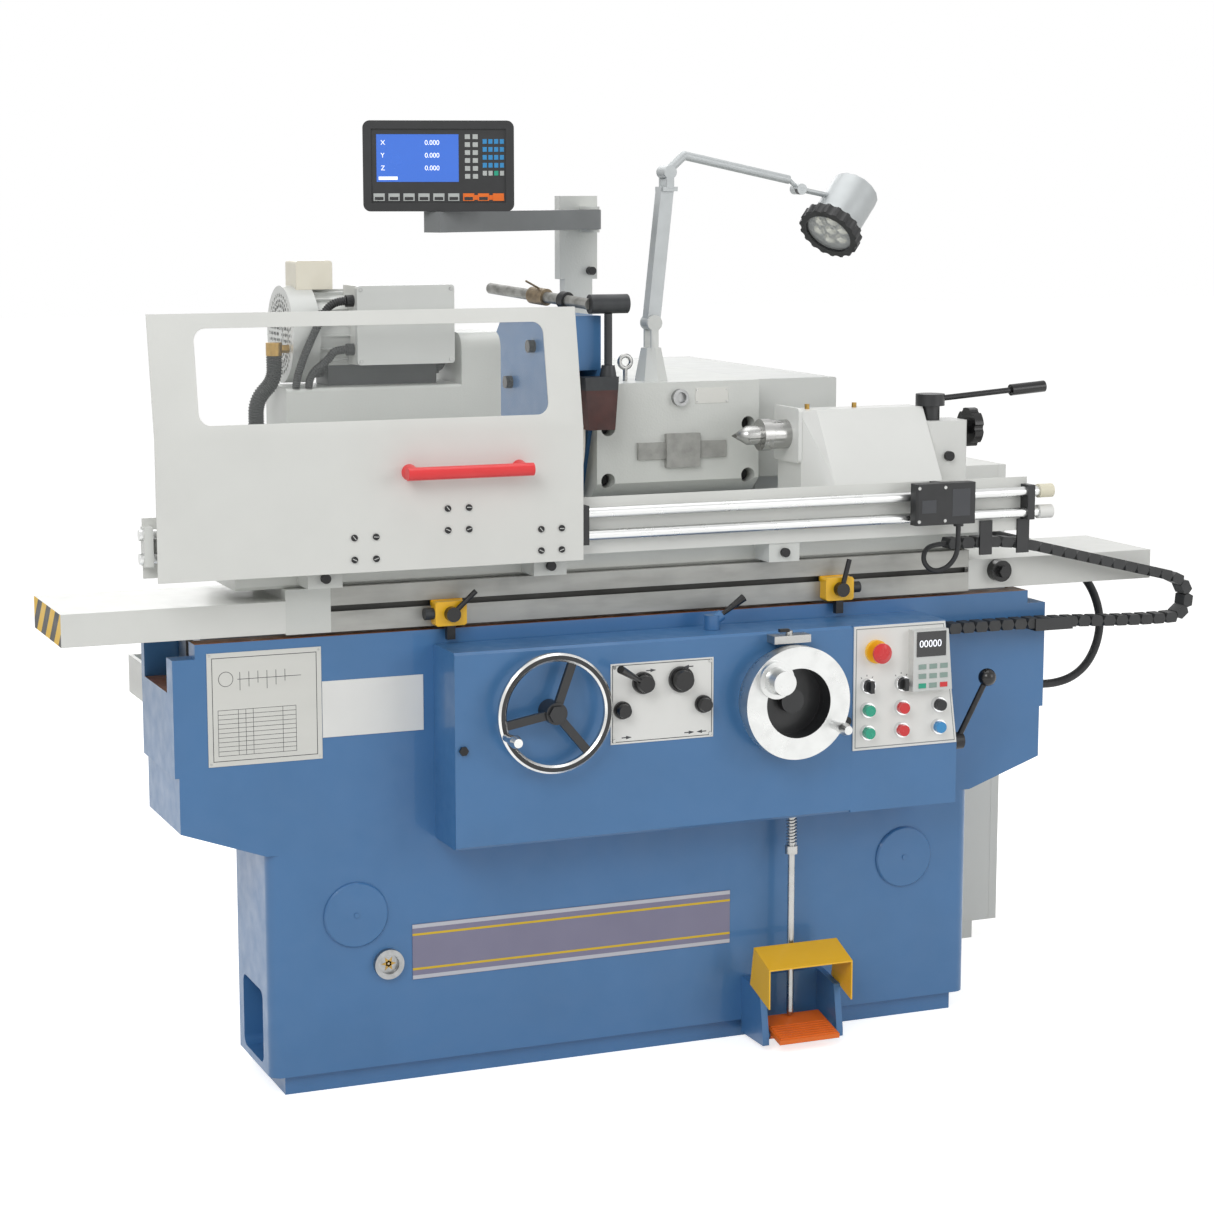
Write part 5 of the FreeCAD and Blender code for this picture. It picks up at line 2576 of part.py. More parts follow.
def wheel_guard():
    """Sheet guard round the wheel, open to the front and below, with two knobs on its side."""
    def shell(inset, left, right):
        """Guard outline drawn in by an inset."""
        front = GUARD_FRONT_Y + inset
        back = GUARD_BACK_Y - inset
        top = GUARD_TOP_Z - inset
        return side_outline(
            (
                (front, GUARD_LIP_Z),
                (front, top),
                (back - GUARD_SHOULDER, top),
                (back, top - GUARD_SHOULDER),
                (back, GUARD_BOTTOM_Z),
                (WHEEL_AXIS_Y - FLANGE_RADIUS + inset, GUARD_BOTTOM_Z),
            ),
            left,
            right,
        )

    outer = shell(0, GUARD_LEFT_X, HEAD_LEFT_X)
    inner = shell(GUARD_SHEET, GUARD_LEFT_X + GUARD_SHEET, HEAD_LEFT_X - GUARD_SHEET)
    mouth = block(
        GUARD_LEFT_X + GUARD_SHEET,
        HEAD_LEFT_X - GUARD_SHEET,
        GUARD_FRONT_Y - CUT_PAST,
        WHEEL_AXIS_Y,
        GUARD_BOTTOM_Z - CUT_PAST,
        GUARD_LIP_Z,
    )
    below = block(
        GUARD_LEFT_X + GUARD_SHEET,
        HEAD_LEFT_X - GUARD_SHEET,
        GUARD_FRONT_Y,
        GUARD_BACK_Y - GUARD_SHEET,
        GUARD_BOTTOM_Z - CUT_PAST,
        GUARD_BOTTOM_Z + GUARD_SHEET + CUT_PAST,
    )
    arbor = rod(
        spindle_point(HEAD_LEFT_X - GUARD_SHEET - CUT_PAST),
        spindle_point(HEAD_LEFT_X + CUT_PAST),
        ARBOR_RADIUS + GUARD_SHEET,
    )
    solids = [less(outer, [inner, mouth, below, arbor])]
    for y, z in zip(GUARD_KNOB_YS, GUARD_KNOB_ZS):
        start = Vector(GUARD_LEFT_X, y, z)
        solids.append(rod(start, start - ALONG_X * GUARD_KNOB_LENGTH, GUARD_KNOB_RADIUS))
    return solids


def coolant_nozzle():
    """Coolant nozzle: flat box, cup, riser, tee, feed pipe, collar and valve on its clamp."""
    back = NOZZLE_Y + NOZZLE_DEPTH / 2 + SEAT_GAP
    front = back - NOZZLE_DEPTH
    half = NOZZLE_HALF_WIDTH
    low_half = half - NOZZLE_TAPER
    nozzle_box = front_outline(
        (
            (NOZZLE_X - low_half, NOZZLE_BOTTOM_Z),
            (NOZZLE_X + low_half, NOZZLE_BOTTOM_Z),
            (NOZZLE_X + half, NOZZLE_TOP_Z),
            (NOZZLE_X - half, NOZZLE_TOP_Z),
        ),
        front,
        back,
    )
    outlet = block(
        NOZZLE_X - low_half + NOZZLE_WALL,
        NOZZLE_X + low_half - NOZZLE_WALL,
        front + NOZZLE_WALL,
        back - NOZZLE_WALL,
        NOZZLE_BOTTOM_Z - CUT_PAST,
        NOZZLE_BOTTOM_Z + NOZZLE_DEPTH,
    )
    riser_x = NOZZLE_X + NOZZLE_RISER_OFFSET
    foot = Vector(riser_x, NOZZLE_Y, NOZZLE_TOP_Z)
    cup_top = foot + ALONG_Z * NOZZLE_CUP_HEIGHT
    cup = taper(foot, cup_top, NOZZLE_CUP_RADIUS, NOZZLE_CUP_RADIUS - NOZZLE_WALL)
    tee_low = Vector(riser_x, NOZZLE_Y, TEE_Z - TEE_RADIUS)
    riser = rod(cup_top, tee_low, NOZZLE_PIPE_RADIUS)
    tee_left = Vector(riser_x - TEE_LENGTH / 2, NOZZLE_Y, TEE_Z)
    tee = rod(tee_left, tee_left + ALONG_X * TEE_LENGTH, TEE_RADIUS)
    pipe_end = tee_left + Vector(FEED_PIPE_DRIFT, FEED_PIPE_LENGTH, FEED_PIPE_RISE)
    run = pipe_end - tee_left
    direction = Vector(run).normalize()
    valve_start = tee_left + run * VALVE_SHARE
    pipe = rod(tee_left, pipe_end, FEED_PIPE_RADIUS).cut(tee)
    bore = rod(tee_left, pipe_end, FEED_PIPE_RADIUS)
    valve = rod(valve_start, valve_start + direction * VALVE_LENGTH, VALVE_RADIUS)
    collar_start = tee_left + run * VALVE_SHARE / 2
    collar = rod(collar_start, collar_start + direction * VALVE_RADIUS, VALVE_RADIUS)
    clamp_centre = collar_start + direction * VALVE_RADIUS / 2
    clamp_half = VALVE_RADIUS / 2
    clamp = block(
        clamp_centre.x - clamp_half,
        clamp_centre.x + clamp_half,
        clamp_centre.y - clamp_half / 2,
        clamp_centre.y + clamp_half / 2,
        GUARD_TOP_Z,
        clamp_centre.z,
    )
    handle_start = valve_start + direction * VALVE_LENGTH / 2 + ALONG_Z * (VALVE_RADIUS - CUT_PAST)
    handle = rod(handle_start, handle_start + Vector(-VALVE_LENGTH, -VALVE_LENGTH, VALVE_RADIUS), CUT_PAST)
    held = fused([collar, clamp]).cut(bore)
    return [fused([nozzle_box.cut(outlet), cup]), riser, tee, pipe, fused([valve, handle]).cut(bore), held]


def wheelhead_fittings():
    """Lamp base, readout post with its hinge bracket, and the lifting eye."""
    return [lamp_base()] + readout_post() + [lifting_eye()]


def lifting_eye():
    """Lifting eye bolt on the wheelhead."""
    foot = Vector(EYE_X, EYE_Y, HEAD_TOP_Z)
    shank = rod(foot, foot + ALONG_Z * EYE_SHANK, EYE_WIRE)
    mean_radius = EYE_RADIUS - EYE_WIRE
    ring = Part.makeTorus(mean_radius, EYE_WIRE, foot + ALONG_Z * (EYE_SHANK + mean_radius), ALONG_Y)
    return fused([shank, ring])


def lamp_pivot():
    """Centre of the lamp's lower hinge."""
    return Vector(LAMP_X, LAMP_Y, HEAD_TOP_Z + LAMP_BASE_HEIGHT + LAMP_PIVOT_RISE)


def fork(pivot, radius, width, foot_z):
    """Two ears with a hinge pin along Y, standing on a foot."""
    gap = ARM_SECTION / 2 + SEAT_GAP
    pieces = []
    for side in (-1, 1):
        near = pivot + ALONG_Y * gap * side
        far = pivot + ALONG_Y * (gap + KNUCKLE_PLATE) * side
        low = min(near.y, far.y)
        high = max(near.y, far.y)
        pieces.append(rod(near, far, radius))
        pieces.append(block(pivot.x - width / 2, pivot.x + width / 2, low, high, foot_z, pivot.z))
    pin = rod(pivot - ALONG_Y * (gap + KNUCKLE_PLATE), pivot + ALONG_Y * (gap + KNUCKLE_PLATE), radius / 3)
    return pieces + [pin]


def lamp_base():
    """Faceted, tapering lamp base with its hinge fork."""
    foot_z = HEAD_TOP_Z
    rings = []
    for radius, z in ((LAMP_BASE_RADIUS, foot_z), (LAMP_BASE_TOP_RADIUS, foot_z + LAMP_BASE_HEIGHT)):
        points = []
        for angle in around(LAMP_BASE_SIDES):
            side, depth = polar(radius, angle)
            points.append(Vector(LAMP_X + side, LAMP_Y + depth, z))
        rings.append(Part.makePolygon(points + points[:1]))
    cone = Part.makeLoft(rings, True, True)
    ears = fork(lamp_pivot(), LAMP_PIVOT_RADIUS, LAMP_PIVOT_RADIUS, foot_z + LAMP_BASE_HEIGHT - LAMP_EAR_SINK)
    return fused([cone] + ears)


def lamp_top():
    """Centre of the lamp's upper hinge."""
    return Vector(ARM_TOP_X, LAMP_Y, ARM_TOP_Z)


def bored(shape, pivot, radius):
    """Shape with a running bore along Y for a hinge pin."""
    reach = ALONG_Y * ARM_SECTION
    return shape.cut(rod(pivot - reach, pivot + reach, radius + RUNNING_CLEARANCE))


def lamp_arm():
    """Square lamp arm with a round eye below and a fork above."""
    low = lamp_pivot()
    high = lamp_top()
    run = high - low
    direction = Vector(run).normalize()
    half = ARM_SECTION / 2
    bar = Part.makeBox(
        ARM_SECTION,
        ARM_SECTION,
        run.Length - LAMP_PIVOT_RADIUS - ARM_END_MARGIN,
        Vector(-half, -half, 0),
    )
    foot = low + direction * LAMP_PIVOT_RADIUS / 2
    bar.Placement = FreeCAD.Placement(foot, FreeCAD.Rotation(ALONG_Z, direction))
    eye = rod(low - ALONG_Y * half, low + ALONG_Y * half, LAMP_PIVOT_RADIUS)
    bridge_z = high.z - LAMP_PIVOT_RADIUS * 2
    top_fork = fork(high, LAMP_PIVOT_RADIUS * KNOB_TURN_SHARE, LAMP_PIVOT_RADIUS, bridge_z)
    stem = bored(fused([bar, eye]), low, LAMP_PIVOT_RADIUS / 3)
    bridge = block(
        high.x - LAMP_PIVOT_RADIUS,
        high.x + LAMP_PIVOT_RADIUS,
        high.y - half - KNUCKLE_PLATE,
        high.y + half + KNUCKLE_PLATE,
        bridge_z - KNUCKLE_PLATE,
        bridge_z + KNUCKLE_PLATE / 2,
    )
    return [fused([stem, bridge] + top_fork)]


def lamp_boom():
    """Upper boom: eye and elbow in the fork, tube to the right and the knuckle at its end."""
    pivot = lamp_top()
    elbow = Vector(BOOM_ELBOW_X, LAMP_Y, BOOM_ELBOW_Z)
    end = Vector(BOOM_END_X, LAMP_Y, BOOM_END_Z)
    half = ARM_SECTION / 2
    eye = rod(pivot - ALONG_Y * half, pivot + ALONG_Y * half, LAMP_PIVOT_RADIUS * KNOB_TURN_SHARE)
    link = rod(pivot, elbow, BOOM_RADIUS)
    ball = Part.makeSphere(BOOM_RADIUS, elbow)
    straight = rod(elbow, end, BOOM_RADIUS)
    knuckle = Vector(LAMP_KNOB_X, LAMP_Y, LAMP_KNOB_Z)
    tongue_half = BOOM_RADIUS / 2
    tongue = rod(knuckle - ALONG_Y * tongue_half, knuckle + ALONG_Y * tongue_half, LAMP_KNUCKLE_RADIUS)
    neck = rod(end, knuckle, tongue_half)
    reach = ALONG_Y * 2 * BOOM_RADIUS
    pin = rod(knuckle - reach, knuckle + reach, LAMP_KNUCKLE_RADIUS / 3)
    body = bored(fused([eye, link, ball, straight]), pivot, LAMP_PIVOT_RADIUS * KNOB_TURN_SHARE / 3)
    return [fused([body, neck, tongue, pin])]


def lamp_head():
    """Lamp head: faceted body, scalloped ring, glass, neck on the knuckle and handle."""
    centre = Vector(LAMP_HEAD_X, LAMP_Y, LAMP_HEAD_Z)
    aim = Vector(LAMP_AIM).normalize()
    back = centre - aim * LAMP_HEAD_LENGTH / 2
    front = centre + aim * LAMP_HEAD_LENGTH / 2
    turn = FreeCAD.Rotation(ALONG_Z, aim)
    points = []
    for angle in around(LAMP_HEAD_SIDES):
        side, rise = polar(LAMP_HEAD_RADIUS, angle)
        points.append(Vector(side, rise, 0))
    body = prism(points, ALONG_Z * LAMP_HEAD_LENGTH)
    body.Placement = FreeCAD.Placement(back, turn)
    ring_end = front + aim * LAMP_RING_LENGTH
    ring = rod(front, ring_end, LAMP_RING_RADIUS)
    scallops = []
    for angle in around(LAMP_SCALLOPS):
        side, rise = polar(LAMP_RING_RADIUS + LAMP_SCALLOP_OFFSET, angle)
        place = front + turn.multVec(Vector(side, rise, -CUT_PAST))
        scallops.append(rod(place, place + aim * (LAMP_RING_LENGTH + 2 * CUT_PAST), LAMP_SCALLOP_RADIUS))
    glass_front = ring_end - aim * LAMP_GLASS_SINK
    pocket = rod(glass_front - aim * PANE_THICKNESS, ring_end + aim * CUT_PAST, LAMP_GLASS_RADIUS)
    glass = rod(glass_front - aim * PANE_THICKNESS, glass_front, LAMP_GLASS_RADIUS)
    ring = ring.cut(Part.makeCompound(scallops)).cut(pocket)
    knuckle = Vector(LAMP_KNOB_X, LAMP_Y, LAMP_KNOB_Z)
    inner = BOOM_RADIUS / 2 + SEAT_GAP
    ears = []
    for side in (-1, 1):
        near = knuckle + ALONG_Y * inner * side
        ears.append(rod(near, knuckle + ALONG_Y * BOOM_RADIUS * 2 * side, LAMP_KNUCKLE_RADIUS))
        ears.append(ear_link(knuckle, centre - aim * LAMP_HEAD_LENGTH / 4, inner, side))
    reach = ALONG_Y * 3 * BOOM_RADIUS
    pin_space = rod(knuckle - reach, knuckle + reach, LAMP_KNUCKLE_RADIUS / 3 + RUNNING_CLEARANCE)
    ears = [ear.cut(pin_space) for ear in ears]
    hollow = rod(back + aim * LAMP_SHELL, front + aim * LAMP_SHELL, LAMP_HEAD_RADIUS - 2 * LAMP_SHELL)
    casing = fused([body.cut(hollow), ring.cut(hollow)] + [ear.cut(hollow) for ear in ears])
    return [casing, glass, lamp_handle(centre, aim, turn)]


def ear_link(knuckle, target, inner, side):
    """Bar from one ear of the knuckle into the lamp's body."""
    offset = ALONG_Y * (inner / 2 + BOOM_RADIUS) * side
    return rod(knuckle + offset, target + offset, BOOM_RADIUS / 2)


def lamp_handle(centre, aim, turn):
    """Bent wire handle on the far side of the lamp's body."""
    side = turn.multVec(ALONG_X)
    out = side if side.x > 0 else -side
    root = LAMP_HEAD_RADIUS * KNOB_TURN_SHARE
    low = centre + aim * LAMP_HEAD_LENGTH / 3
    high = centre - aim * LAMP_HEAD_LENGTH / 3
    reach = root + LAMP_HANDLE_REACH
    corners = [low + out * root, low + out * reach, high + out * reach, high + out * root]
    path = smooth_path(corners)
    wire = along(path, LAMP_HANDLE_WIRE)
    half = aim * LAMP_HEAD_LENGTH / 2
    return wire.cut(rod(centre - half, centre + half, LAMP_HEAD_RADIUS))


def readout_pivot(z):
    """Point on the readout arm's vertical hinge line."""
    return Vector(READOUT_PIVOT_X, READOUT_PIVOT_Y, z)


def readout_post():
    """Readout post with its wide head, hinge ears, pin and clamp knob."""
    back = POST_Y + POST_THICKNESS
    neck_left = POST_X - POST_NECK_WIDTH / 2
    neck = block(neck_left, neck_left + POST_NECK_WIDTH, POST_Y, back, HEAD_TOP_Z, POST_NECK_Z)
    wide = block(POST_X - POST_WIDTH / 2, POST_X + POST_WIDTH / 2, POST_Y, back, POST_NECK_Z, POST_TOP_Z)
    half = READOUT_ARM_SIZE / 2 + SEAT_GAP
    pieces = [neck, wide]
    for low in (READOUT_ARM_Z - half - KNUCKLE_PLATE, READOUT_ARM_Z + half):
        pivot = readout_pivot(low)
        pieces.append(rod(pivot, pivot + ALONG_Z * KNUCKLE_PLATE, ARM_KNUCKLE_RADIUS))
        pieces.append(
            block(
                pivot.x - ARM_KNUCKLE_RADIUS,
                pivot.x + ARM_KNUCKLE_RADIUS,
                pivot.y,
                POST_Y,
                low,
                low + KNUCKLE_PLATE,
            )
        )
    pin_low = readout_pivot(READOUT_ARM_Z - half - KNUCKLE_PLATE)
    pin_high = readout_pivot(READOUT_ARM_Z + half + KNUCKLE_PLATE)
    pieces.append(rod(pin_low, pin_high, READOUT_PIN_RADIUS))
    knob_x = POST_X + POST_WIDTH / 2 - ARM_KNUCKLE_RADIUS
    knob_start = Vector(knob_x, POST_Y, POST_NECK_Z + ARM_KNUCKLE_RADIUS)
    clamp = rod(knob_start, knob_start - ALONG_Y * ARM_KNUCKLE_RADIUS, ARM_KNUCKLE_RADIUS / 2)
    return [fused(pieces), clamp]


def readout_end():
    """Far end of the readout arm, under the console."""
    side, depth = polar(READOUT_ARM_LENGTH, READOUT_ARM_ANGLE)
    return readout_pivot(READOUT_ARM_Z) + Vector(side, depth, 0)


def readout_arm():
    """Square tube arm with a hinge barrel at one end and the console pin at the other."""
    start = readout_pivot(READOUT_ARM_Z)
    half = READOUT_ARM_SIZE / 2
    bar = Part.makeBox(READOUT_ARM_LENGTH, READOUT_ARM_SIZE, READOUT_ARM_SIZE, Vector(0, -half, -half))
    turn = FreeCAD.Rotation(ALONG_Z, READOUT_ARM_ANGLE)
    bar.Placement = FreeCAD.Placement(start, turn)
    low = READOUT_ARM_Z - half
    high = READOUT_ARM_Z + half
    barrel = rod(readout_pivot(low), readout_pivot(high), ARM_KNUCKLE_RADIUS + KNUCKLE_PLATE / 2)
    pin_radius = READOUT_PIN_RADIUS + RUNNING_CLEARANCE
    pin_space = rod(readout_pivot(low - CUT_PAST), readout_pivot(high + CUT_PAST), pin_radius)
    pin_foot = console_pin()
    pin = rod(pin_foot, pin_foot + ALONG_Z * CONSOLE_LIFT, READOUT_PIN_RADIUS)
    return [fused([bar, barrel, pin]).cut(pin_space)]


def console_pin():
    """Foot of the console's swivel pin on the arm."""
    start = readout_pivot(READOUT_ARM_Z)
    end = readout_end()
    inward = Vector(start - end).normalize()
    return end + inward * (READOUT_ARM_SIZE / 2) + ALONG_Z * (READOUT_ARM_SIZE / 2)


def readout_console():
    """Readout console on its swivel pin: housing, screen recess and a row of keys."""
    pin = console_pin()
    low = pin.z + SEAT_GAP
    left = pin.x - CONSOLE_REACH
    front = pin.y - CONSOLE_DEPTH / 2
    housing = block(left, left + CONSOLE_WIDTH, front, front + CONSOLE_DEPTH, low, low + CONSOLE_HEIGHT)
    housing = eased(housing, ALONG_Y, CONSOLE_RADIUS)
    recess = block(
        left + CONSOLE_RIM,
        left + CONSOLE_WIDTH - CONSOLE_RIM,
        front - CUT_PAST,
        front + CONSOLE_RECESS,
        low + CONSOLE_RIM,
        low + CONSOLE_HEIGHT - CONSOLE_RIM,
    )
    pin_top = pin + ALONG_Z * (CONSOLE_LIFT + SEAT_GAP)
    pin_space = rod(pin - ALONG_Z * CUT_PAST, pin_top, READOUT_PIN_RADIUS + RUNNING_CLEARANCE)
    solids = [less(housing, [recess, pin_space])]
    pitch = (CONSOLE_WIDTH - 2 * CONSOLE_RIM) / CONSOLE_KEYS
    key_width = pitch * CONSOLE_KEY_SHARE
    key_low = low + CONSOLE_RIM * CONSOLE_KEY_RISE_SHARE
    for index in range(CONSOLE_KEYS):
        key_left = left + CONSOLE_RIM + pitch * index + (pitch - key_width) / 2
        key_right = key_left + key_width
        back = front + CONSOLE_RECESS
        key_top = key_low + pitch / 2
        solids.append(block(key_left, key_right, back - CONSOLE_RECESS / 2, back, key_low, key_top))
    return [turned_about(solid, pin, ALONG_Z, CONSOLE_TURN) for solid in solids]


def build():
    """Write every node of the machine."""
    os.makedirs("parts", exist_ok=True)
    export("bed_casting", bed_casting())
    export("guideways", guideways())
    cable, cable_gland = power_cable()
    export("apron_housing", apron_housing())
    export("front_fittings", front_fittings() + cable_gland)
    export("panel_hardware", panel_hardware())
    export("pedal_bracket", pedal_bracket() + pedal_guard())
    export("electrical_cabinet", electrical_cabinet())
    export("cabinet_door", cabinet_door())
    export("cable_chain", cable_chain())
    export("power_cable", cable)
    export("switch_cable", switch_cable())
    export("table_handwheel", table_handwheel())
    export("infeed_handwheel", infeed_handwheel())
    export("rapid_knob", rapid_knob())
    for name, place in zip(("feed_knob", "left_stop_knob", "right_stop_knob"), knob_places()[1:]):
        export(name, [fused(knob(*place))])
    export("stop_button", [stop_button()])
    for name, place in zip(BUTTON_NAMES, button_places()):
        export(name, [push_button(*place)])
    for name, place in zip(SELECTOR_NAMES, selector_places()):
        export(name, [selector(*place)])
    export("reversing_lever", reversing_lever())
    export("start_lever", start_lever())
    export("foot_pedal", foot_pedal())
    export("pedal_rod", pedal_rod())
    export("pedal_spring", pedal_spring())
    export("lower_table", lower_table())
    export("table_covers", table_covers())
    export("left_dog", table_dog(LEFT_DOG_X, LEFT_DOG_LEVER_ANGLE, -1))
    export("right_dog", table_dog(RIGHT_DOG_X, RIGHT_DOG_LEVER_ANGLE, 1))
    export("upper_table", upper_table())
    export("guard_frame", guard_frame())
    export("switch_box", switch_box())
    export("guard_door", guard_door())
    export("door_handle", door_handle())
    export("workhead_body", workhead_body())
    export("workhead_motor", workhead_motor())
    export("workhead_spindle", workhead_spindle())
    export("workhead_hoses", workhead_hoses())
    export("tailstock_body", tailstock_body())
    export("tailstock_quill", tailstock_quill())
    export("tailstock_lever", tailstock_lever())
    export("tailstock_knob", tailstock_knob())
    export("wheelhead_slide", wheelhead_slide())
    export("wheelhead_body", wheelhead_body())
    export("wheelhead_fittings", wheelhead_fittings())
    export("wheel_guard", wheel_guard())
    export("grinding_wheel", grinding_wheel())
    export("motor_pulley", motor_pulley())
    export("coolant_nozzle", coolant_nozzle())
    export("lamp_arm", lamp_arm())
    export("lamp_boom", lamp_boom())
    export("lamp_head", lamp_head())
    export("readout_arm", readout_arm())
    export("readout_console", readout_console())


build()
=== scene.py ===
"""Cylindrical grinding machine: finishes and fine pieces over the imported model, in metres."""

import json
import logging
import math
from dataclasses import dataclass
from enum import Enum
from typing import Callable, Optional, Sequence

import bmesh
import bpy
from mathutils import Matrix, Vector

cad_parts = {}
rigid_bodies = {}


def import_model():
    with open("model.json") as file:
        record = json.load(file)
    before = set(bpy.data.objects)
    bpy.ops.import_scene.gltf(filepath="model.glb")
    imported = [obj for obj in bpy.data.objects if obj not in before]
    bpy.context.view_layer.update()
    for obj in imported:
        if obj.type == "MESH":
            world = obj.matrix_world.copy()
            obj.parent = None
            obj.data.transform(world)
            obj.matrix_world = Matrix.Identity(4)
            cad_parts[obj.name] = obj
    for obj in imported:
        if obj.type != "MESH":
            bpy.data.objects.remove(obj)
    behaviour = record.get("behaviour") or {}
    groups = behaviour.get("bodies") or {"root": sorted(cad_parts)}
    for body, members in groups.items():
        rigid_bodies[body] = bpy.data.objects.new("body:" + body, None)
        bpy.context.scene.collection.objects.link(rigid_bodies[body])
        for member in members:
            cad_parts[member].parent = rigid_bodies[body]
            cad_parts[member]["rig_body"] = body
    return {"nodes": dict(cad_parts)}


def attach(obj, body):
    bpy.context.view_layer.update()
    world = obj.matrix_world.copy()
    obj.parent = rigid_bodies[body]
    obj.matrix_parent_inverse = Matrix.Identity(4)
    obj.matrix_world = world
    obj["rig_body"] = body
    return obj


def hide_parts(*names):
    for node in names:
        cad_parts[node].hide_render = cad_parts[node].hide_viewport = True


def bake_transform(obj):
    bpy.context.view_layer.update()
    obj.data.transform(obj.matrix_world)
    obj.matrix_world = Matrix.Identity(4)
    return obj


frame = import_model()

log = logging.getLogger("grinder")

Tree = bpy.types.NodeTree
Socket = bpy.types.NodeSocket
Piece = bpy.types.Object
Shape = bmesh.types.BMesh
Place = tuple[float, float, float]
# Whether something counts, from its centre and its size or normal, in millimetres.
Test = Callable[[Vector, Vector], bool]

MM = 0.001
FRONT, UP, RIGHT = Vector((0, -1, 0)), Vector((0, 0, 1)), Vector((1, 0, 0))
# Edges that turn more than the first stay crisp; facets that turn less than the second are one.
SHARP_ANGLE = math.radians(32)
FLAT_ANGLE = math.radians(0.2)
# Corners closer than this, in metres, are one corner of a mesh, or of a cut.
WELD, CUT_WELD = 2e-6, 1e-6
# Corner points and smoothness of the curves that cables and hoses follow.
CURVE_STEPS, CURVE_ORDER, ROUND_STEPS = 12, 3, 6
# A hose's rib: points round it, steps along it, and its groove as a share of its radius.
RIB_SIDES, RIB_STEPS, GROOVE_SHARE = 16, 4, 0.84
# Rise of printed lines, in millimetres, and a figure's height as a share of its font's size.
PRINT_RISE, FIGURE_RISE, FIGURE_SHARE = 0.12, 0.1, 0.7


def mm(x: float, y: float, z: float) -> Vector:
    """A point or size given in millimetres, in metres."""
    return Vector((x, y, z)) * MM


def per_metre(size_mm: float) -> float:
    """Scale of a pattern whose features are size_mm apart."""
    return 1 / (size_mm * MM)


def linear(hex_colour: str) -> tuple[float, float, float, float]:
    """Turns an sRGB hex colour to linear.

    Args:
        hex_colour: Six hex digits after a hash sign.

    Returns:
        Red, green, blue and alpha.
    """
    parts = [int(hex_colour[i : i + 2], 16) / 255 for i in (1, 3, 5)]
    red, green, blue = [c / 12.92 if c <= 0.04045 else ((c + 0.055) / 1.055) ** 2.4 for c in parts]
    return red, green, blue, 1.0


def add_node(
    tree: Tree, kind: str, inputs: Optional[dict] = None, **settings: object
) -> bpy.types.Node:
    """Adds a node with its settings, its values and its links.

    Args:
        tree: The material's tree.
        kind: The node's type.
        inputs: Value, or socket to link, for each input by name or number.
        settings: The node's own settings.

    Returns:
        The node.
    """
    node = tree.nodes.new(kind)
    for key, value in settings.items():
        setattr(node, key, value)
    for key, value in (inputs or {}).items():
        if isinstance(value, Socket):
            tree.links.new(value, node.inputs[key])
        else:
            node.inputs[key].default_value = value
    return node


# Scale of a pattern along the stroke of grinding, for its lines and for its blotches.
LINE_STRETCH, BLOTCH_STRETCH = 0.012, 0.2
# Range of the cloudy noise over which the second colour comes in.
CLOUD_LOW, CLOUD_HIGH = 0.4, 0.75
# Smears of handling: their width in millimetres, their noise's range, and the gloss they change.
SMEAR_MM, SMEAR_LOW, SMEAR_HIGH = 35, 0.3, 0.7
SMOOTHER, ROUGHER, LEAST_ROUGHNESS = 0.06, 0.08, 0.02
EDGE_SAMPLES = 4
CELL_SOFTNESS = 0.6


class Surface(Enum):
    """Relief that a finish leaves on its piece."""

    PEEL = "orange peel of sprayed enamel"
    PEBBLE = "hammered enamel over filler"
    LINES = "lines of grinding or drawing"
    RINGS = "rings of turning about an axis"
    GRAIN = "open grain of abrasive or grip"
    STRIPES = "slanting stripes of two colours"


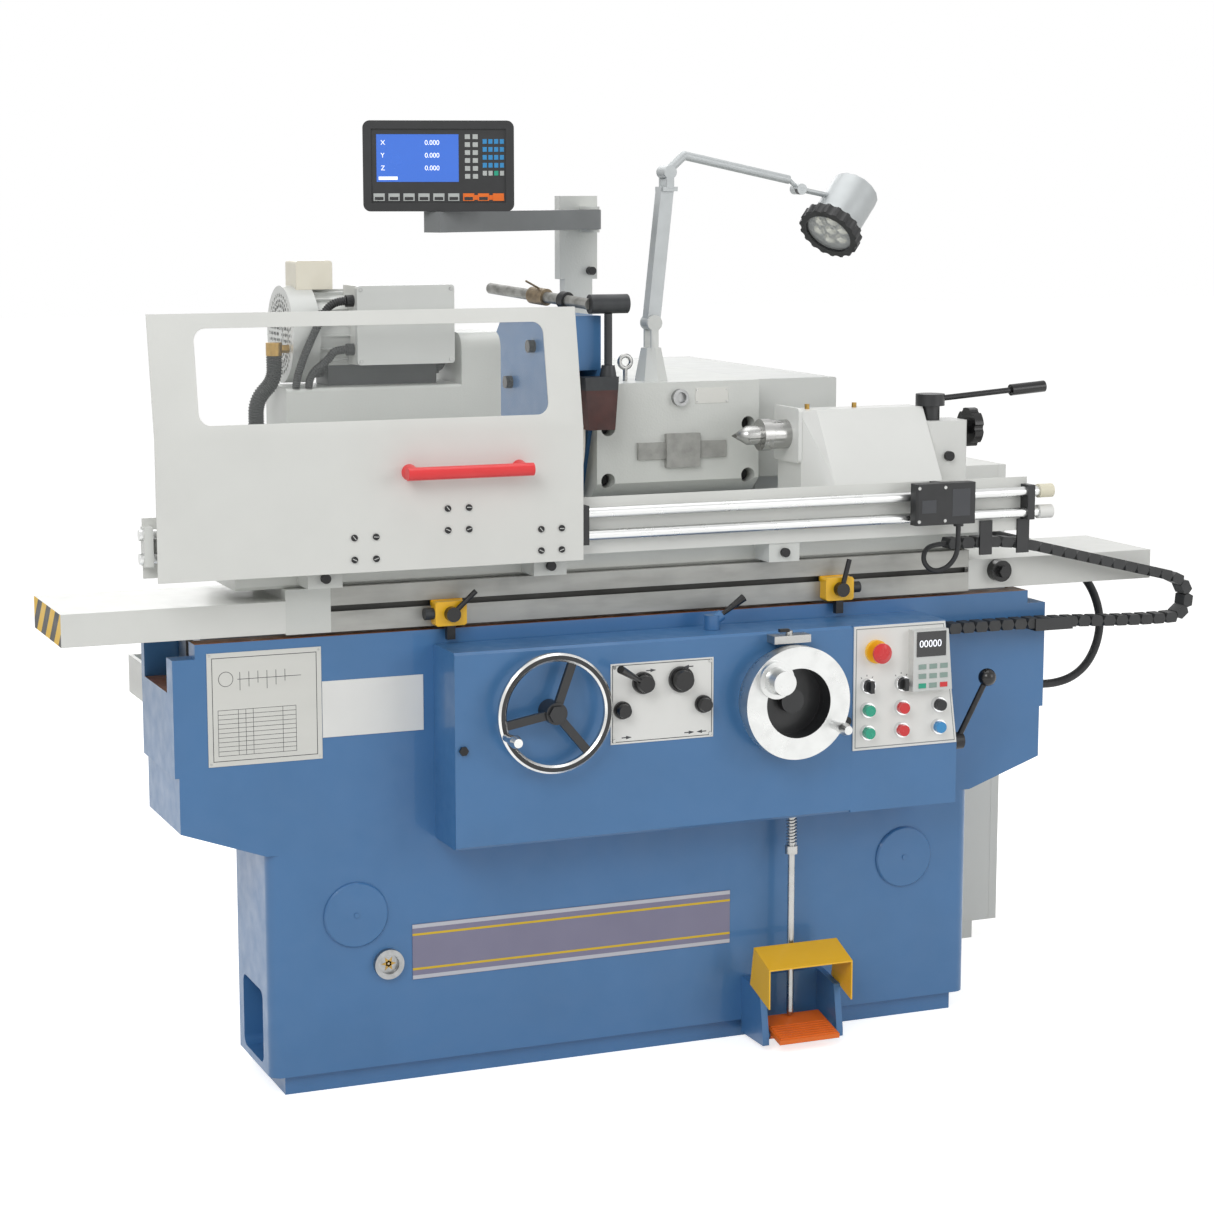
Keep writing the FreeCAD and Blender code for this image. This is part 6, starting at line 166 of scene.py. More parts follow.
@dataclass(frozen=True)
class Finish:
    """One finish: a material as it was made, with colours in sRGB hex and patterns in millimetres."""

    name: str
    colour: str
    second: str
    roughness: float
    surface: Surface = Surface.PEEL
    pattern_mm: float = 3.0
    depth_mm: float = 0.03
    blotch_mm: float = 140.0
    blotch_share: float = 0.5
    metallic: float = 0.0
    coat: float = 0.0
    edge_mm: float = 0.9
    axis: int = 0
    centre: Place = (0.0, 0.0, 0.0)
    alpha: float = 1.0
    transmission: float = 0.0
    ior: float = 1.5
    glow: float = 0.0
    slot: str = ""

    def along(self, tree: Tree, place: Socket, keep: float) -> Socket:
        """Coordinates drawn out along the finish's axis.

        Args:
            tree: The material's tree.
            place: Object coordinates.
            keep: Scale along the axis.

        Returns:
            The stretched coordinates.
        """
        scale = [1.0, 1.0, 1.0]
        scale[self.axis] = keep
        return add_node(tree, "ShaderNodeMapping", {"Vector": place, "Scale": scale}).outputs[0]

    def distance(self, tree: Tree, place: Socket) -> Socket:
        """Distance of each point from the turning axis, in metres."""
        kind = "ShaderNodeVectorMath"
        centre = Vector(self.centre) * MM
        away = add_node(tree, kind, {0: place, 1: centre}, operation="SUBTRACT")
        mask = [1.0, 1.0, 1.0]
        mask[self.axis] = 0.0
        flat = add_node(tree, kind, {0: away.outputs[0], 1: mask}, operation="MULTIPLY")
        return add_node(tree, kind, {0: flat.outputs[0]}, operation="LENGTH").outputs["Value"]

    def relief(self, tree: Tree, place: Socket) -> Socket:
        """Height of the finish's own relief, 0 to 1."""
        scale = per_metre(self.pattern_mm)
        if self.surface is Surface.LINES:
            drawn = self.along(tree, place, LINE_STRETCH)
            noise = {"Vector": drawn, "Scale": scale, "Detail": 4.0}
            return add_node(tree, "ShaderNodeTexNoise", noise).outputs[0]
        if self.surface is Surface.RINGS:
            away = {0: self.distance(tree, place), 1: scale}
            far = add_node(tree, "ShaderNodeMath", away, operation="MULTIPLY")
            noise = {"W": far.outputs[0], "Scale": 1.0, "Detail": 3.0}
            return add_node(tree, "ShaderNodeTexNoise", noise, noise_dimensions="1D").outputs[0]
        if self.surface in (Surface.PEBBLE, Surface.GRAIN):
            cell = {"Vector": place, "Scale": scale, "Smoothness": CELL_SOFTNESS}
            cells = add_node(tree, "ShaderNodeTexVoronoi", cell, feature="SMOOTH_F1")
            return cells.outputs["Distance"]
        noise = {"Vector": place, "Scale": scale, "Detail": 2.0}
        return add_node(tree, "ShaderNodeTexNoise", noise).outputs[0]

    def tint(self, tree: Tree, place: Socket) -> Socket:
        """Share of the second colour at each point."""
        if self.surface is Surface.STRIPES:
            each = per_metre(2 * self.pattern_mm)
            slant = {0: place, 1: (0.0, each, each)}
            run = add_node(tree, "ShaderNodeVectorMath", slant, operation="DOT_PRODUCT")
            part = add_node(tree, "ShaderNodeMath", {0: run.outputs["Value"]}, operation="FRACT")
            half = {0: part.outputs[0], 1: 0.5}
            return add_node(tree, "ShaderNodeMath", half, operation="GREATER_THAN").outputs[0]
        lined = self.surface is Surface.LINES
        drawn = self.along(tree, place, BLOTCH_STRETCH) if lined else place
        noise = {"Vector": drawn, "Scale": per_metre(self.blotch_mm), "Detail": 4.0}
        cloud = add_node(tree, "ShaderNodeTexNoise", noise).outputs[0]
        limits = {
            "Value": cloud, "From Min": CLOUD_LOW, "From Max": CLOUD_HIGH,
            "To Min": 0.0, "To Max": self.blotch_share,
        }
        return add_node(tree, "ShaderNodeMapRange", limits).outputs[0]

    def material(self) -> bpy.types.Material:
        """The finish as a material, built once."""
        found = bpy.data.materials.get(self.name)
        if found:
            return found
        made = bpy.data.materials.new(self.name)
        made.use_nodes = True
        tree = made.node_tree
        tree.nodes.clear()
        place = add_node(tree, "ShaderNodeTexCoord").outputs["Object"]
        # The mix node's inputs 0, 6 and 7 are its factor and its two colours; output 2 is a colour.
        both = {0: self.tint(tree, place), 6: linear(self.colour), 7: linear(self.second)}
        colour = add_node(tree, "ShaderNodeMix", both, data_type="RGBA").outputs[2]
        noise = {"Vector": place, "Scale": per_metre(SMEAR_MM), "Detail": 3.0}
        smear = add_node(tree, "ShaderNodeTexNoise", noise).outputs[0]
        gloss = {
            "Value": smear, "From Min": SMEAR_LOW, "From Max": SMEAR_HIGH,
            "To Min": max(self.roughness - SMOOTHER, LEAST_ROUGHNESS),
            "To Max": min(self.roughness + ROUGHER, 1.0),
        }
        rough = add_node(tree, "ShaderNodeMapRange", gloss).outputs[0]
        worn = {"Radius": self.edge_mm * MM}
        edge = add_node(tree, "ShaderNodeBevel", worn, samples=EDGE_SAMPLES).outputs[0]
        height = {
            "Height": self.relief(tree, place), "Normal": edge, "Distance": self.depth_mm * MM,
            "Strength": 1.0,
        }
        bump = add_node(tree, "ShaderNodeBump", height).outputs[0]
        shader = add_node(
            tree, "ShaderNodeBsdfPrincipled",
            {
                "Base Color": colour, "Roughness": rough, "Normal": bump,
                "Metallic": self.metallic, "Coat Weight": self.coat, "Alpha": self.alpha,
                "Transmission Weight": self.transmission,
            },
        )
        if not self.metallic:
            shader.inputs["IOR"].default_value = self.ior
        if self.glow:
            shader.inputs["Emission Color"].default_value = linear(self.colour)
            shader.inputs["Emission Strength"].default_value = self.glow
        add_node(tree, "ShaderNodeOutputMaterial", {"Surface": shader.outputs[0]})
        return made


# Sprayed enamel on cast iron: a soft orange peel and a clear sheen.
BLUE = Finish(
    "blue_enamel_sprayed", "#4274A6", "#3C6B99", 0.4, depth_mm=0.02, pattern_mm=3.5, coat=0.25,
    slot="blue_enamel",
)
# Filler and hammered enamel on castings: small pebbles that break up the highlights.
PEBBLED = Finish(
    "grey_enamel_hammered", "#D6D8D4", "#CBCDC9", 0.42, Surface.PEBBLE, 4.2, 0.16, coat=0.15, slot="grey_enamel"
)
# Powder coat on sheet steel: fine and even.
SHEET = Finish(
    "grey_powder_coat_sheet", "#DFE0DC", "#D6D7D3", 0.40, Surface.PEEL, 1.8, 0.02, coat=0.1,
    slot="grey_sheet",
)
SMOOTH_GREY = Finish("grey_enamel_smooth", "#D3D5D2", "#C8CAC7", 0.35, coat=0.2, slot="grey_enamel")
WHITE_ENAMEL = Finish(
    "white_grey_enamel_smooth", "#E4E5E2", "#DBDCD9", 0.36, coat=0.2, slot="grey_enamel"
)
RAW_CAST = Finish(
    "cast_iron_rough_grey", "#A9A9A5", "#8E8E8A", 0.62, Surface.PEBBLE, 2.6, 0.3, 20, 0.8,
    slot="grey_enamel",
)
MID_GREY = Finish("mid_grey_enamel", "#7B7E7F", "#6D7071", 0.42, coat=0.1, slot="arm_enamel")
# Ground cast iron and steel: fine lines along the stroke.
GROUND = Finish(
    "ground_steel_long_lines", "#C3C4C4", "#A5A6A6", 0.34, Surface.LINES, 0.9, 0.004, 60, 0.6, 1.0, edge_mm=0.4,
    slot="ground_steel",
)
TABLE = Finish(
    "ground_cast_iron_table", "#A3A39F", "#7E7E79", 0.48, Surface.LINES, 1.1, 0.006, 40, 0.7, 0.6, slot="table_iron"
)
BRIGHT = Finish(
    "bright_turned_steel", "#B4B4B2", "#8F8F8D", 0.27, Surface.LINES, 0.7, 0.003, 30, 0.4, 1.0,
    edge_mm=0.3,
)
RAIL = Finish(
    "drawn_aluminium_rail", "#D9DAD9", "#C4C5C4", 0.3, Surface.LINES, 0.8, 0.004, 50, 0.4, 1.0,
    slot="rail_steel",
)
SPRING = Finish(
    "drawn_spring_wire", "#C9C9C7", "#9A9A98", 0.28, Surface.LINES, 0.5, 0.003, 15, 0.5, 1.0,
    slot="spring_steel",
)
# Turned and polished aluminium: rings about the wheel's shaft.
WHEEL_ALLOY = Finish(
    "polished_aluminium_table_wheel", "#DDDDDB", "#BFC0BF", 0.2, Surface.RINGS, 0.9, 0.006, 30, 0.4, 1.0, axis=1,
    centre=(-232, 0, 729), slot="polished_aluminium",
)
FEED_ALLOY = Finish(
    "turned_aluminium_feed_wheel", "#D6D7D6", "#BBBCBB", 0.3, Surface.RINGS, 0.9, 0.01, 30, 0.4, 1.0, axis=1,
    centre=(259, 0, 716), slot="polished_aluminium",
)
PLATE = Finish(
    "printed_aluminium_plate", "#CDCDC8", "#C1C1BC", 0.4, Surface.LINES, 0.8, 0.003, 60, 0.4, 0.35
)
WHITE_PLATE = Finish(
    "white_film_on_plate", "#EAEAE7", "#E0E0DC", 0.4, Surface.PEEL, 1.5, 0.008, 90, 0.4
)
CHROME = Finish(
    "chromed_brass", "#E4E5E6", "#C9CACB", 0.1, Surface.PEEL, 2.0, 0.003, 30, 0.3, 1.0,
    edge_mm=0.4,
)
NICKEL = Finish(
    "nickelled_steel_ring", "#A5A6A6", "#868787", 0.32, Surface.PEEL, 1.5, 0.006, 12, 0.7, 1.0,
    edge_mm=0.4,
)
BRASS = Finish(
    "machined_brass", "#B08F4F", "#8D7040", 0.35, Surface.PEEL, 1.2, 0.01, 12, 0.6, 1.0,
    edge_mm=0.4,
)
SCREW = Finish(
    "zinc_plated_screw", "#B9BAB8", "#8F908E", 0.3, Surface.PEEL, 1.0, 0.008, 10, 0.5, 1.0,
    edge_mm=0.3,
)
BLACK_SCREW = Finish(
    "black_oxide_screw", "#2B2B2C", "#3B3B3C", 0.35, Surface.PEEL, 1.0, 0.01, 10, 0.5, 0.6,
    edge_mm=0.3,
)
# Phenolic knobs come out of a polished mould: deep black and glossy.
PHENOLIC = Finish(
    "black_phenolic_moulded", "#121213", "#1B1B1C", 0.22, Surface.PEEL, 4.0, 0.01, 40, 0.5,
    slot="knob_plastic",
)
# Black enamel of castings; also painted shade on the workhead's left face.
BLACK_ENAMEL = Finish(
    "black_enamel_cast_and_painted_shade", "#1C1D1F", "#28292B", 0.38, Surface.PEEL, 3.0, 0.05, 40, 0.5, coat=0.1
)
# Black moulded nylon; also painted shade in the motor cowl's holes.
BLACK = Finish(
    "black_nylon_moulded_and_painted_shade", "#1D1E1F", "#26272A", 0.48, Surface.GRAIN, 1.1, 0.03, 30, 0.5,
    slot="black_plastic",
)
CHAIN = Finish(
    "chain_nylon_moulded", "#2A2B2C", "#343536", 0.55, Surface.GRAIN, 1.3, 0.03, 25, 0.6,
    slot="chain_plastic",
)
RUBBER = Finish(
    "cable_sheath_extruded", "#17181A", "#212224", 0.6, Surface.GRAIN, 0.9, 0.02, 40, 0.5,
    slot="cable_rubber",
)
HOSE = Finish(
    "corrugated_hose_blown", "#1A1B1D", "#252628", 0.45, Surface.PEEL, 2.0, 0.01, 30, 0.5,
    slot="hose_plastic",
)
RED = Finish(
    "red_abs_moulded", "#D8262B", "#CB1F25", 0.28, Surface.PEEL, 3.0, 0.01, 60, 0.5, coat=0.2,
    slot="red_plastic",
)
HANDLE_RED = Finish(
    "red_nylon_handle", "#E5383B", "#DB3034", 0.34, Surface.PEEL, 2.0, 0.015, 60, 0.5,
    slot="red_plastic",
)
GREEN = Finish(
    "green_abs_moulded", "#13A383", "#0F9577", 0.3, Surface.PEEL, 3.0, 0.01, 30, 0.4, coat=0.2,
    slot="green_plastic",
)
SKY = Finish(
    "blue_abs_moulded", "#2F8FCB", "#2883BD", 0.3, Surface.PEEL, 3.0, 0.01, 30, 0.4, coat=0.2,
    slot="blue_plastic",
)
YELLOW = Finish(
    "yellow_enamel_sprayed", "#FBC120", "#F1B619", 0.36, Surface.PEEL, 2.5, 0.015, 50, 0.4,
    coat=0.2,
)
ORANGE = Finish(
    "orange_enamel_cast", "#EE7216", "#DF660F", 0.42, Surface.PEEL, 2.2, 0.04, 30, 0.5, coat=0.1,
    slot="orange_enamel",
)
IVORY = Finish("ivory_nylon_turned", "#E3DEC8", "#D8D2BA", 0.4, Surface.PEEL, 2.0, 0.01, 25, 0.4)
HAZARD = Finish("hazard_stripes_painted", "#F2C230", "#232221", 0.5, Surface.STRIPES, 40.0, 0.01)
# Coolant and swarf dry to a brown film inside the trough.
OILY = Finish(
    "oily_brown_film", "#A9692C", "#6E4420", 0.35, Surface.PEEL, 6.0, 0.1, 35, 0.9, coat=0.4
)
DARK_SLOT = Finish(
    "dark_slot_iron", "#4A4A48", "#33332F", 0.5, Surface.LINES, 1.2, 0.01, 40, 0.7, 0.5
)
SIGHT = Finish(
    "oil_sight_window", "#3E3424", "#6B5A38", 0.08, Surface.PEEL, 5.0, 0.02, 14, 0.9, coat=0.8
)
# Vitrified aluminium oxide: open white grain.
ABRASIVE = Finish(
    "vitrified_white_abrasive", "#E4DFD4", "#C9C3B6", 0.9, Surface.GRAIN, 0.8, 0.25, 12, 0.5,
    slot="wheel_steel",
)
RUST_RED = Finish(
    "oxide_red_casting", "#4A2A26", "#352321", 0.6, Surface.PEBBLE, 3.0, 0.12, 25, 0.7,
    slot="nozzle_metal",
)
# Dark grey of fittings; also painted shade on the motor's lower part.
DARK_GREY = Finish(
    "dark_grey_fitting_and_painted_shade", "#37393B", "#2A2C2E", 0.45, Surface.PEEL, 2.0, 0.03, 20, 0.6, 0.3,
    slot="nozzle_metal",
)
PIPE = Finish("galvanised_pipe", "#9D9D99", "#6F6E69", 0.48, Surface.PEEL, 1.6, 0.05, 16, 0.9, 0.5)
VALVE = Finish(
    "weathered_bronze_valve", "#8A7A62", "#5F5344", 0.5, Surface.PEEL, 1.8, 0.06, 12, 0.9, 0.5
)
COOL_ALLOY = Finish(
    "coated_lamp_aluminium", "#B4B8B9", "#A5A9AA", 0.42, Surface.PEEL, 1.4, 0.01, 40, 0.4, 0.4,
    slot="lamp_aluminium",
)
# Clear acrylic: almost only its gloss shows.
PANE = Finish(
    "clear_acrylic_pane", "#E9EEEC", "#E2E8E6", 0.04, Surface.PEEL, 80.0, 0.01, alpha=0.05
)
LENS = Finish("lamp_glass_pressed", "#F2F5F4", "#E6EAE9", 0.05, Surface.PEEL, 9.0, 0.05, alpha=0.3)
LED = Finish(
    "lamp_reflector_cup", "#EDEBDD", "#D8D6C8", 0.12, Surface.PEEL, 3.0, 0.01, 10, 0.5, 0.8
)
SCREEN = Finish(
    "readout_screen_lit", "#3C6CCB", "#3564C2", 0.2, Surface.PEEL, 60.0, 0.002, glow=0.35
)
DIGITS = Finish("lit_digits", "#F4F7FF", "#E8EEFA", 0.3, Surface.PEEL, 9.0, 0.002, glow=0.7)
DARK_GLASS = Finish(
    "dark_display_window", "#0E0F12", "#15161A", 0.1, Surface.PEEL, 40.0, 0.004, coat=0.5
)
KEY_GREY = Finish("grey_key_film", "#B9BDBB", "#AEB2B0", 0.5, Surface.PEEL, 2.0, 0.01, 15, 0.4)
KEY_TEAL = Finish(
    "grey_green_key_film", "#8DA39B", "#82988F", 0.5, Surface.PEEL, 2.0, 0.01, 15, 0.4
)
KEYPAD = Finish(
    "keypad_housing_moulded", "#D4D6D4", "#C9CBC9", 0.42, Surface.GRAIN, 1.0, 0.01, 30, 0.4,
    slot="panel_plastic",
)
CREAM = Finish("cream_cap_moulded", "#E9E4D4", "#DFD9C7", 0.4, Surface.PEEL, 2.5, 0.02, 30, 0.4)
PRINT_GREY = Finish("printed_grey_line", "#8D9092", "#84878A", 0.45, Surface.PEEL, 2.0, 0.004)
PRINT_DARK = Finish("printed_dark_line", "#3A3C40", "#33353A", 0.45, Surface.PEEL, 2.0, 0.004)
BAND_VIOLET = Finish("band_grey_violet", "#817E95", "#77748B", 0.42, Surface.PEEL, 2.0, 0.006)
BAND_PALE = Finish("band_pale_grey", "#C4C5CD", "#BABBC4", 0.42, Surface.PEEL, 2.0, 0.006)
BAND_YELLOW = Finish("band_yellow", "#DDB92C", "#D3AF24", 0.42, Surface.PEEL, 2.0, 0.006)


def finished(made: Piece, finish: Finish, body: str) -> Piece:
    """Gives a new piece its finish and its body."""
    made.data.materials.clear()
    made.data.materials.append(finish.material())
    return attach(made, body)


def from_bmesh(name: str, shape: Shape, finish: Finish, body: str) -> Piece:
    """Makes a piece of a bmesh, with smooth curves and sharp edges.

    Args:
        name: The piece's name.
        shape: Its mesh, freed here.
        finish: Its finish.
        body: The body that it rides on.

    Returns:
        The piece.
    """
    mesh = bpy.data.meshes.new(name)
    bmesh.ops.recalc_face_normals(shape, faces=shape.faces)
    for face in shape.faces:
        face.smooth = True
    for edge in shape.edges:
        edge.smooth = len(edge.link_faces) == 2 and edge.calc_face_angle(0.0) < SHARP_ANGLE
    shape.to_mesh(mesh)
    shape.free()
    made = bpy.data.objects.new(name, mesh)
    bpy.context.scene.collection.objects.link(made)
    flat = made.modifiers.new("weighted_normals", "WEIGHTED_NORMAL")
    flat.mode = "FACE_AREA"
    flat.weight = 100
    flat.keep_sharp = True
    return finished(made, finish, body)


def add_prism(shape: Shape, outline: Sequence[Vector], rise: Vector) -> None:
    """Adds a closed prism over an outline."""
    low = [shape.verts.new(p) for p in outline]
    high = [shape.verts.new(p + rise) for p in outline]
    shape.faces.new(low)
    shape.faces.new(high[::-1])
    for i in range(len(low)):
        j = (i + 1) % len(low)
        shape.faces.new((low[i], high[i], high[j], low[j]))


def rectangle(left: float, right: float, low: float, high: float, front: float) -> list[Vector]:
    """Corners of an upright rectangle that faces the operator, in millimetres."""
    return [mm(left, front, low), mm(right, front, low), mm(right, front, high), mm(left, front, high)]


def ellipse(x: float, y: float, z: float, wide: float, high: float, count: int = 32) -> list[Vector]:
    """Points of an upright ellipse that faces the operator, in millimetres."""
    turns = [2 * math.pi * i / count for i in range(count)]
    return [mm(x + wide * math.cos(t), y, z + high * math.sin(t)) for t in turns]


def slab(
    name: str, outlines: Sequence[Sequence[Vector]], finish: Finish, body: str,
    rise_mm: float, way: Vector = FRONT, turn: Optional[Matrix] = None,
) -> Piece:
    """Thin plates over outlines, as one piece.

    Args:
        name: The piece's name.
        outlines: Corners of each plate.
        finish: Their finish.
        body: The body that they ride on.
        rise_mm: Their thickness.
        way: The direction in which they rise.
        turn: A move for all of them.

    Returns:
        The piece.
    """
    shape = bmesh.new()
    for outline in outlines:
        add_prism(shape, outline, way * rise_mm * MM)
    if turn is not None:
        shape.transform(turn)
    return from_bmesh(name, shape, finish, body)


def words(name: str, text: str, height_mm: float, place: Matrix, finish: Finish, body: str) -> Piece:
    """Plain numbers as a thin mesh.

    Args:
        name: The piece's name.
        text: The numbers.
        height_mm: Height of a figure.
        place: Where the text's lower left corner stands and how it is turned.
        finish: Its finish.
        body: The body that it rides on.

    Returns:
        The piece.
    """
    curve = bpy.data.curves.new(name, "FONT")
    curve.body = text
    curve.size = height_mm * MM / FIGURE_SHARE
    curve.extrude = FIGURE_RISE * MM
    source = bpy.data.objects.new(name + "_source", curve)
    bpy.context.scene.collection.objects.link(source)
    bpy.context.view_layer.update()
    mesh = bpy.data.meshes.new_from_object(source.evaluated_get(bpy.context.evaluated_depsgraph_get()))
    bpy.data.objects.remove(source)
    mesh.transform(place)
    made = bpy.data.objects.new(name, mesh)
    bpy.context.scene.collection.objects.link(made)
    return finished(made, finish, body)


def upright(x: float, y: float, z: float) -> Matrix:
    """Turns the XY plane to face the operator, with its origin at a point in millimetres."""
    return Matrix.Translation(mm(x, y, z)) @ Matrix.Rotation(math.radians(90), 4, "X")


def standing(foot: Vector, way: Vector) -> Matrix:
    """Frame with its origin at a foot and its z axis along a way."""
    return Matrix.Translation(foot) @ way.to_track_quat("Z", "Y").to_matrix().to_4x4()


def spoke(index: int, count: int, reach_mm: float) -> Vector:
    """Point on a circle about the z axis, in metres."""
    turn = 2 * math.pi * index / count
    return mm(reach_mm * math.cos(turn), reach_mm * math.sin(turn), 0)


def lathe(
    name: str, profile: Sequence[tuple[float, float]], start: Vector, way: Vector, finish: Finish, body: str,
    steps: int = 48,
) -> Piece:
    """A turned piece.

    Args:
        name: The piece's name.
        profile: Radius and distance along the axis, in millimetres.
        start: Foot of the axis.
        way: Direction of the axis.
        finish: Its finish.
        body: The body that it rides on.
        steps: Points in each ring.

    Returns:
        The piece.
    """
    shape = bmesh.new()
    turn = standing(start, way)
    rings = []
    for radius, along in profile:
        points = [turn @ (spoke(i, steps, radius) + UP * along * MM) for i in range(steps)]
        rings.append([shape.verts.new(p) for p in points])
    for near, far in zip(rings, rings[1:]):
        for i in range(steps):
            j = (i + 1) % steps
            shape.faces.new((near[i], near[j], far[j], far[i]))
    shape.faces.new(rings[0][::-1])
    shape.faces.new(rings[-1])
    return from_bmesh(name, shape, finish, body)


def spline(name: str, points: Sequence[Place], radius_mm: float = 0.0) -> Piece:
    """A smooth open curve through the air, with control points in millimetres."""
    curve = bpy.data.curves.new(name, "CURVE")
    curve.dimensions = "3D"
    curve.resolution_u = CURVE_STEPS
    run = curve.splines.new("NURBS")
    run.points.add(len(points) - 1)
    for point, place in zip(run.points, points):
        point.co = (*mm(*place), 1.0)
    run.order_u = CURVE_ORDER
    run.use_endpoint_u = True
    curve.bevel_depth = radius_mm * MM
    curve.bevel_resolution = ROUND_STEPS
    made = bpy.data.objects.new(name, curve)
    bpy.context.scene.collection.objects.link(made)
    return made


def centreline(name: str, points: Sequence[Place], gap_mm: float) -> list[Vector]:
    """Evenly spaced points along a spline.

    Args:
        name: A name for the spline that is measured.
        points: Its control points in millimetres.
        gap_mm: Distance from point to point.

    Returns:
        The points in metres.
    """
    source = spline(name, points)
    bpy.context.view_layer.update()
    mesh = bpy.data.meshes.new_from_object(source.evaluated_get(bpy.context.evaluated_depsgraph_get()))
    line = [v.co.copy() for v in mesh.vertices]
    bpy.data.objects.remove(source)
    bpy.data.meshes.remove(mesh)
    found, left = [line[0]], gap_mm * MM
    for near, far in zip(line, line[1:]):
        step = (far - near).length
        while step >= left > 0:
            near = near.lerp(far, left / step)
            step = (far - near).length
            found.append(near)
            left = gap_mm * MM
        left -= step
    return found


def corrugated(
    name: str, points: Sequence[Place], radius_mm: float, pitch_mm: float, finish: Finish, body: str
) -> Piece:
    """A hose with a round rib at each pitch along its route.

    Args:
        name: The piece's name.
        points: The route's control points in millimetres.
        radius_mm: Radius over the ribs.
        pitch_mm: Distance from rib to rib.
        finish: Its finish.
        body: The body that it rides on.

    Returns:
        The piece.
    """
    line = centreline(name + "_line", points, pitch_mm / RIB_STEPS)
    shape = bmesh.new()
    rings = []
    for i, place in enumerate(line):
        ahead = line[min(i + 1, len(line) - 1)] - line[max(i - 1, 0)]
        turn = ahead.to_track_quat("Z", "X").to_matrix()
        size = radius_mm * (1.0 if i % RIB_STEPS in (1, 2) else GROOVE_SHARE)
        spokes = [turn @ spoke(t, RIB_SIDES, size) for t in range(RIB_SIDES)]
        rings.append([shape.verts.new(place + s) for s in spokes])
    for near, far in zip(rings, rings[1:]):
        for i in range(RIB_SIDES):
            j = (i + 1) % RIB_SIDES
            shape.faces.new((near[i], near[j], far[j], far[i]))
    shape.faces.new(rings[0])
    shape.faces.new(rings[-1])
    made = from_bmesh(name, shape, finish, body)
    # The ribs run into each other softly, so no edge of a hose stays crisp.
    made.data.set_sharp_from_angle(angle=math.pi)
    return made


def islands(shape: Shape) -> list[list[bmesh.types.BMFace]]:
    """Groups of faces that hang together."""
    left, found = set(shape.faces), []
    while left:
        start = left.pop()
        group, edge = [start], [start]
        while edge:
            face = edge.pop()
            for vert in face.verts:
                for other in vert.link_faces:
                    if other in left:
                        left.discard(other)
                        group.append(other)
                        edge.append(other)
        found.append(group)
    return found


@dataclass(frozen=True)
class Share:
    """Solids of a node that get one finish, chosen by their centre and size in millimetres.

    The limits of a choice lie between the sizes or places of the solids that it tells apart.
    """

    name: str
    finish: Finish
    chosen: Test = lambda centre, size: True
    body: str = ""


def split(node: str, *shares: Share) -> dict[str, Piece]:
    """Stands in for a node with copies of its solids, each with its own finish.

    Args:
        node: The node.
        shares: Which solids get which finish; the first that fits counts.

    Returns:
        The pieces by their shares' names.
    """
    source = frame["nodes"][node]
    whole = bmesh.new()
    whole.from_mesh(source.data)
    bmesh.ops.remove_doubles(whole, verts=whole.verts, dist=WELD)
    bmesh.ops.dissolve_limit(
        whole, angle_limit=FLAT_ANGLE, verts=whole.verts, edges=whole.edges
    )
    groups: dict[str, set[int]] = {share.name: set() for share in shares}
    for group in islands(whole):
        points = [v.co for f in group for v in f.verts]
        low = Vector([min(p[i] for p in points) for i in range(3)]) / MM
        high = Vector([max(p[i] for p in points) for i in range(3)]) / MM
        share = next(s for s in shares if s.chosen((low + high) / 2, high - low))
        groups[share.name].update(f.index for f in group)
    made = {}
    for share in shares:
        if not groups[share.name]:
            log.warning("%s has no solid for %s", node, share.name)
            continue
        part = whole.copy()
        part.faces.ensure_lookup_table()
        out = [f for f in part.faces if f.index not in groups[share.name]]
        bmesh.ops.delete(part, geom=out, context="FACES")
        body = share.body or source["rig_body"]
        piece = from_bmesh(f"{node}.{share.name}", part, share.finish, body)
        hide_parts(node)
        made[share.name] = piece
    whole.free()
    log.info("%s: %d pieces", node, len(made))
    return made


def slice_at(piece: Piece, place: Vector, normal: Vector) -> None:
    """Cuts a piece's faces along a plane, so that each side can be painted."""
    shape = bmesh.new()
    shape.from_mesh(piece.data)
    everything = list(shape.verts) + list(shape.edges) + list(shape.faces)
    bmesh.ops.bisect_plane(
        shape, geom=everything, plane_co=place, plane_no=normal, dist=CUT_WELD
    )
    shape.to_mesh(piece.data)
    shape.free()


def paint(piece: Piece, finish: Finish, chosen: Test) -> None:
    """Gives another finish to the faces whose centre, in millimetres, and normal are chosen."""
    piece.data.materials.append(finish.material())
    last = len(piece.data.materials) - 1
    for face in piece.data.polygons:
        if chosen(face.center / MM, face.normal):
            face.material_index = last


def dress(node: str, finish: Finish) -> None:
    """Gives a whole node one finish."""
    shown = frame["nodes"][node]
    shown.data.materials.clear()
    shown.data.materials.append(finish.material())
    log.info("%s: %s", node, finish.name)


def near(centre: Vector, x: float, y: float, z: float, reach: float = 8.0) -> bool:
    """Whether a centre lies close to a place, in millimetres."""
    return (centre - Vector((x, y, z))).length < reach


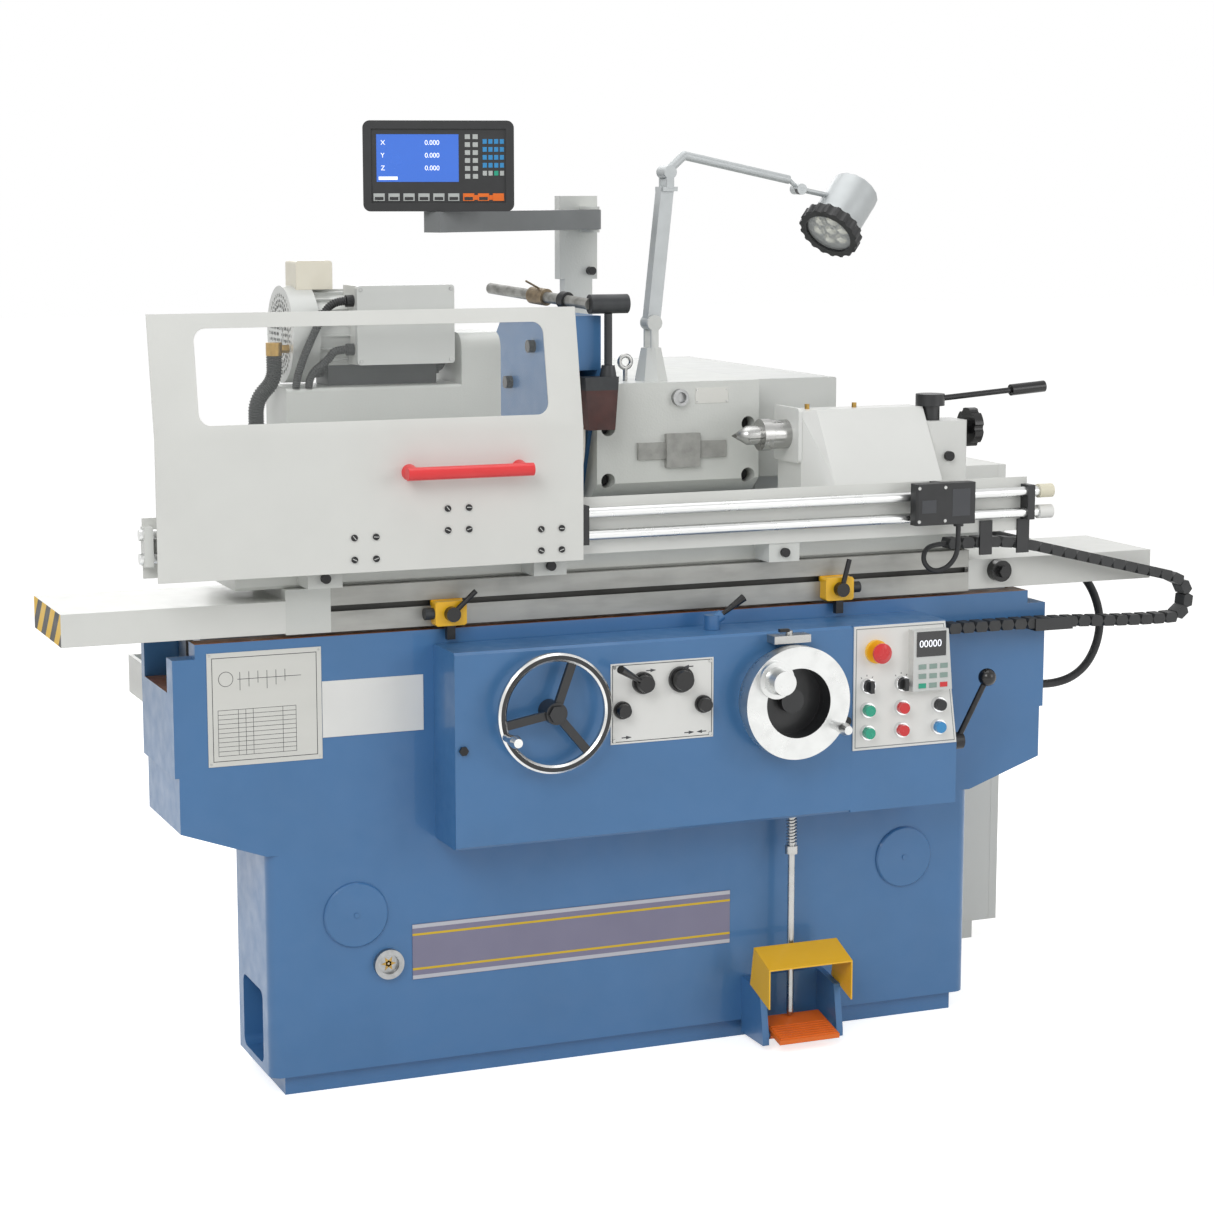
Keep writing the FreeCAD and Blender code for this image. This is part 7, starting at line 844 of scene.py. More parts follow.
@dataclass
class Bed:
    """Bed, its covers and plates, the guideways and the cabinet behind it."""

    trough_low: Place = (-914.0, -96.0, 700.0)
    trough_high: Place = (860.0, -28.0, 880.0)
    plate_front: float = -196.5
    plate: tuple[float, float, float, float] = (-843.0, -645.0, 655.0, 848.0)
    border_line: float = 1.2
    grid_line: float = 0.8
    grid_inset: float = 10.0
    grid_right: float = 40.0
    grid_rows: int = 11
    row_pitch: float = 8.5
    columns: tuple[float, ...] = (10.0, 48.0, 62.0, 76.0, 132.0, 157.0)
    column_top: float = 95.8
    ticks: int = 6
    tick_left: float = 52.0
    tick_pitch: float = 17.0
    tick_span: tuple[float, float] = (62.0, 28.0)
    tick_step: float = 6.0
    shaft: tuple[float, float, float] = (48.0, 30.0, 42.0)
    dial: tuple[float, float, float] = (26.0, 40.0, 14.0)
    pin_radius: float = 2.2
    pin_out: float = 4.0
    banner: tuple[float, float] = (-465.0, 201.0)
    yellow_lows: tuple[float, float] = (219.0, 286.5)
    yellow_height: float = 4.5
    pale_lows: tuple[float, float] = (201.5, 301.0)
    pale_height: float = 7.5
    sight: tuple[float, float] = (-514.0, 239.0)
    sight_front: float = -199.0
    star_points: int = 6
    star_reach: float = 15.0
    star_waist: float = 5.0
    star_spread: float = 1.2

    def body(self) -> None:
        """Blue castings, with the brown film of oil in the trough."""
        made = split(
            "bed_casting",
            Share("casting", BLUE, lambda c, s: s.x > 1000),
            Share("gutter", SHEET),
        )
        low, high = Vector(self.trough_low), Vector(self.trough_high)
        paint(made["casting"], OILY, lambda c, n: all(low[i] < c[i] < high[i] for i in range(3)))
        dress("guideways", GROUND)

    def plates(self) -> None:
        """Covers, oil sight and plates on the bed's front, all without words."""
        split(
            "front_fittings",
            Share("covers", BLUE, lambda c, s: abs(c.z - 340) < 5),
            Share("sight_window", SIGHT, lambda c, s: near(c, -514, -197, 239, 10) and s.x < 45),
            Share("sight_flange", NICKEL, lambda c, s: near(c, -514, -201, 239, 10)),
            Share("diagram_plate", PLATE, lambda c, s: near(c, -744, -196, 751)),
            Share("sign_plate", WHITE_PLATE, lambda c, s: near(c, -536, -196, 738)),
            Share("banner", BAND_VIOLET, lambda c, s: near(c, -132, -196, 255)),
            Share("knob_plate", WHITE_PLATE, lambda c, s: s.x > 200 and c.z > 700),
            Share("screws", SCREW, lambda c, s: s.x < 10),
            Share("bed_gland", BLACK, lambda c, s: c.x > 900),
            Share("panel", WHITE_PLATE),
        )

    def diagram(self) -> None:
        """Bare diagram plate: a border, a grid, a shaft with ticks, a dial and four pins."""
        front, line, thin = self.plate_front, self.border_line, self.grid_line
        left, right, low, high = self.plate
        rules = [
            rectangle(left, right, low, low + line, front),
            rectangle(left, right, high - line, high, front),
            rectangle(left, left + line, low, high, front),
            rectangle(right - line, right, low, high, front),
        ]
        for row in range(self.grid_rows):
            z = low + self.grid_inset + row * self.row_pitch
            rules.append(
                rectangle(left + self.grid_inset, right - self.grid_right, z, z + thin, front)
            )
        for column in self.columns:
            x = left + column
            rules.append(
                rectangle(x, x + thin, low + self.grid_inset, low + self.column_top, front)
            )
        tick_low, tick_high = high - self.tick_span[0], high - self.tick_span[1]
        for i in range(self.ticks):
            x, z = left + self.tick_left + self.tick_pitch * i, tick_low + self.tick_step * (i % 3)
            rules.append(rectangle(x, x + 1, z, tick_high, front))
        ends, z = (left + self.shaft[0], right - self.shaft[1]), high - self.shaft[2]
        rules.append(rectangle(*ends, z, z + 1, front))
        slab("diagram_plate_lines", rules, PRINT_DARK, "machine_base", 0.15)
        x, z, radius = left + self.dial[0], high - self.dial[1], self.dial[2]
        ring = ellipse(x, front, z, radius, radius)
        slab("diagram_plate_dial", [ring], PRINT_DARK, "machine_base", 0.15)
        face = ellipse(x, front - 0.15, z, radius - 1, radius - 1)
        slab("diagram_plate_dial_face", [face], PLATE, "machine_base", 0.1)
        size, out = self.pin_radius, self.pin_out
        pins = [
            ellipse(x, front, z, size, size, 16)
            for x in (left - out, right + out)
            for z in (low - out, high + out)
        ]
        slab("diagram_plate_pins", pins, SCREW, "machine_base", 0.8)

    def stripes(self) -> None:
        """Yellow and pale stripes of the banner, and the star on the oil sight."""
        front = self.plate_front
        yellow = [
            rectangle(*self.banner, z, z + self.yellow_height, front) for z in self.yellow_lows
        ]
        slab("banner_rules", yellow, BAND_YELLOW, "machine_base", PRINT_RISE)
        pale = [rectangle(*self.banner, z, z + self.pale_height, front) for z in self.pale_lows]
        slab("banner_pale_bands", pale, BAND_PALE, "machine_base", PRINT_RISE)
        star = []
        for i in range(self.star_points):
            turn = 2 * math.pi * i / self.star_points
            places = (
                (self.star_waist, turn - self.star_spread), (self.star_reach, turn),
                (self.star_waist, turn + self.star_spread),
            )
            star.append(
                [
                    mm(
                        self.sight[0] + reach * math.cos(angle), self.sight_front,
                        self.sight[1] + reach * math.sin(angle),
                    )
                    for reach, angle in places
                ]
            )
        slab("sight_star", star, BRASS, "machine_base", 0.4)

    def cabinet(self) -> None:
        """Electrical cabinet in powder-coated sheet."""
        split(
            "electrical_cabinet",
            Share("board", SCREW, lambda c, s: c.x > 474 and s.x < 10),
            Share("gland", BLACK, lambda c, s: c.y < 262),
            Share("panels", SHEET),
        )
        split("cabinet_door", Share("latch", BLACK_SCREW, lambda c, s: s.z < 60), Share("sheet", SHEET))

    def build(self) -> None:
        """Builds and dresses the group."""
        self.body()
        self.plates()
        self.diagram()
        self.stripes()
        self.cabinet()


@dataclass
class Apron:
    """Apron with its handwheels, knobs, levers and pedal."""

    table_wheel: tuple[float, float] = (-232.0, 729.0)
    feed_wheel: tuple[float, float] = (259.0, 716.0)
    rim_inside: float = 97.0
    dish: float = 68.0
    dish_front: float = -377.0
    clamp_screw: tuple[float, float, float, float] = (232.0, 252.0, 851.0, 857.0)
    clamp_front: float = -349.0
    marks: int = 100
    mark_lengths: tuple[float, float] = (9.0, 5.0)
    mark_half: float = 0.35
    dial_radius: float = 98.05
    dial_front: float = -347.5
    plate_front: float = -316.5
    plate_half: float = 103.5
    plate_heights: tuple[float, float] = (655.5, 803.9)
    plate_line: float = 1.4
    knobs: tuple[str, ...] = ("rapid_knob", "feed_knob", "left_stop_knob", "right_stop_knob")
    # Middle, height and way of each arrow on the knobs' plate.
    arrows: tuple[tuple[float, float, int], ...] = (
        (-72, 664, 1), (58, 664, 1), (80, 664, -1), (-22, 790, 1), (52, 792, -1),
    )
    arrow_tip: float = 9.0
    arrow_tail: float = 3.0
    arrow_half: float = 3.4

    def housing(self) -> None:
        """Blue housing with its plugs and index clamp."""
        split(
            "apron_housing",
            Share("index_clamp", BRIGHT, lambda c, s: near(c, 259, -332, 840, 12)),
            Share("plugs", BLACK_SCREW, lambda c, s: s.x < 30),
            Share("castings", BLUE),
        )
        base = rectangle(*self.clamp_screw, self.clamp_front)
        slab("index_clamp_screw", [base], BLACK_SCREW, "machine_base", -10)

    def wheels(self) -> None:
        """Bright rims, black spokes and turned dials."""
        x, z = self.table_wheel
        made = split(
            "table_handwheel",
            Share("grip", WHEEL_ALLOY, lambda c, s: c.y < -375),
            Share("hub_cap", BLACK_ENAMEL, lambda c, s: s.x < 40 and c.y < -355),
            Share("shaft", GROUND, lambda c, s: s.y > 150),
            Share("spider", BLACK_ENAMEL, lambda c, s: s.y > 30),
            Share("rim", WHEEL_ALLOY),
        )
        paint(
            made["rim"], BLACK_ENAMEL, lambda c, n: math.hypot(c.x - x, c.z - z) < self.rim_inside
        )
        x2, z2 = self.feed_wheel
        made = split(
            "infeed_handwheel",
            Share("ring", FEED_ALLOY, lambda c, s: s.x > 210),
            Share("drum", FEED_ALLOY, lambda c, s: s.x > 190),
            Share("hub", BLACK_ENAMEL, lambda c, s: near(c, 259, -342, 716, 10)),
            Share("dial_knob", FEED_ALLOY, lambda c, s: c.x < 215),
            Share("shaft", GROUND, lambda c, s: s.y > 80 and c.x < 300),
            Share("grip", FEED_ALLOY),
        )
        paint(
            made["ring"], BLACK_ENAMEL,
            lambda c, n: math.hypot(c.x - x2, c.z - z2) < self.dish and c.y > self.dish_front,
        )
        shape = bmesh.new()
        for i in range(self.marks):
            turn = 2 * math.pi * i / self.marks
            out = Vector((math.cos(turn), 0, math.sin(turn)))
            side = Vector((-math.sin(turn), 0, math.cos(turn))) * self.mark_half * MM
            foot = mm(x2, self.dial_front, z2) + out * self.dial_radius * MM
            back = -FRONT * self.mark_lengths[i % 10 > 0] * MM
            mark = [foot - side, foot + side, foot + side + back, foot - side + back]
            add_prism(shape, mark, out * PRINT_RISE * MM)
        from_bmesh("feed_dial_marks", shape, PRINT_DARK, "infeed_handwheel")

    def controls(self) -> None:
        """Knobs with their pointers, levers, the pedal and its spring."""
        for name in self.knobs:
            dress(name, PHENOLIC)
        arrows, front, half = [], self.plate_front, self.arrow_half
        for x, z, way in self.arrows:
            tip, tail = x + self.arrow_tip * way, x - self.arrow_tail * way
            arrows.append([mm(tail, front, z + half), mm(tail, front, z - half), mm(tip, front, z)])
            ends = sorted((tail, tail - self.arrow_tip * way))
            arrows.append(rectangle(*ends, z - 1, z + 1, front))
        slab("knob_plate_arrows", arrows, PRINT_DARK, "machine_base", 0.15)
        (low, high), wide, line = self.plate_heights, self.plate_half, self.plate_line
        rim = [
            rectangle(0.5 - wide, wide - 0.5, low, low + line, front),
            rectangle(0.5 - wide, wide - 0.5, high - line, high, front),
            rectangle(-wide, line - wide, low, high, front),
            rectangle(wide - line, wide, low, high, front),
        ]
        slab("knob_plate_border", rim, PRINT_DARK, "machine_base", PRINT_RISE)
        split(
            "reversing_lever",
            Share("grip", PHENOLIC, lambda c, s: c.z > 880),
            Share("housing", BLUE),
        )
        split(
            "start_lever",
            Share("ball", PHENOLIC, lambda c, s: c.z > 720),
            Share("rod", BLACK_SCREW, lambda c, s: s.z > 80),
            Share("hub", BLACK_ENAMEL),
        )
        split(
            "pedal_bracket",
            Share("hood", YELLOW, lambda c, s: s.z < 110 and c.z > 120),
            Share("bracket", BLUE),
        )
        dress("foot_pedal", ORANGE)
        dress("pedal_rod", BRIGHT)
        dress("pedal_spring", SPRING)

    def build(self) -> None:
        """Builds and dresses the group."""
        self.housing()
        self.wheels()
        self.controls()


@dataclass
class ControlPanel:
    """Control panel at the apron's right end."""

    front: float = -318.0
    raised: float = -339.0
    # Place of the panel's own corners among those of the front fittings.
    sides: tuple[float, float] = (405.0, 645.0)
    sheet_front: float = -317.5
    border: tuple[float, float] = (0.965, 0.95)
    display: tuple[float, float, float] = (534.0, 602.0, 775.0)
    keys_left: float = 540.5
    key_pitch: float = 24.0
    key_size: tuple[float, float] = (17.0, 10.0)
    digits: tuple[float, float, float] = (541.0, -339.5, 800.0)
    digit_height: float = 14.0
    selectors: tuple[float, float] = (437.0, 513.0)
    selector_z: float = 728.0
    mark_reach: float = 18.0
    mark_size: tuple[float, float] = (0.7, 3.5)
    mark_turn: float = 38.0

    def line(self) -> None:
        """Grey line round the plate."""
        shape = bmesh.new()
        left, right = self.sides
        corners = [v.co / MM for v in frame["nodes"]["front_fittings"].data.vertices]
        points = {
            (round(p.x, 2), round(p.z, 2))
            for p in corners
            if left < p.x < right and p.y < self.sheet_front
        }
        hull = bmesh.new()
        verts = [hull.verts.new((x, z, 0)) for x, z in points]
        kept = bmesh.ops.convex_hull(hull, input=verts)["geom"]
        ring = [v.co.xy.copy() for v in kept if isinstance(v, bmesh.types.BMVert)]
        hull.free()
        wide, high = [p.x for p in ring], [p.y for p in ring]
        middle = Vector((min(wide) + max(wide), min(high) + max(high))) / 2
        ring.sort(key=lambda p: math.atan2(p.y - middle.y, p.x - middle.x))
        outer, inner = [[middle + (p - middle) * share for p in ring] for share in self.border]
        for i in range(len(ring)):
            j = (i + 1) % len(ring)
            quad = [outer[i], outer[j], inner[j], inner[i]]
            add_prism(shape, [mm(p.x, self.front, p.y) for p in quad], FRONT * PRINT_RISE * MM)
        from_bmesh("panel_border", shape, PRINT_GREY, "machine_base")

    def hardware(self) -> None:
        """Chromed bezels, the yellow collar and the keypad."""
        made = split(
            "panel_hardware",
            Share("keypad", KEYPAD, lambda c, s: c.x > 530 and c.z > 740),
            Share("stop_collar", YELLOW, lambda c, s: c.z > 760),
            Share("bezels", CHROME),
        )
        pad = made["keypad"]
        left, right, low = self.display
        paint(
            pad, DARK_GLASS, lambda c, n: c.z > low and c.y < self.raised and left < c.x < right
        )
        wide, high = self.key_size
        rows = ((718, (GREEN, KEY_TEAL, RED)), (737, (KEY_TEAL,) * 3), (756, (KEY_TEAL,) * 3))
        for low_key, row in rows:
            for column, finish in enumerate(row):
                left_key = self.keys_left + self.key_pitch * column
                paint(
                    pad, finish,
                    lambda c, n, a=left_key, b=low_key: c.y < self.raised
                    and a - 0.5 < c.x < a + wide + 0.5
                    and b - 1 < c.z < b + high + 1,
                )
        place = upright(*self.digits)
        words("keypad_digits", "00000", self.digit_height, place, DIGITS, "machine_base")

    def buttons(self) -> None:
        """Buttons, selectors and the emergency stop."""
        for name, finish in (
            ("stop_button", RED), ("start_button", GREEN), ("pump_button", GREEN),
            ("wheel_stop_button", RED), ("pump_stop_button", RED), ("wheel_start_button", BLACK),
            ("feed_button", SKY), ("coolant_selector", BLACK), ("work_selector", BLACK),
        ):
            dress(name, finish)
        marks = []
        half, length = self.mark_size
        for x in self.selectors:
            for side in (-1, 0, 1):
                angle = math.radians(90 + self.mark_turn * side)
                out = Vector((math.cos(angle), 0, math.sin(angle)))
                foot = mm(x, self.front, self.selector_z) + out * self.mark_reach * MM
                tip = foot + out * length * MM
                across = Vector((-out.z, 0, out.x)) * half * MM
                marks.append([foot - across, foot + across, tip + across, tip - across])
        slab("selector_marks", marks, PRINT_DARK, "machine_base", PRINT_RISE)

    def build(self) -> None:
        """Builds and dresses the group."""
        self.line()
        self.hardware()
        self.buttons()


@dataclass
class Table:
    """Lower and upper table, end covers, dogs and the cable chain."""

    painted_end: float = -614.0
    slot_low: float = 900.0
    slot_high: float = 950.0
    slot_front: float = -189.5
    slot_back: float = -160.0
    striped_end: float = -1110.0
    chain_low: Place = (900.0, -220.0, 812.0)
    chain_high: Place = (900.0, -220.0, 985.0)

    def tables(self) -> None:
        """Ground front with its slot and a painted end; hammered upper table."""
        table = split(
            "lower_table", Share("rack", GROUND, lambda c, s: s.z < 30), Share("table", TABLE)
        )["table"]
        slice_at(table, mm(self.painted_end, 0, 0), RIGHT)
        paint(table, PEBBLED, lambda c, n: c.x < self.painted_end)
        paint(
            table, DARK_SLOT,
            lambda c, n: self.slot_low < c.z < self.slot_high
            and self.slot_front < c.y < self.slot_back
            and c.x > self.painted_end,
        )
        dress("upper_table", PEBBLED)

    def covers(self) -> None:
        """Folded sheet covers, the left end striped."""
        made = split(
            "table_covers",
            Share("knob", PHENOLIC, lambda c, s: s.x < 60),
            Share("left", SHEET, lambda c, s: c.x < 0),
            Share("right", SHEET),
        )
        paint(made["left"], HAZARD, lambda c, n: c.x < self.striped_end and n.x < -0.7)

    def dogs(self) -> None:
        """Yellow dogs with star knobs, levers and bumpers."""
        for node, bumper in (("left_dog", DARK_GREY), ("right_dog", BLACK)):
            split(
                node,
                Share("star_knob", PHENOLIC, lambda c, s: c.y < -223 and s.y > 13),
                Share("lever", BLACK_SCREW, lambda c, s: c.z > 925),
                Share("pawl", BLACK_SCREW, lambda c, s: c.z < 880),
                Share("bumper", bumper, lambda c, s: s.z < 40),
                Share("body", YELLOW),
            )

    def chain(self) -> None:
        """Link chain that rolls over as the table travels, on its tray."""
        made = split(
            "cable_chain",
            Share("tray", BLACK_ENAMEL, lambda c, s: s.x > 60, "machine_base"),
            Share("links", CHAIN),
        )
        # The links ride on two bodies, so they leave the one that they were made on.
        links = made["links"]
        links.parent = None
        links.matrix_world = Matrix.Identity(4)
        del links["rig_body"]
        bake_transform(links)

    def build(self) -> None:
        """Builds and dresses the group."""
        self.tables()
        self.covers()
        self.dogs()
        self.chain()


@dataclass
class Guard:
    """Splash guard: sheet, rails, sliding door, handle and switch box."""

    screws: tuple[tuple[float, float], ...] = (
        (-597, 1068), (-597, 1028), (-556, 1068), (-556, 1028), (-418, 1114), (-418, 1074),
        (-377, 1114), (-377, 1074), (-235, 1066), (-235, 1026), (-194, 1066), (-194, 1026),
    )
    screw_front: float = -291.0
    slot_size: tuple[float, float] = (4.6, 0.7)
    slot_turns: tuple[float, float] = (-50.0, 23.0)
    switch_front: float = -306.0
    switch_screw: float = 3.4

    def rails(self) -> None:
        """Fixed sheet, rails, brackets and end caps."""
        split(
            "guard_frame",
            Share("rails", RAIL, lambda c, s: s.x > 1000 and s.z < 30),
            Share("upper_cap", IVORY, lambda c, s: c.x > 850 and c.z > 1080),
            Share("lower_cap", WHITE_PLATE, lambda c, s: c.x > 850),
            Share("sheet", SHEET, lambda c, s: s.x > 1000),
            Share("posts", PEBBLED, lambda c, s: s.y > 60),
            Share("bolts", BLACK_SCREW, lambda c, s: s.x < 20 and s.z < 20),
            Share("left_bracket", PEBBLED, lambda c, s: c.x < -900),
            Share("brackets", BLACK_ENAMEL),
        )

    def door(self) -> None:
        """Sliding door with its clear pane, slotted screws and red handle."""
        split(
            "guard_door",
            Share("sheet", SHEET, lambda c, s: s.x > 750),
            Share("pane", PANE, lambda c, s: s.x > 600),
            Share("carriages", BLACK, lambda c, s: s.x > 40),
            Share("screws", BLACK_SCREW),
        )
        slots = []
        for i, (x, z) in enumerate(self.screws):
            angle = math.radians(self.slot_turns[0] + self.slot_turns[1] * (i % 4))
            along = Vector((math.cos(angle), 0, math.sin(angle)))
            across = Vector((-math.sin(angle), 0, math.cos(angle)))
            middle = mm(x, self.screw_front, z)
            a, b = along * self.slot_size[0] * MM, across * self.slot_size[1] * MM
            slots.append([middle - a - b, middle + a - b, middle + a + b, middle - a + b])
        slab("door_screw_slots", slots, SCREW, "sliding_door", 0.1)
        dress("door_handle", HANDLE_RED)

    def switch(self) -> None:
        """Black switch box with two bare label places."""
        split("switch_box", Share("all", BLACK))
        front, size = self.switch_front, self.switch_screw
        labels = [rectangle(560, 592, 1060, 1086, front), rectangle(628, 668, 1052, 1106, front)]
        slab("switch_label_places", labels, PRINT_DARK, "swivel_table", 0.25)
        screws = [ellipse(x, front, z, size, size, 20) for x in (554, 612) for z in (1044, 1110)]
        slab("switch_screws", screws, SCREW, "swivel_table", 0.9)

    def build(self) -> None:
        """Builds and dresses the group."""
        self.rails()
        self.door()
        self.switch()


@dataclass
class Workhead:
    """Workhead with its motor, conduits and spindle."""

    cowl_x: float = -660.0
    cowl_y: float = -45.0
    cowl_z: float = 1424.0
    # Height below which the motor body is painted dark grey as painted shade.
    shaded_below_z: float = 1368.0
    # Lowest height and leftmost place of the head's left face, which is painted black as painted shade.
    shaded_face_low: float = 1330.0
    shaded_face_left: float = -339.0
    # Radius of each ring of holes in the cowl, and how many it has.
    hole_rings: tuple[tuple[float, int], ...] = (
        (12, 6), (22, 12), (32, 18), (42, 24), (52, 30), (62, 36),
    )
    hole_radius: float = 3.0
    hole_sides: int = 10
    upper_route: tuple[Place, ...] = (
        (-563, -146, 1488), (-587, -146, 1488), (-611, -146, 1459.1), (-660, -146, 1354),
        (-660, -146, 1330),
    )
    lower_route: tuple[Place, ...] = (
        (-563, -146, 1399), (-587, -146, 1399), (-596, -146, 1382), (-636, -146, 1354),
        (-636, -146, 1330),
    )
    conduit_radius: float = 8.0
    conduit_pitch: float = 4.2

    def motor(self) -> None:
        """Painted die-cast motor with painted shade on its lower part, fan cowl with black discs of painted shade
        for its holes, and terminal box.
        """
        made = split(
            "workhead_motor",
            Share("cap", CREAM, lambda c, s: c.z > 1520),
            Share("screws", SCREW, lambda c, s: s.x < 10),
            Share("nuts", BLACK, lambda c, s: s.x < 20),
            Share("terminal_lid", SMOOTH_GREY, lambda c, s: s.y < 20),
            Share("terminal_box", SHEET, lambda c, s: s.y < 80 and c.z > 1430),
            Share("cowl", SMOOTH_GREY, lambda c, s: s.x < 60),
            Share("body", SMOOTH_GREY),
        )
        # Painted shade: the motor body below this height is painted dark grey, where it lies in shade behind the
        # hoses.
        slice_at(made["body"], mm(0, 0, self.shaded_below_z), UP)
        paint(made["body"], DARK_GREY, lambda c, n: c.z < self.shaded_below_z)
        # Painted shade: each hole in the cowl is a thin black disc on its face, for the shade seen through it.
        shape = bmesh.new()
        for radius, count in self.hole_rings:
            for i in range(count):
                turn = 2 * math.pi * i / count
                middle = mm(
                    self.cowl_x, self.cowl_y + radius * math.cos(turn),
                    self.cowl_z + radius * math.sin(turn),
                )
                spokes = [spoke(t, self.hole_sides, self.hole_radius) for t in range(self.hole_sides)]
                ring = [middle + Vector((0, s.x, s.y)) for s in spokes]
                add_prism(shape, ring, -RIGHT * 0.15 * MM)
        from_bmesh("cowl_hole_painted_shade", shape, BLACK, "swivel_table")

    def hoses(self) -> None:
        """Corrugated conduits and hose."""
        made = split(
            "workhead_hoses",
            Share("elbow", BRASS, lambda c, s: c.z > 1385 and s.z < 40),
            Share("drain_hose", HOSE, lambda c, s: c.x < -690),
            Share("plain_conduits", HOSE),
        )
        # The plain conduits give way to ribbed ones on the same routes.
        bpy.data.objects.remove(made["plain_conduits"])
        routes = (("upper_conduit", self.upper_route), ("lower_conduit", self.lower_route))
        for name, route in routes:
            hose = corrugated(
                name, route, self.conduit_radius, self.conduit_pitch, HOSE, "swivel_table"
            )
            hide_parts("workhead_hoses")

    def build(self) -> None:
        """Builds and dresses the group."""
        made = split("workhead_body", Share("castings", PEBBLED))
        # Painted shade: the head's face turned to the left is painted black, where it lies in shade.
        paint(
            made["castings"], BLACK_ENAMEL,
            lambda c, n: c.z > self.shaded_face_low and c.x < self.shaded_face_left and n.x < -0.9,
        )
        self.motor()
        self.hoses()
        split(
            "workhead_spindle",
            Share("pin", BLACK_SCREW, lambda c, s: s.z < 14),
            Share("spindle", GROUND),
        )


@dataclass
class Tailstock:
    """Tailstock with quill, lever and knob."""

    def build(self) -> None:
        """Builds and dresses the group."""
        split(
            "tailstock_body",
            Share("oilers", BRASS, lambda c, s: s.x < 12 and s.z < 12),
            Share("end_plate", BLACK_ENAMEL, lambda c, s: s.x < 12),
            Share("screw", BLACK_SCREW, lambda c, s: s.x < 25),
            Share("casting", WHITE_ENAMEL),
        )
        split("tailstock_quill", Share("quill", BRIGHT))
        split(
            "tailstock_lever",
            Share("hub", BLACK_ENAMEL, lambda c, s: c.x < 720),
            Share("grip", PHENOLIC, lambda c, s: c.x > 900),
            Share("rod", BLACK_SCREW),
        )
        dress("tailstock_knob", PHENOLIC)


@dataclass
class Wheelhead:
    """Wheelhead, its guard, wheel, fittings and coolant pipe."""

    raw_low: Place = (90.0, -math.inf, 1130.0)
    raw_high: Place = (295.0, 29.5, 1210.0)
    plate: tuple[float, float, float, float] = (222.0, 296.0, 1262.0, 1294.0)
    plate_front: float = 30.0
    plate_rise: float = 0.6
    pin_inset: float = 4.0
    box_split: float = 1300.0

    def casting(self) -> None:
        """Hammered casting with a rough cross block, smooth belt box, sight glass and bolts."""
        dress("wheelhead_slide", PEBBLED)
        made = split(
            "wheelhead_body",
            Share("belts", RUBBER, lambda c, s: s.x < 20 and s.y > 300),
            Share("bolts", BLACK_SCREW, lambda c, s: s.x < 30 and s.z < 30 and s.y > 8),
            Share("sight_window", SIGHT, lambda c, s: s.x < 25 and s.z < 30),
            Share("sight_ring", NICKEL, lambda c, s: s.x < 40 and s.z < 50),
            Share("cover", SMOOTH_GREY, lambda c, s: s.x < 100),
            Share("belt_box", SMOOTH_GREY, lambda c, s: c.x > 400),
            Share("casting", PEBBLED),
        )
        low, high = self.raw_low, self.raw_high
        paint(
            made["casting"], RAW_CAST, lambda c, n: all(low[i] < c[i] < high[i] for i in range(3))
        )
        plate = rectangle(*self.plate, self.plate_front)
        slab("wheelhead_bare_plate", [plate], PLATE, "wheelhead", self.plate_rise)
        left, right, bottom, top = self.plate
        front, inset = self.plate_front - self.plate_rise, self.pin_inset
        pins = [
            ellipse(x, front, z, 2, 2, 14)
            for x in (left + inset, right - inset)
            for z in (bottom + inset, top - inset)
        ]
        slab("wheelhead_plate_pins", pins, SCREW, "wheelhead", 0.8)

    def guard(self) -> None:
        """Blue wheel guard with its knobs, and the wheel."""
        split(
            "wheel_guard", Share("knobs", PHENOLIC, lambda c, s: s.x < 20), Share("guard", BLUE)
        )
        split(
            "grinding_wheel",
            Share("abrasive", ABRASIVE, lambda c, s: s.z > 250),
            Share("steel", GROUND),
        )
        dress("motor_pulley", RAW_CAST)

    def coolant(self) -> None:
        """Coolant pipe, valve, tee, riser and nozzle box."""
        made = split(
            "coolant_nozzle",
            Share("pipe", PIPE, lambda c, s: s.y > 200),
            Share("valve", VALVE, lambda c, s: c.y > 90),
            Share("collar", BLACK, lambda c, s: c.y > 30),
            Share("tee", DARK_GREY, lambda c, s: c.z > 1455),
            Share("riser", DARK_GREY, lambda c, s: c.z > 1380),
            Share("box", RUST_RED),
        )
        slice_at(made["box"], mm(0, 0, self.box_split), UP)
        paint(made["box"], DARK_GREY, lambda c, n: c.z > self.box_split)

    def fittings(self) -> None:
        """Lamp foot, readout post, its knob and the lifting eye."""
        split(
            "wheelhead_fittings",
            Share("post_bolt", BLACK_SCREW, lambda c, s: s.x < 20),
            Share("lifting_eye", BRIGHT, lambda c, s: s.y < 12),
            Share("post", PEBBLED, lambda c, s: s.z > 300),
            Share("lamp_foot", SMOOTH_GREY),
        )

    def build(self) -> None:
        """Builds and dresses the group."""
        self.casting()
        self.guard()
        self.coolant()
        self.fittings()


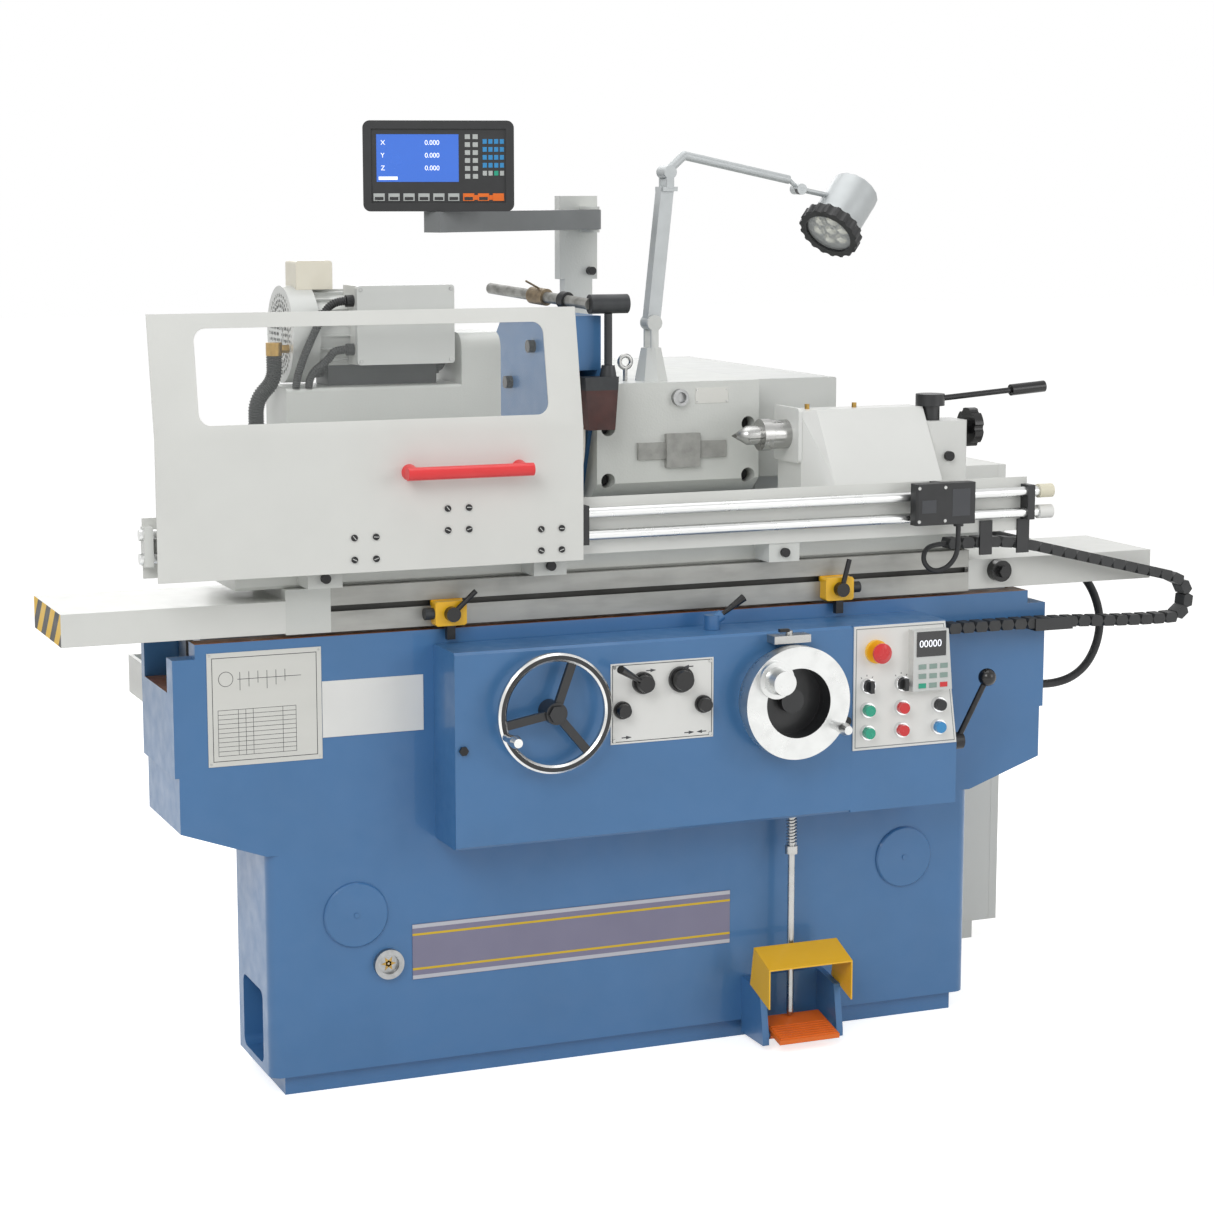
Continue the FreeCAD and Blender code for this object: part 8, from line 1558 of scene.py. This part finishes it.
@dataclass
class Lamp:
    """Machine lamp on its jointed arm."""

    head: Place = (590.0, 100.0, 1650.0)
    aim: Place = (-0.649, -0.340, -0.681)
    half_length: float = 52.0
    glass_depth: float = 68.0
    glass_radius: float = 49.5
    reflectors: int = 7
    reflector_reach: float = 29.0
    reflector_depth: float = 14.0
    # Radius and depth of each turn of a reflector's cup.
    cup: tuple[tuple[float, float], ...] = (
        (5, 0), (12, 8), (13, 10), (11.5, 10), (5, 2), (3, 2),
    )

    def build(self) -> None:
        """Builds and dresses the group."""
        dress("lamp_arm", COOL_ALLOY)
        dress("lamp_boom", COOL_ALLOY)
        made = split(
            "lamp_head",
            Share("handle", BLACK, lambda c, s: c.y > 130),
            Share("casing", COOL_ALLOY),
        )
        way, middle = Vector(self.aim).normalized(), Vector(self.head)
        casing = made["casing"]
        paint(casing, BLACK, lambda c, n: (c - middle).dot(way) > self.half_length + 0.5)
        paint(
            casing, LENS, lambda c, n: abs(n.dot(way)) > 0.9 and self.in_glass(c - middle, way)
        )
        turn = standing((middle + way * (self.glass_depth - self.reflector_depth)) * MM, way)
        ring = self.reflectors - 1
        for i in range(self.reflectors):
            reach = 0 if i == ring else self.reflector_reach
            foot = turn @ spoke(i, ring, reach)
            lathe(f"lamp_reflector_{i}", self.cup, foot, way, LED, "lamp_head", 24)

    def in_glass(self, from_head: Vector, way: Vector) -> bool:
        """Whether a place, from the head's middle, lies in the glass disc."""
        depth = from_head.dot(way)
        aside = (from_head - depth * way).length
        return abs(depth - self.glass_depth) < 3 and aside < self.glass_radius


@dataclass
class Readout:
    """Readout console on its arm, with a lit screen and plain keys."""

    pin: Place = (-315.69, 45.0, 1648.0)
    reach: float = 144.0
    half_depth: float = 23.0
    recess: float = 4.0
    turn_deg: float = -18.0
    screen_area: tuple[float, float, float, float] = (26.0, 183.0, 56.0, 146.0)
    figure_height: float = 9.0
    top_row: float = 126.0
    row_pitch: float = 24.0
    axis_left: float = 34.0
    figures_left: float = 118.0
    key_pitch: float = 15.0
    small_pitch: float = 11.0
    soft_pitch: float = 28.54
    soft_keys: int = 8
    orange_left: float = 230.0
    orange_past: float = 30.0

    def frame_of(self) -> Matrix:
        """Frame of the recess floor, from its lower left corner: x right, y back, z up."""
        pin = mm(*self.pin)
        turned = Matrix.Translation(pin) @ Matrix.Rotation(math.radians(self.turn_deg), 4, "Z")
        return turned @ Matrix.Translation(mm(-self.reach, -self.half_depth + self.recess, 0.3))

    def block(
        self, name: str, outlines: Sequence[Sequence[Vector]], finish: Finish, rise: float
    ) -> None:
        """Plates on the recess floor."""
        slab(name, outlines, finish, "readout_console", rise, turn=self.frame_of())

    def screen(self) -> None:
        """Lit screen with three rows of plain figures."""
        self.block("screen", [rectangle(*self.screen_area, 0)], SCREEN, 0.5)
        place = self.frame_of() @ Matrix.Rotation(math.radians(90), 4, "X")
        for row, axis in enumerate("XYZ"):
            z = self.top_row - self.row_pitch * row
            for kind, text, x in (
                ("axis", axis, self.axis_left), ("figures", "0.000", self.figures_left),
            ):
                words(
                    f"screen_{kind}_{axis}", text, self.figure_height,
                    place @ Matrix.Translation(mm(x, z, 0.7)), DIGITS, "readout_console",
                )
        self.block("screen_bar", [rectangle(30, 66, 60, 66, -0.5)], DIGITS, 0.1)

    def keys(self) -> None:
        """Rows of small keys beside and below the screen."""
        white, sky, green, orange = [], [], [], []
        for row in range(6):
            for column in range(2):
                left, low = 195 + self.key_pitch * column, 62 + self.key_pitch * row
                white.append(rectangle(left, left + 10, low, low + 9, 0))
        for row in range(5):
            for column in range(4):
                target = sky if row > 0 else (green if column == 2 else white)
                left, low = 229 + self.small_pitch * column, 68 + self.key_pitch * row
                target.append(rectangle(left, left + 8, low, low + 9, 0))
        for column in range(4):
            left = 196 + self.key_pitch * column
            orange.append(rectangle(left, left + 11, 22, 31, 0))
        lefts = [22 + self.soft_pitch * i for i in range(self.soft_keys)]
        marks = [rectangle(left, left + 16.6, 21.5, 27.5, -1.9) for left in lefts]
        self.block("soft_key_marks", marks, DARK_GLASS, 0.3)
        self.block("keys_white", white, KEY_GREY, 0.6)
        self.block("keys_blue", sky, SKY, 0.6)
        self.block("keys_green", green, GREEN, 0.6)
        self.block("keys_orange", orange, ORANGE, 0.6)

    def build(self) -> None:
        """Builds and dresses the group."""
        made = split(
            "readout_console",
            Share("housing", BLACK, lambda c, s: s.z > 100),
            Share("soft_keys", KEY_GREY),
        )
        right = (self.frame_of() @ mm(self.orange_left, 0, 0)).x / MM - self.orange_past
        paint(made["soft_keys"], ORANGE, lambda c, n: c.x > right)
        dress("readout_arm", MID_GREY)
        self.screen()
        self.keys()


@dataclass
class Cords:
    """Cable from the bed to the cabinet, and the switch box's lead."""

    power_route: tuple[Place, ...] = (
        (937, -60, 648), (977, -60, 648), (1030, -58, 646), (1081, -50, 656), (1127, -35, 682),
        (1163, -15, 726), (1184, 12, 778), (1181, 52, 840), (1141, 88, 890), (1088, 122, 922),
        (1045, 178, 932), (1045, 243, 932),
    )
    power_radius: float = 9.0
    power_length: float = 0.668
    switch_route: tuple[Place, ...] = (
        (651, -291, 1030), (651, -291, 1004), (650, -290, 972), (632, -284, 946), (604, -274, 938),
        (588, -262, 958), (600, -250, 982), (628, -240, 988), (654.4, -236, 988),
    )
    switch_radius: float = 5.0
    switch_length: float = 0.2265

    def lay(
        self, node: str, route: Sequence[Place], radius: float, length: float, body: str
    ) -> None:
        cable = spline(node + "_sheath", route, radius)
        finished(cable, RUBBER, body)
        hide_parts(node)
        log.info("%s: %.3f m", node, length)

    def build(self) -> None:
        """Builds both cables."""
        self.lay(
            "power_cable", self.power_route, self.power_radius, self.power_length, "machine_base"
        )
        self.lay(
            "switch_cable", self.switch_route, self.switch_radius, self.switch_length,
            "swivel_table",
        )


@dataclass
class Stage:
    """Camera, floor and light."""

    eye: Place = (-2.02806, -4.93710, 1.700)
    lens: float = 80.07
    tilt_deg: float = 81.1
    turn_deg: float = -22.5
    sensor: float = 36.0
    # Name, place, width and power of each lamp, and the point that all of them face.
    lamps: tuple[tuple[str, Place, float, float], ...] = (
        ("key", (-3.6, -4.2, 4.4), 3.0, 135.0), ("fill", (3.8, -4.6, 2.6), 3.0, 65.0),
        ("top", (0.2, 0.4, 4.6), 3.4, 60.0), ("back", (0.5, 4.5, 3.2), 3.0, 50.0),
    )
    target: Place = (0.1, 0.1, 0.9)
    floor_half: float = 30.0
    floor_glow: float = 0.72
    sky_strength: float = 0.42

    def camera(self) -> None:
        """Camera at the photograph's viewing angle."""
        data = bpy.data.cameras.new("camera")
        data.lens = self.lens
        data.sensor_width = self.sensor
        seen = bpy.data.objects.new("camera", data)
        seen.location = self.eye
        seen.rotation_euler = (math.radians(self.tilt_deg), 0.0, math.radians(self.turn_deg))
        bpy.context.scene.collection.objects.link(seen)
        bpy.context.scene.camera = seen

    def direct(self, tree: Tree) -> Socket:
        """1 for rays that see the stage itself, in glass or in a mirror."""
        rays = add_node(tree, "ShaderNodeLightPath").outputs
        two = {0: rays["Is Camera Ray"], 1: rays["Is Glossy Ray"]}
        first = add_node(tree, "ShaderNodeMath", two, operation="MAXIMUM")
        three = {0: first.outputs[0], 1: rays["Is Transmission Ray"]}
        return add_node(tree, "ShaderNodeMath", three, operation="MAXIMUM").outputs[0]

    def floor(self) -> None:
        """Pale floor that keeps the object's shadow."""
        mesh = bpy.data.meshes.new("floor")
        half = self.floor_half
        corners = [(-half, -half, 0), (half, -half, 0), (half, half, 0), (-half, half, 0)]
        mesh.from_pydata(corners, [], [(0, 1, 2, 3)])
        made = bpy.data.objects.new("floor", mesh)
        bpy.context.scene.collection.objects.link(made)
        material = bpy.data.materials.new("pale_floor")
        material.use_nodes = True
        tree = material.node_tree
        tree.nodes.clear()
        plain = add_node(tree, "ShaderNodeBsdfDiffuse", {"Color": linear("#E4E4E2")}).outputs[0]
        glow = {"Color": linear("#FFFFFF"), "Strength": self.floor_glow}
        lit = add_node(tree, "ShaderNodeEmission", glow).outputs[0]
        both = add_node(tree, "ShaderNodeAddShader", {0: plain, 1: lit}).outputs[0]
        seen = {0: self.direct(tree), 1: plain, 2: both}
        mixed = add_node(tree, "ShaderNodeMixShader", seen).outputs[0]
        add_node(tree, "ShaderNodeOutputMaterial", {"Surface": mixed})
        mesh.materials.append(material)

    def light(self) -> None:
        """Soft lamps and a pale world."""
        for name, place, size, watts in self.lamps:
            data = bpy.data.lights.new(name, "AREA")
            data.size = size
            data.energy = watts
            lamp = bpy.data.objects.new(name, data)
            lamp.location = place
            way = Vector(self.target) - Vector(place)
            lamp.rotation_euler = way.to_track_quat("-Z", "Y").to_euler()
            bpy.context.scene.collection.objects.link(lamp)
        world = bpy.data.worlds.new("studio")
        bpy.context.scene.world = world
        world.use_nodes = True
        tree = world.node_tree
        tree.nodes.clear()
        soft, white = [
            add_node(
                tree, "ShaderNodeBackground", {"Color": linear("#FFFFFF"), "Strength": strength}
            ).outputs[0]
            for strength in (self.sky_strength, 1.0)
        ]
        seen = {0: self.direct(tree), 1: soft, 2: white}
        mixed = add_node(tree, "ShaderNodeMixShader", seen).outputs[0]
        add_node(tree, "ShaderNodeOutputWorld", {"Surface": mixed})

    def build(self) -> None:
        """Builds the stage."""
        self.camera()
        self.floor()
        self.light()
        bpy.context.scene.view_settings.view_transform = "Standard"


def main() -> None:
    """Builds every group in order."""
    logging.basicConfig(level=logging.INFO, format="%(message)s")
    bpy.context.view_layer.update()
    for group in (
        Stage(), Cords(), Bed(), Apron(), ControlPanel(), Table(), Guard(), Workhead(),
        Tailstock(), Wheelhead(), Lamp(), Readout(),
    ):
        log.info("building %s", type(group).__name__)
        group.build()


if __name__ == "__main__":
    main()
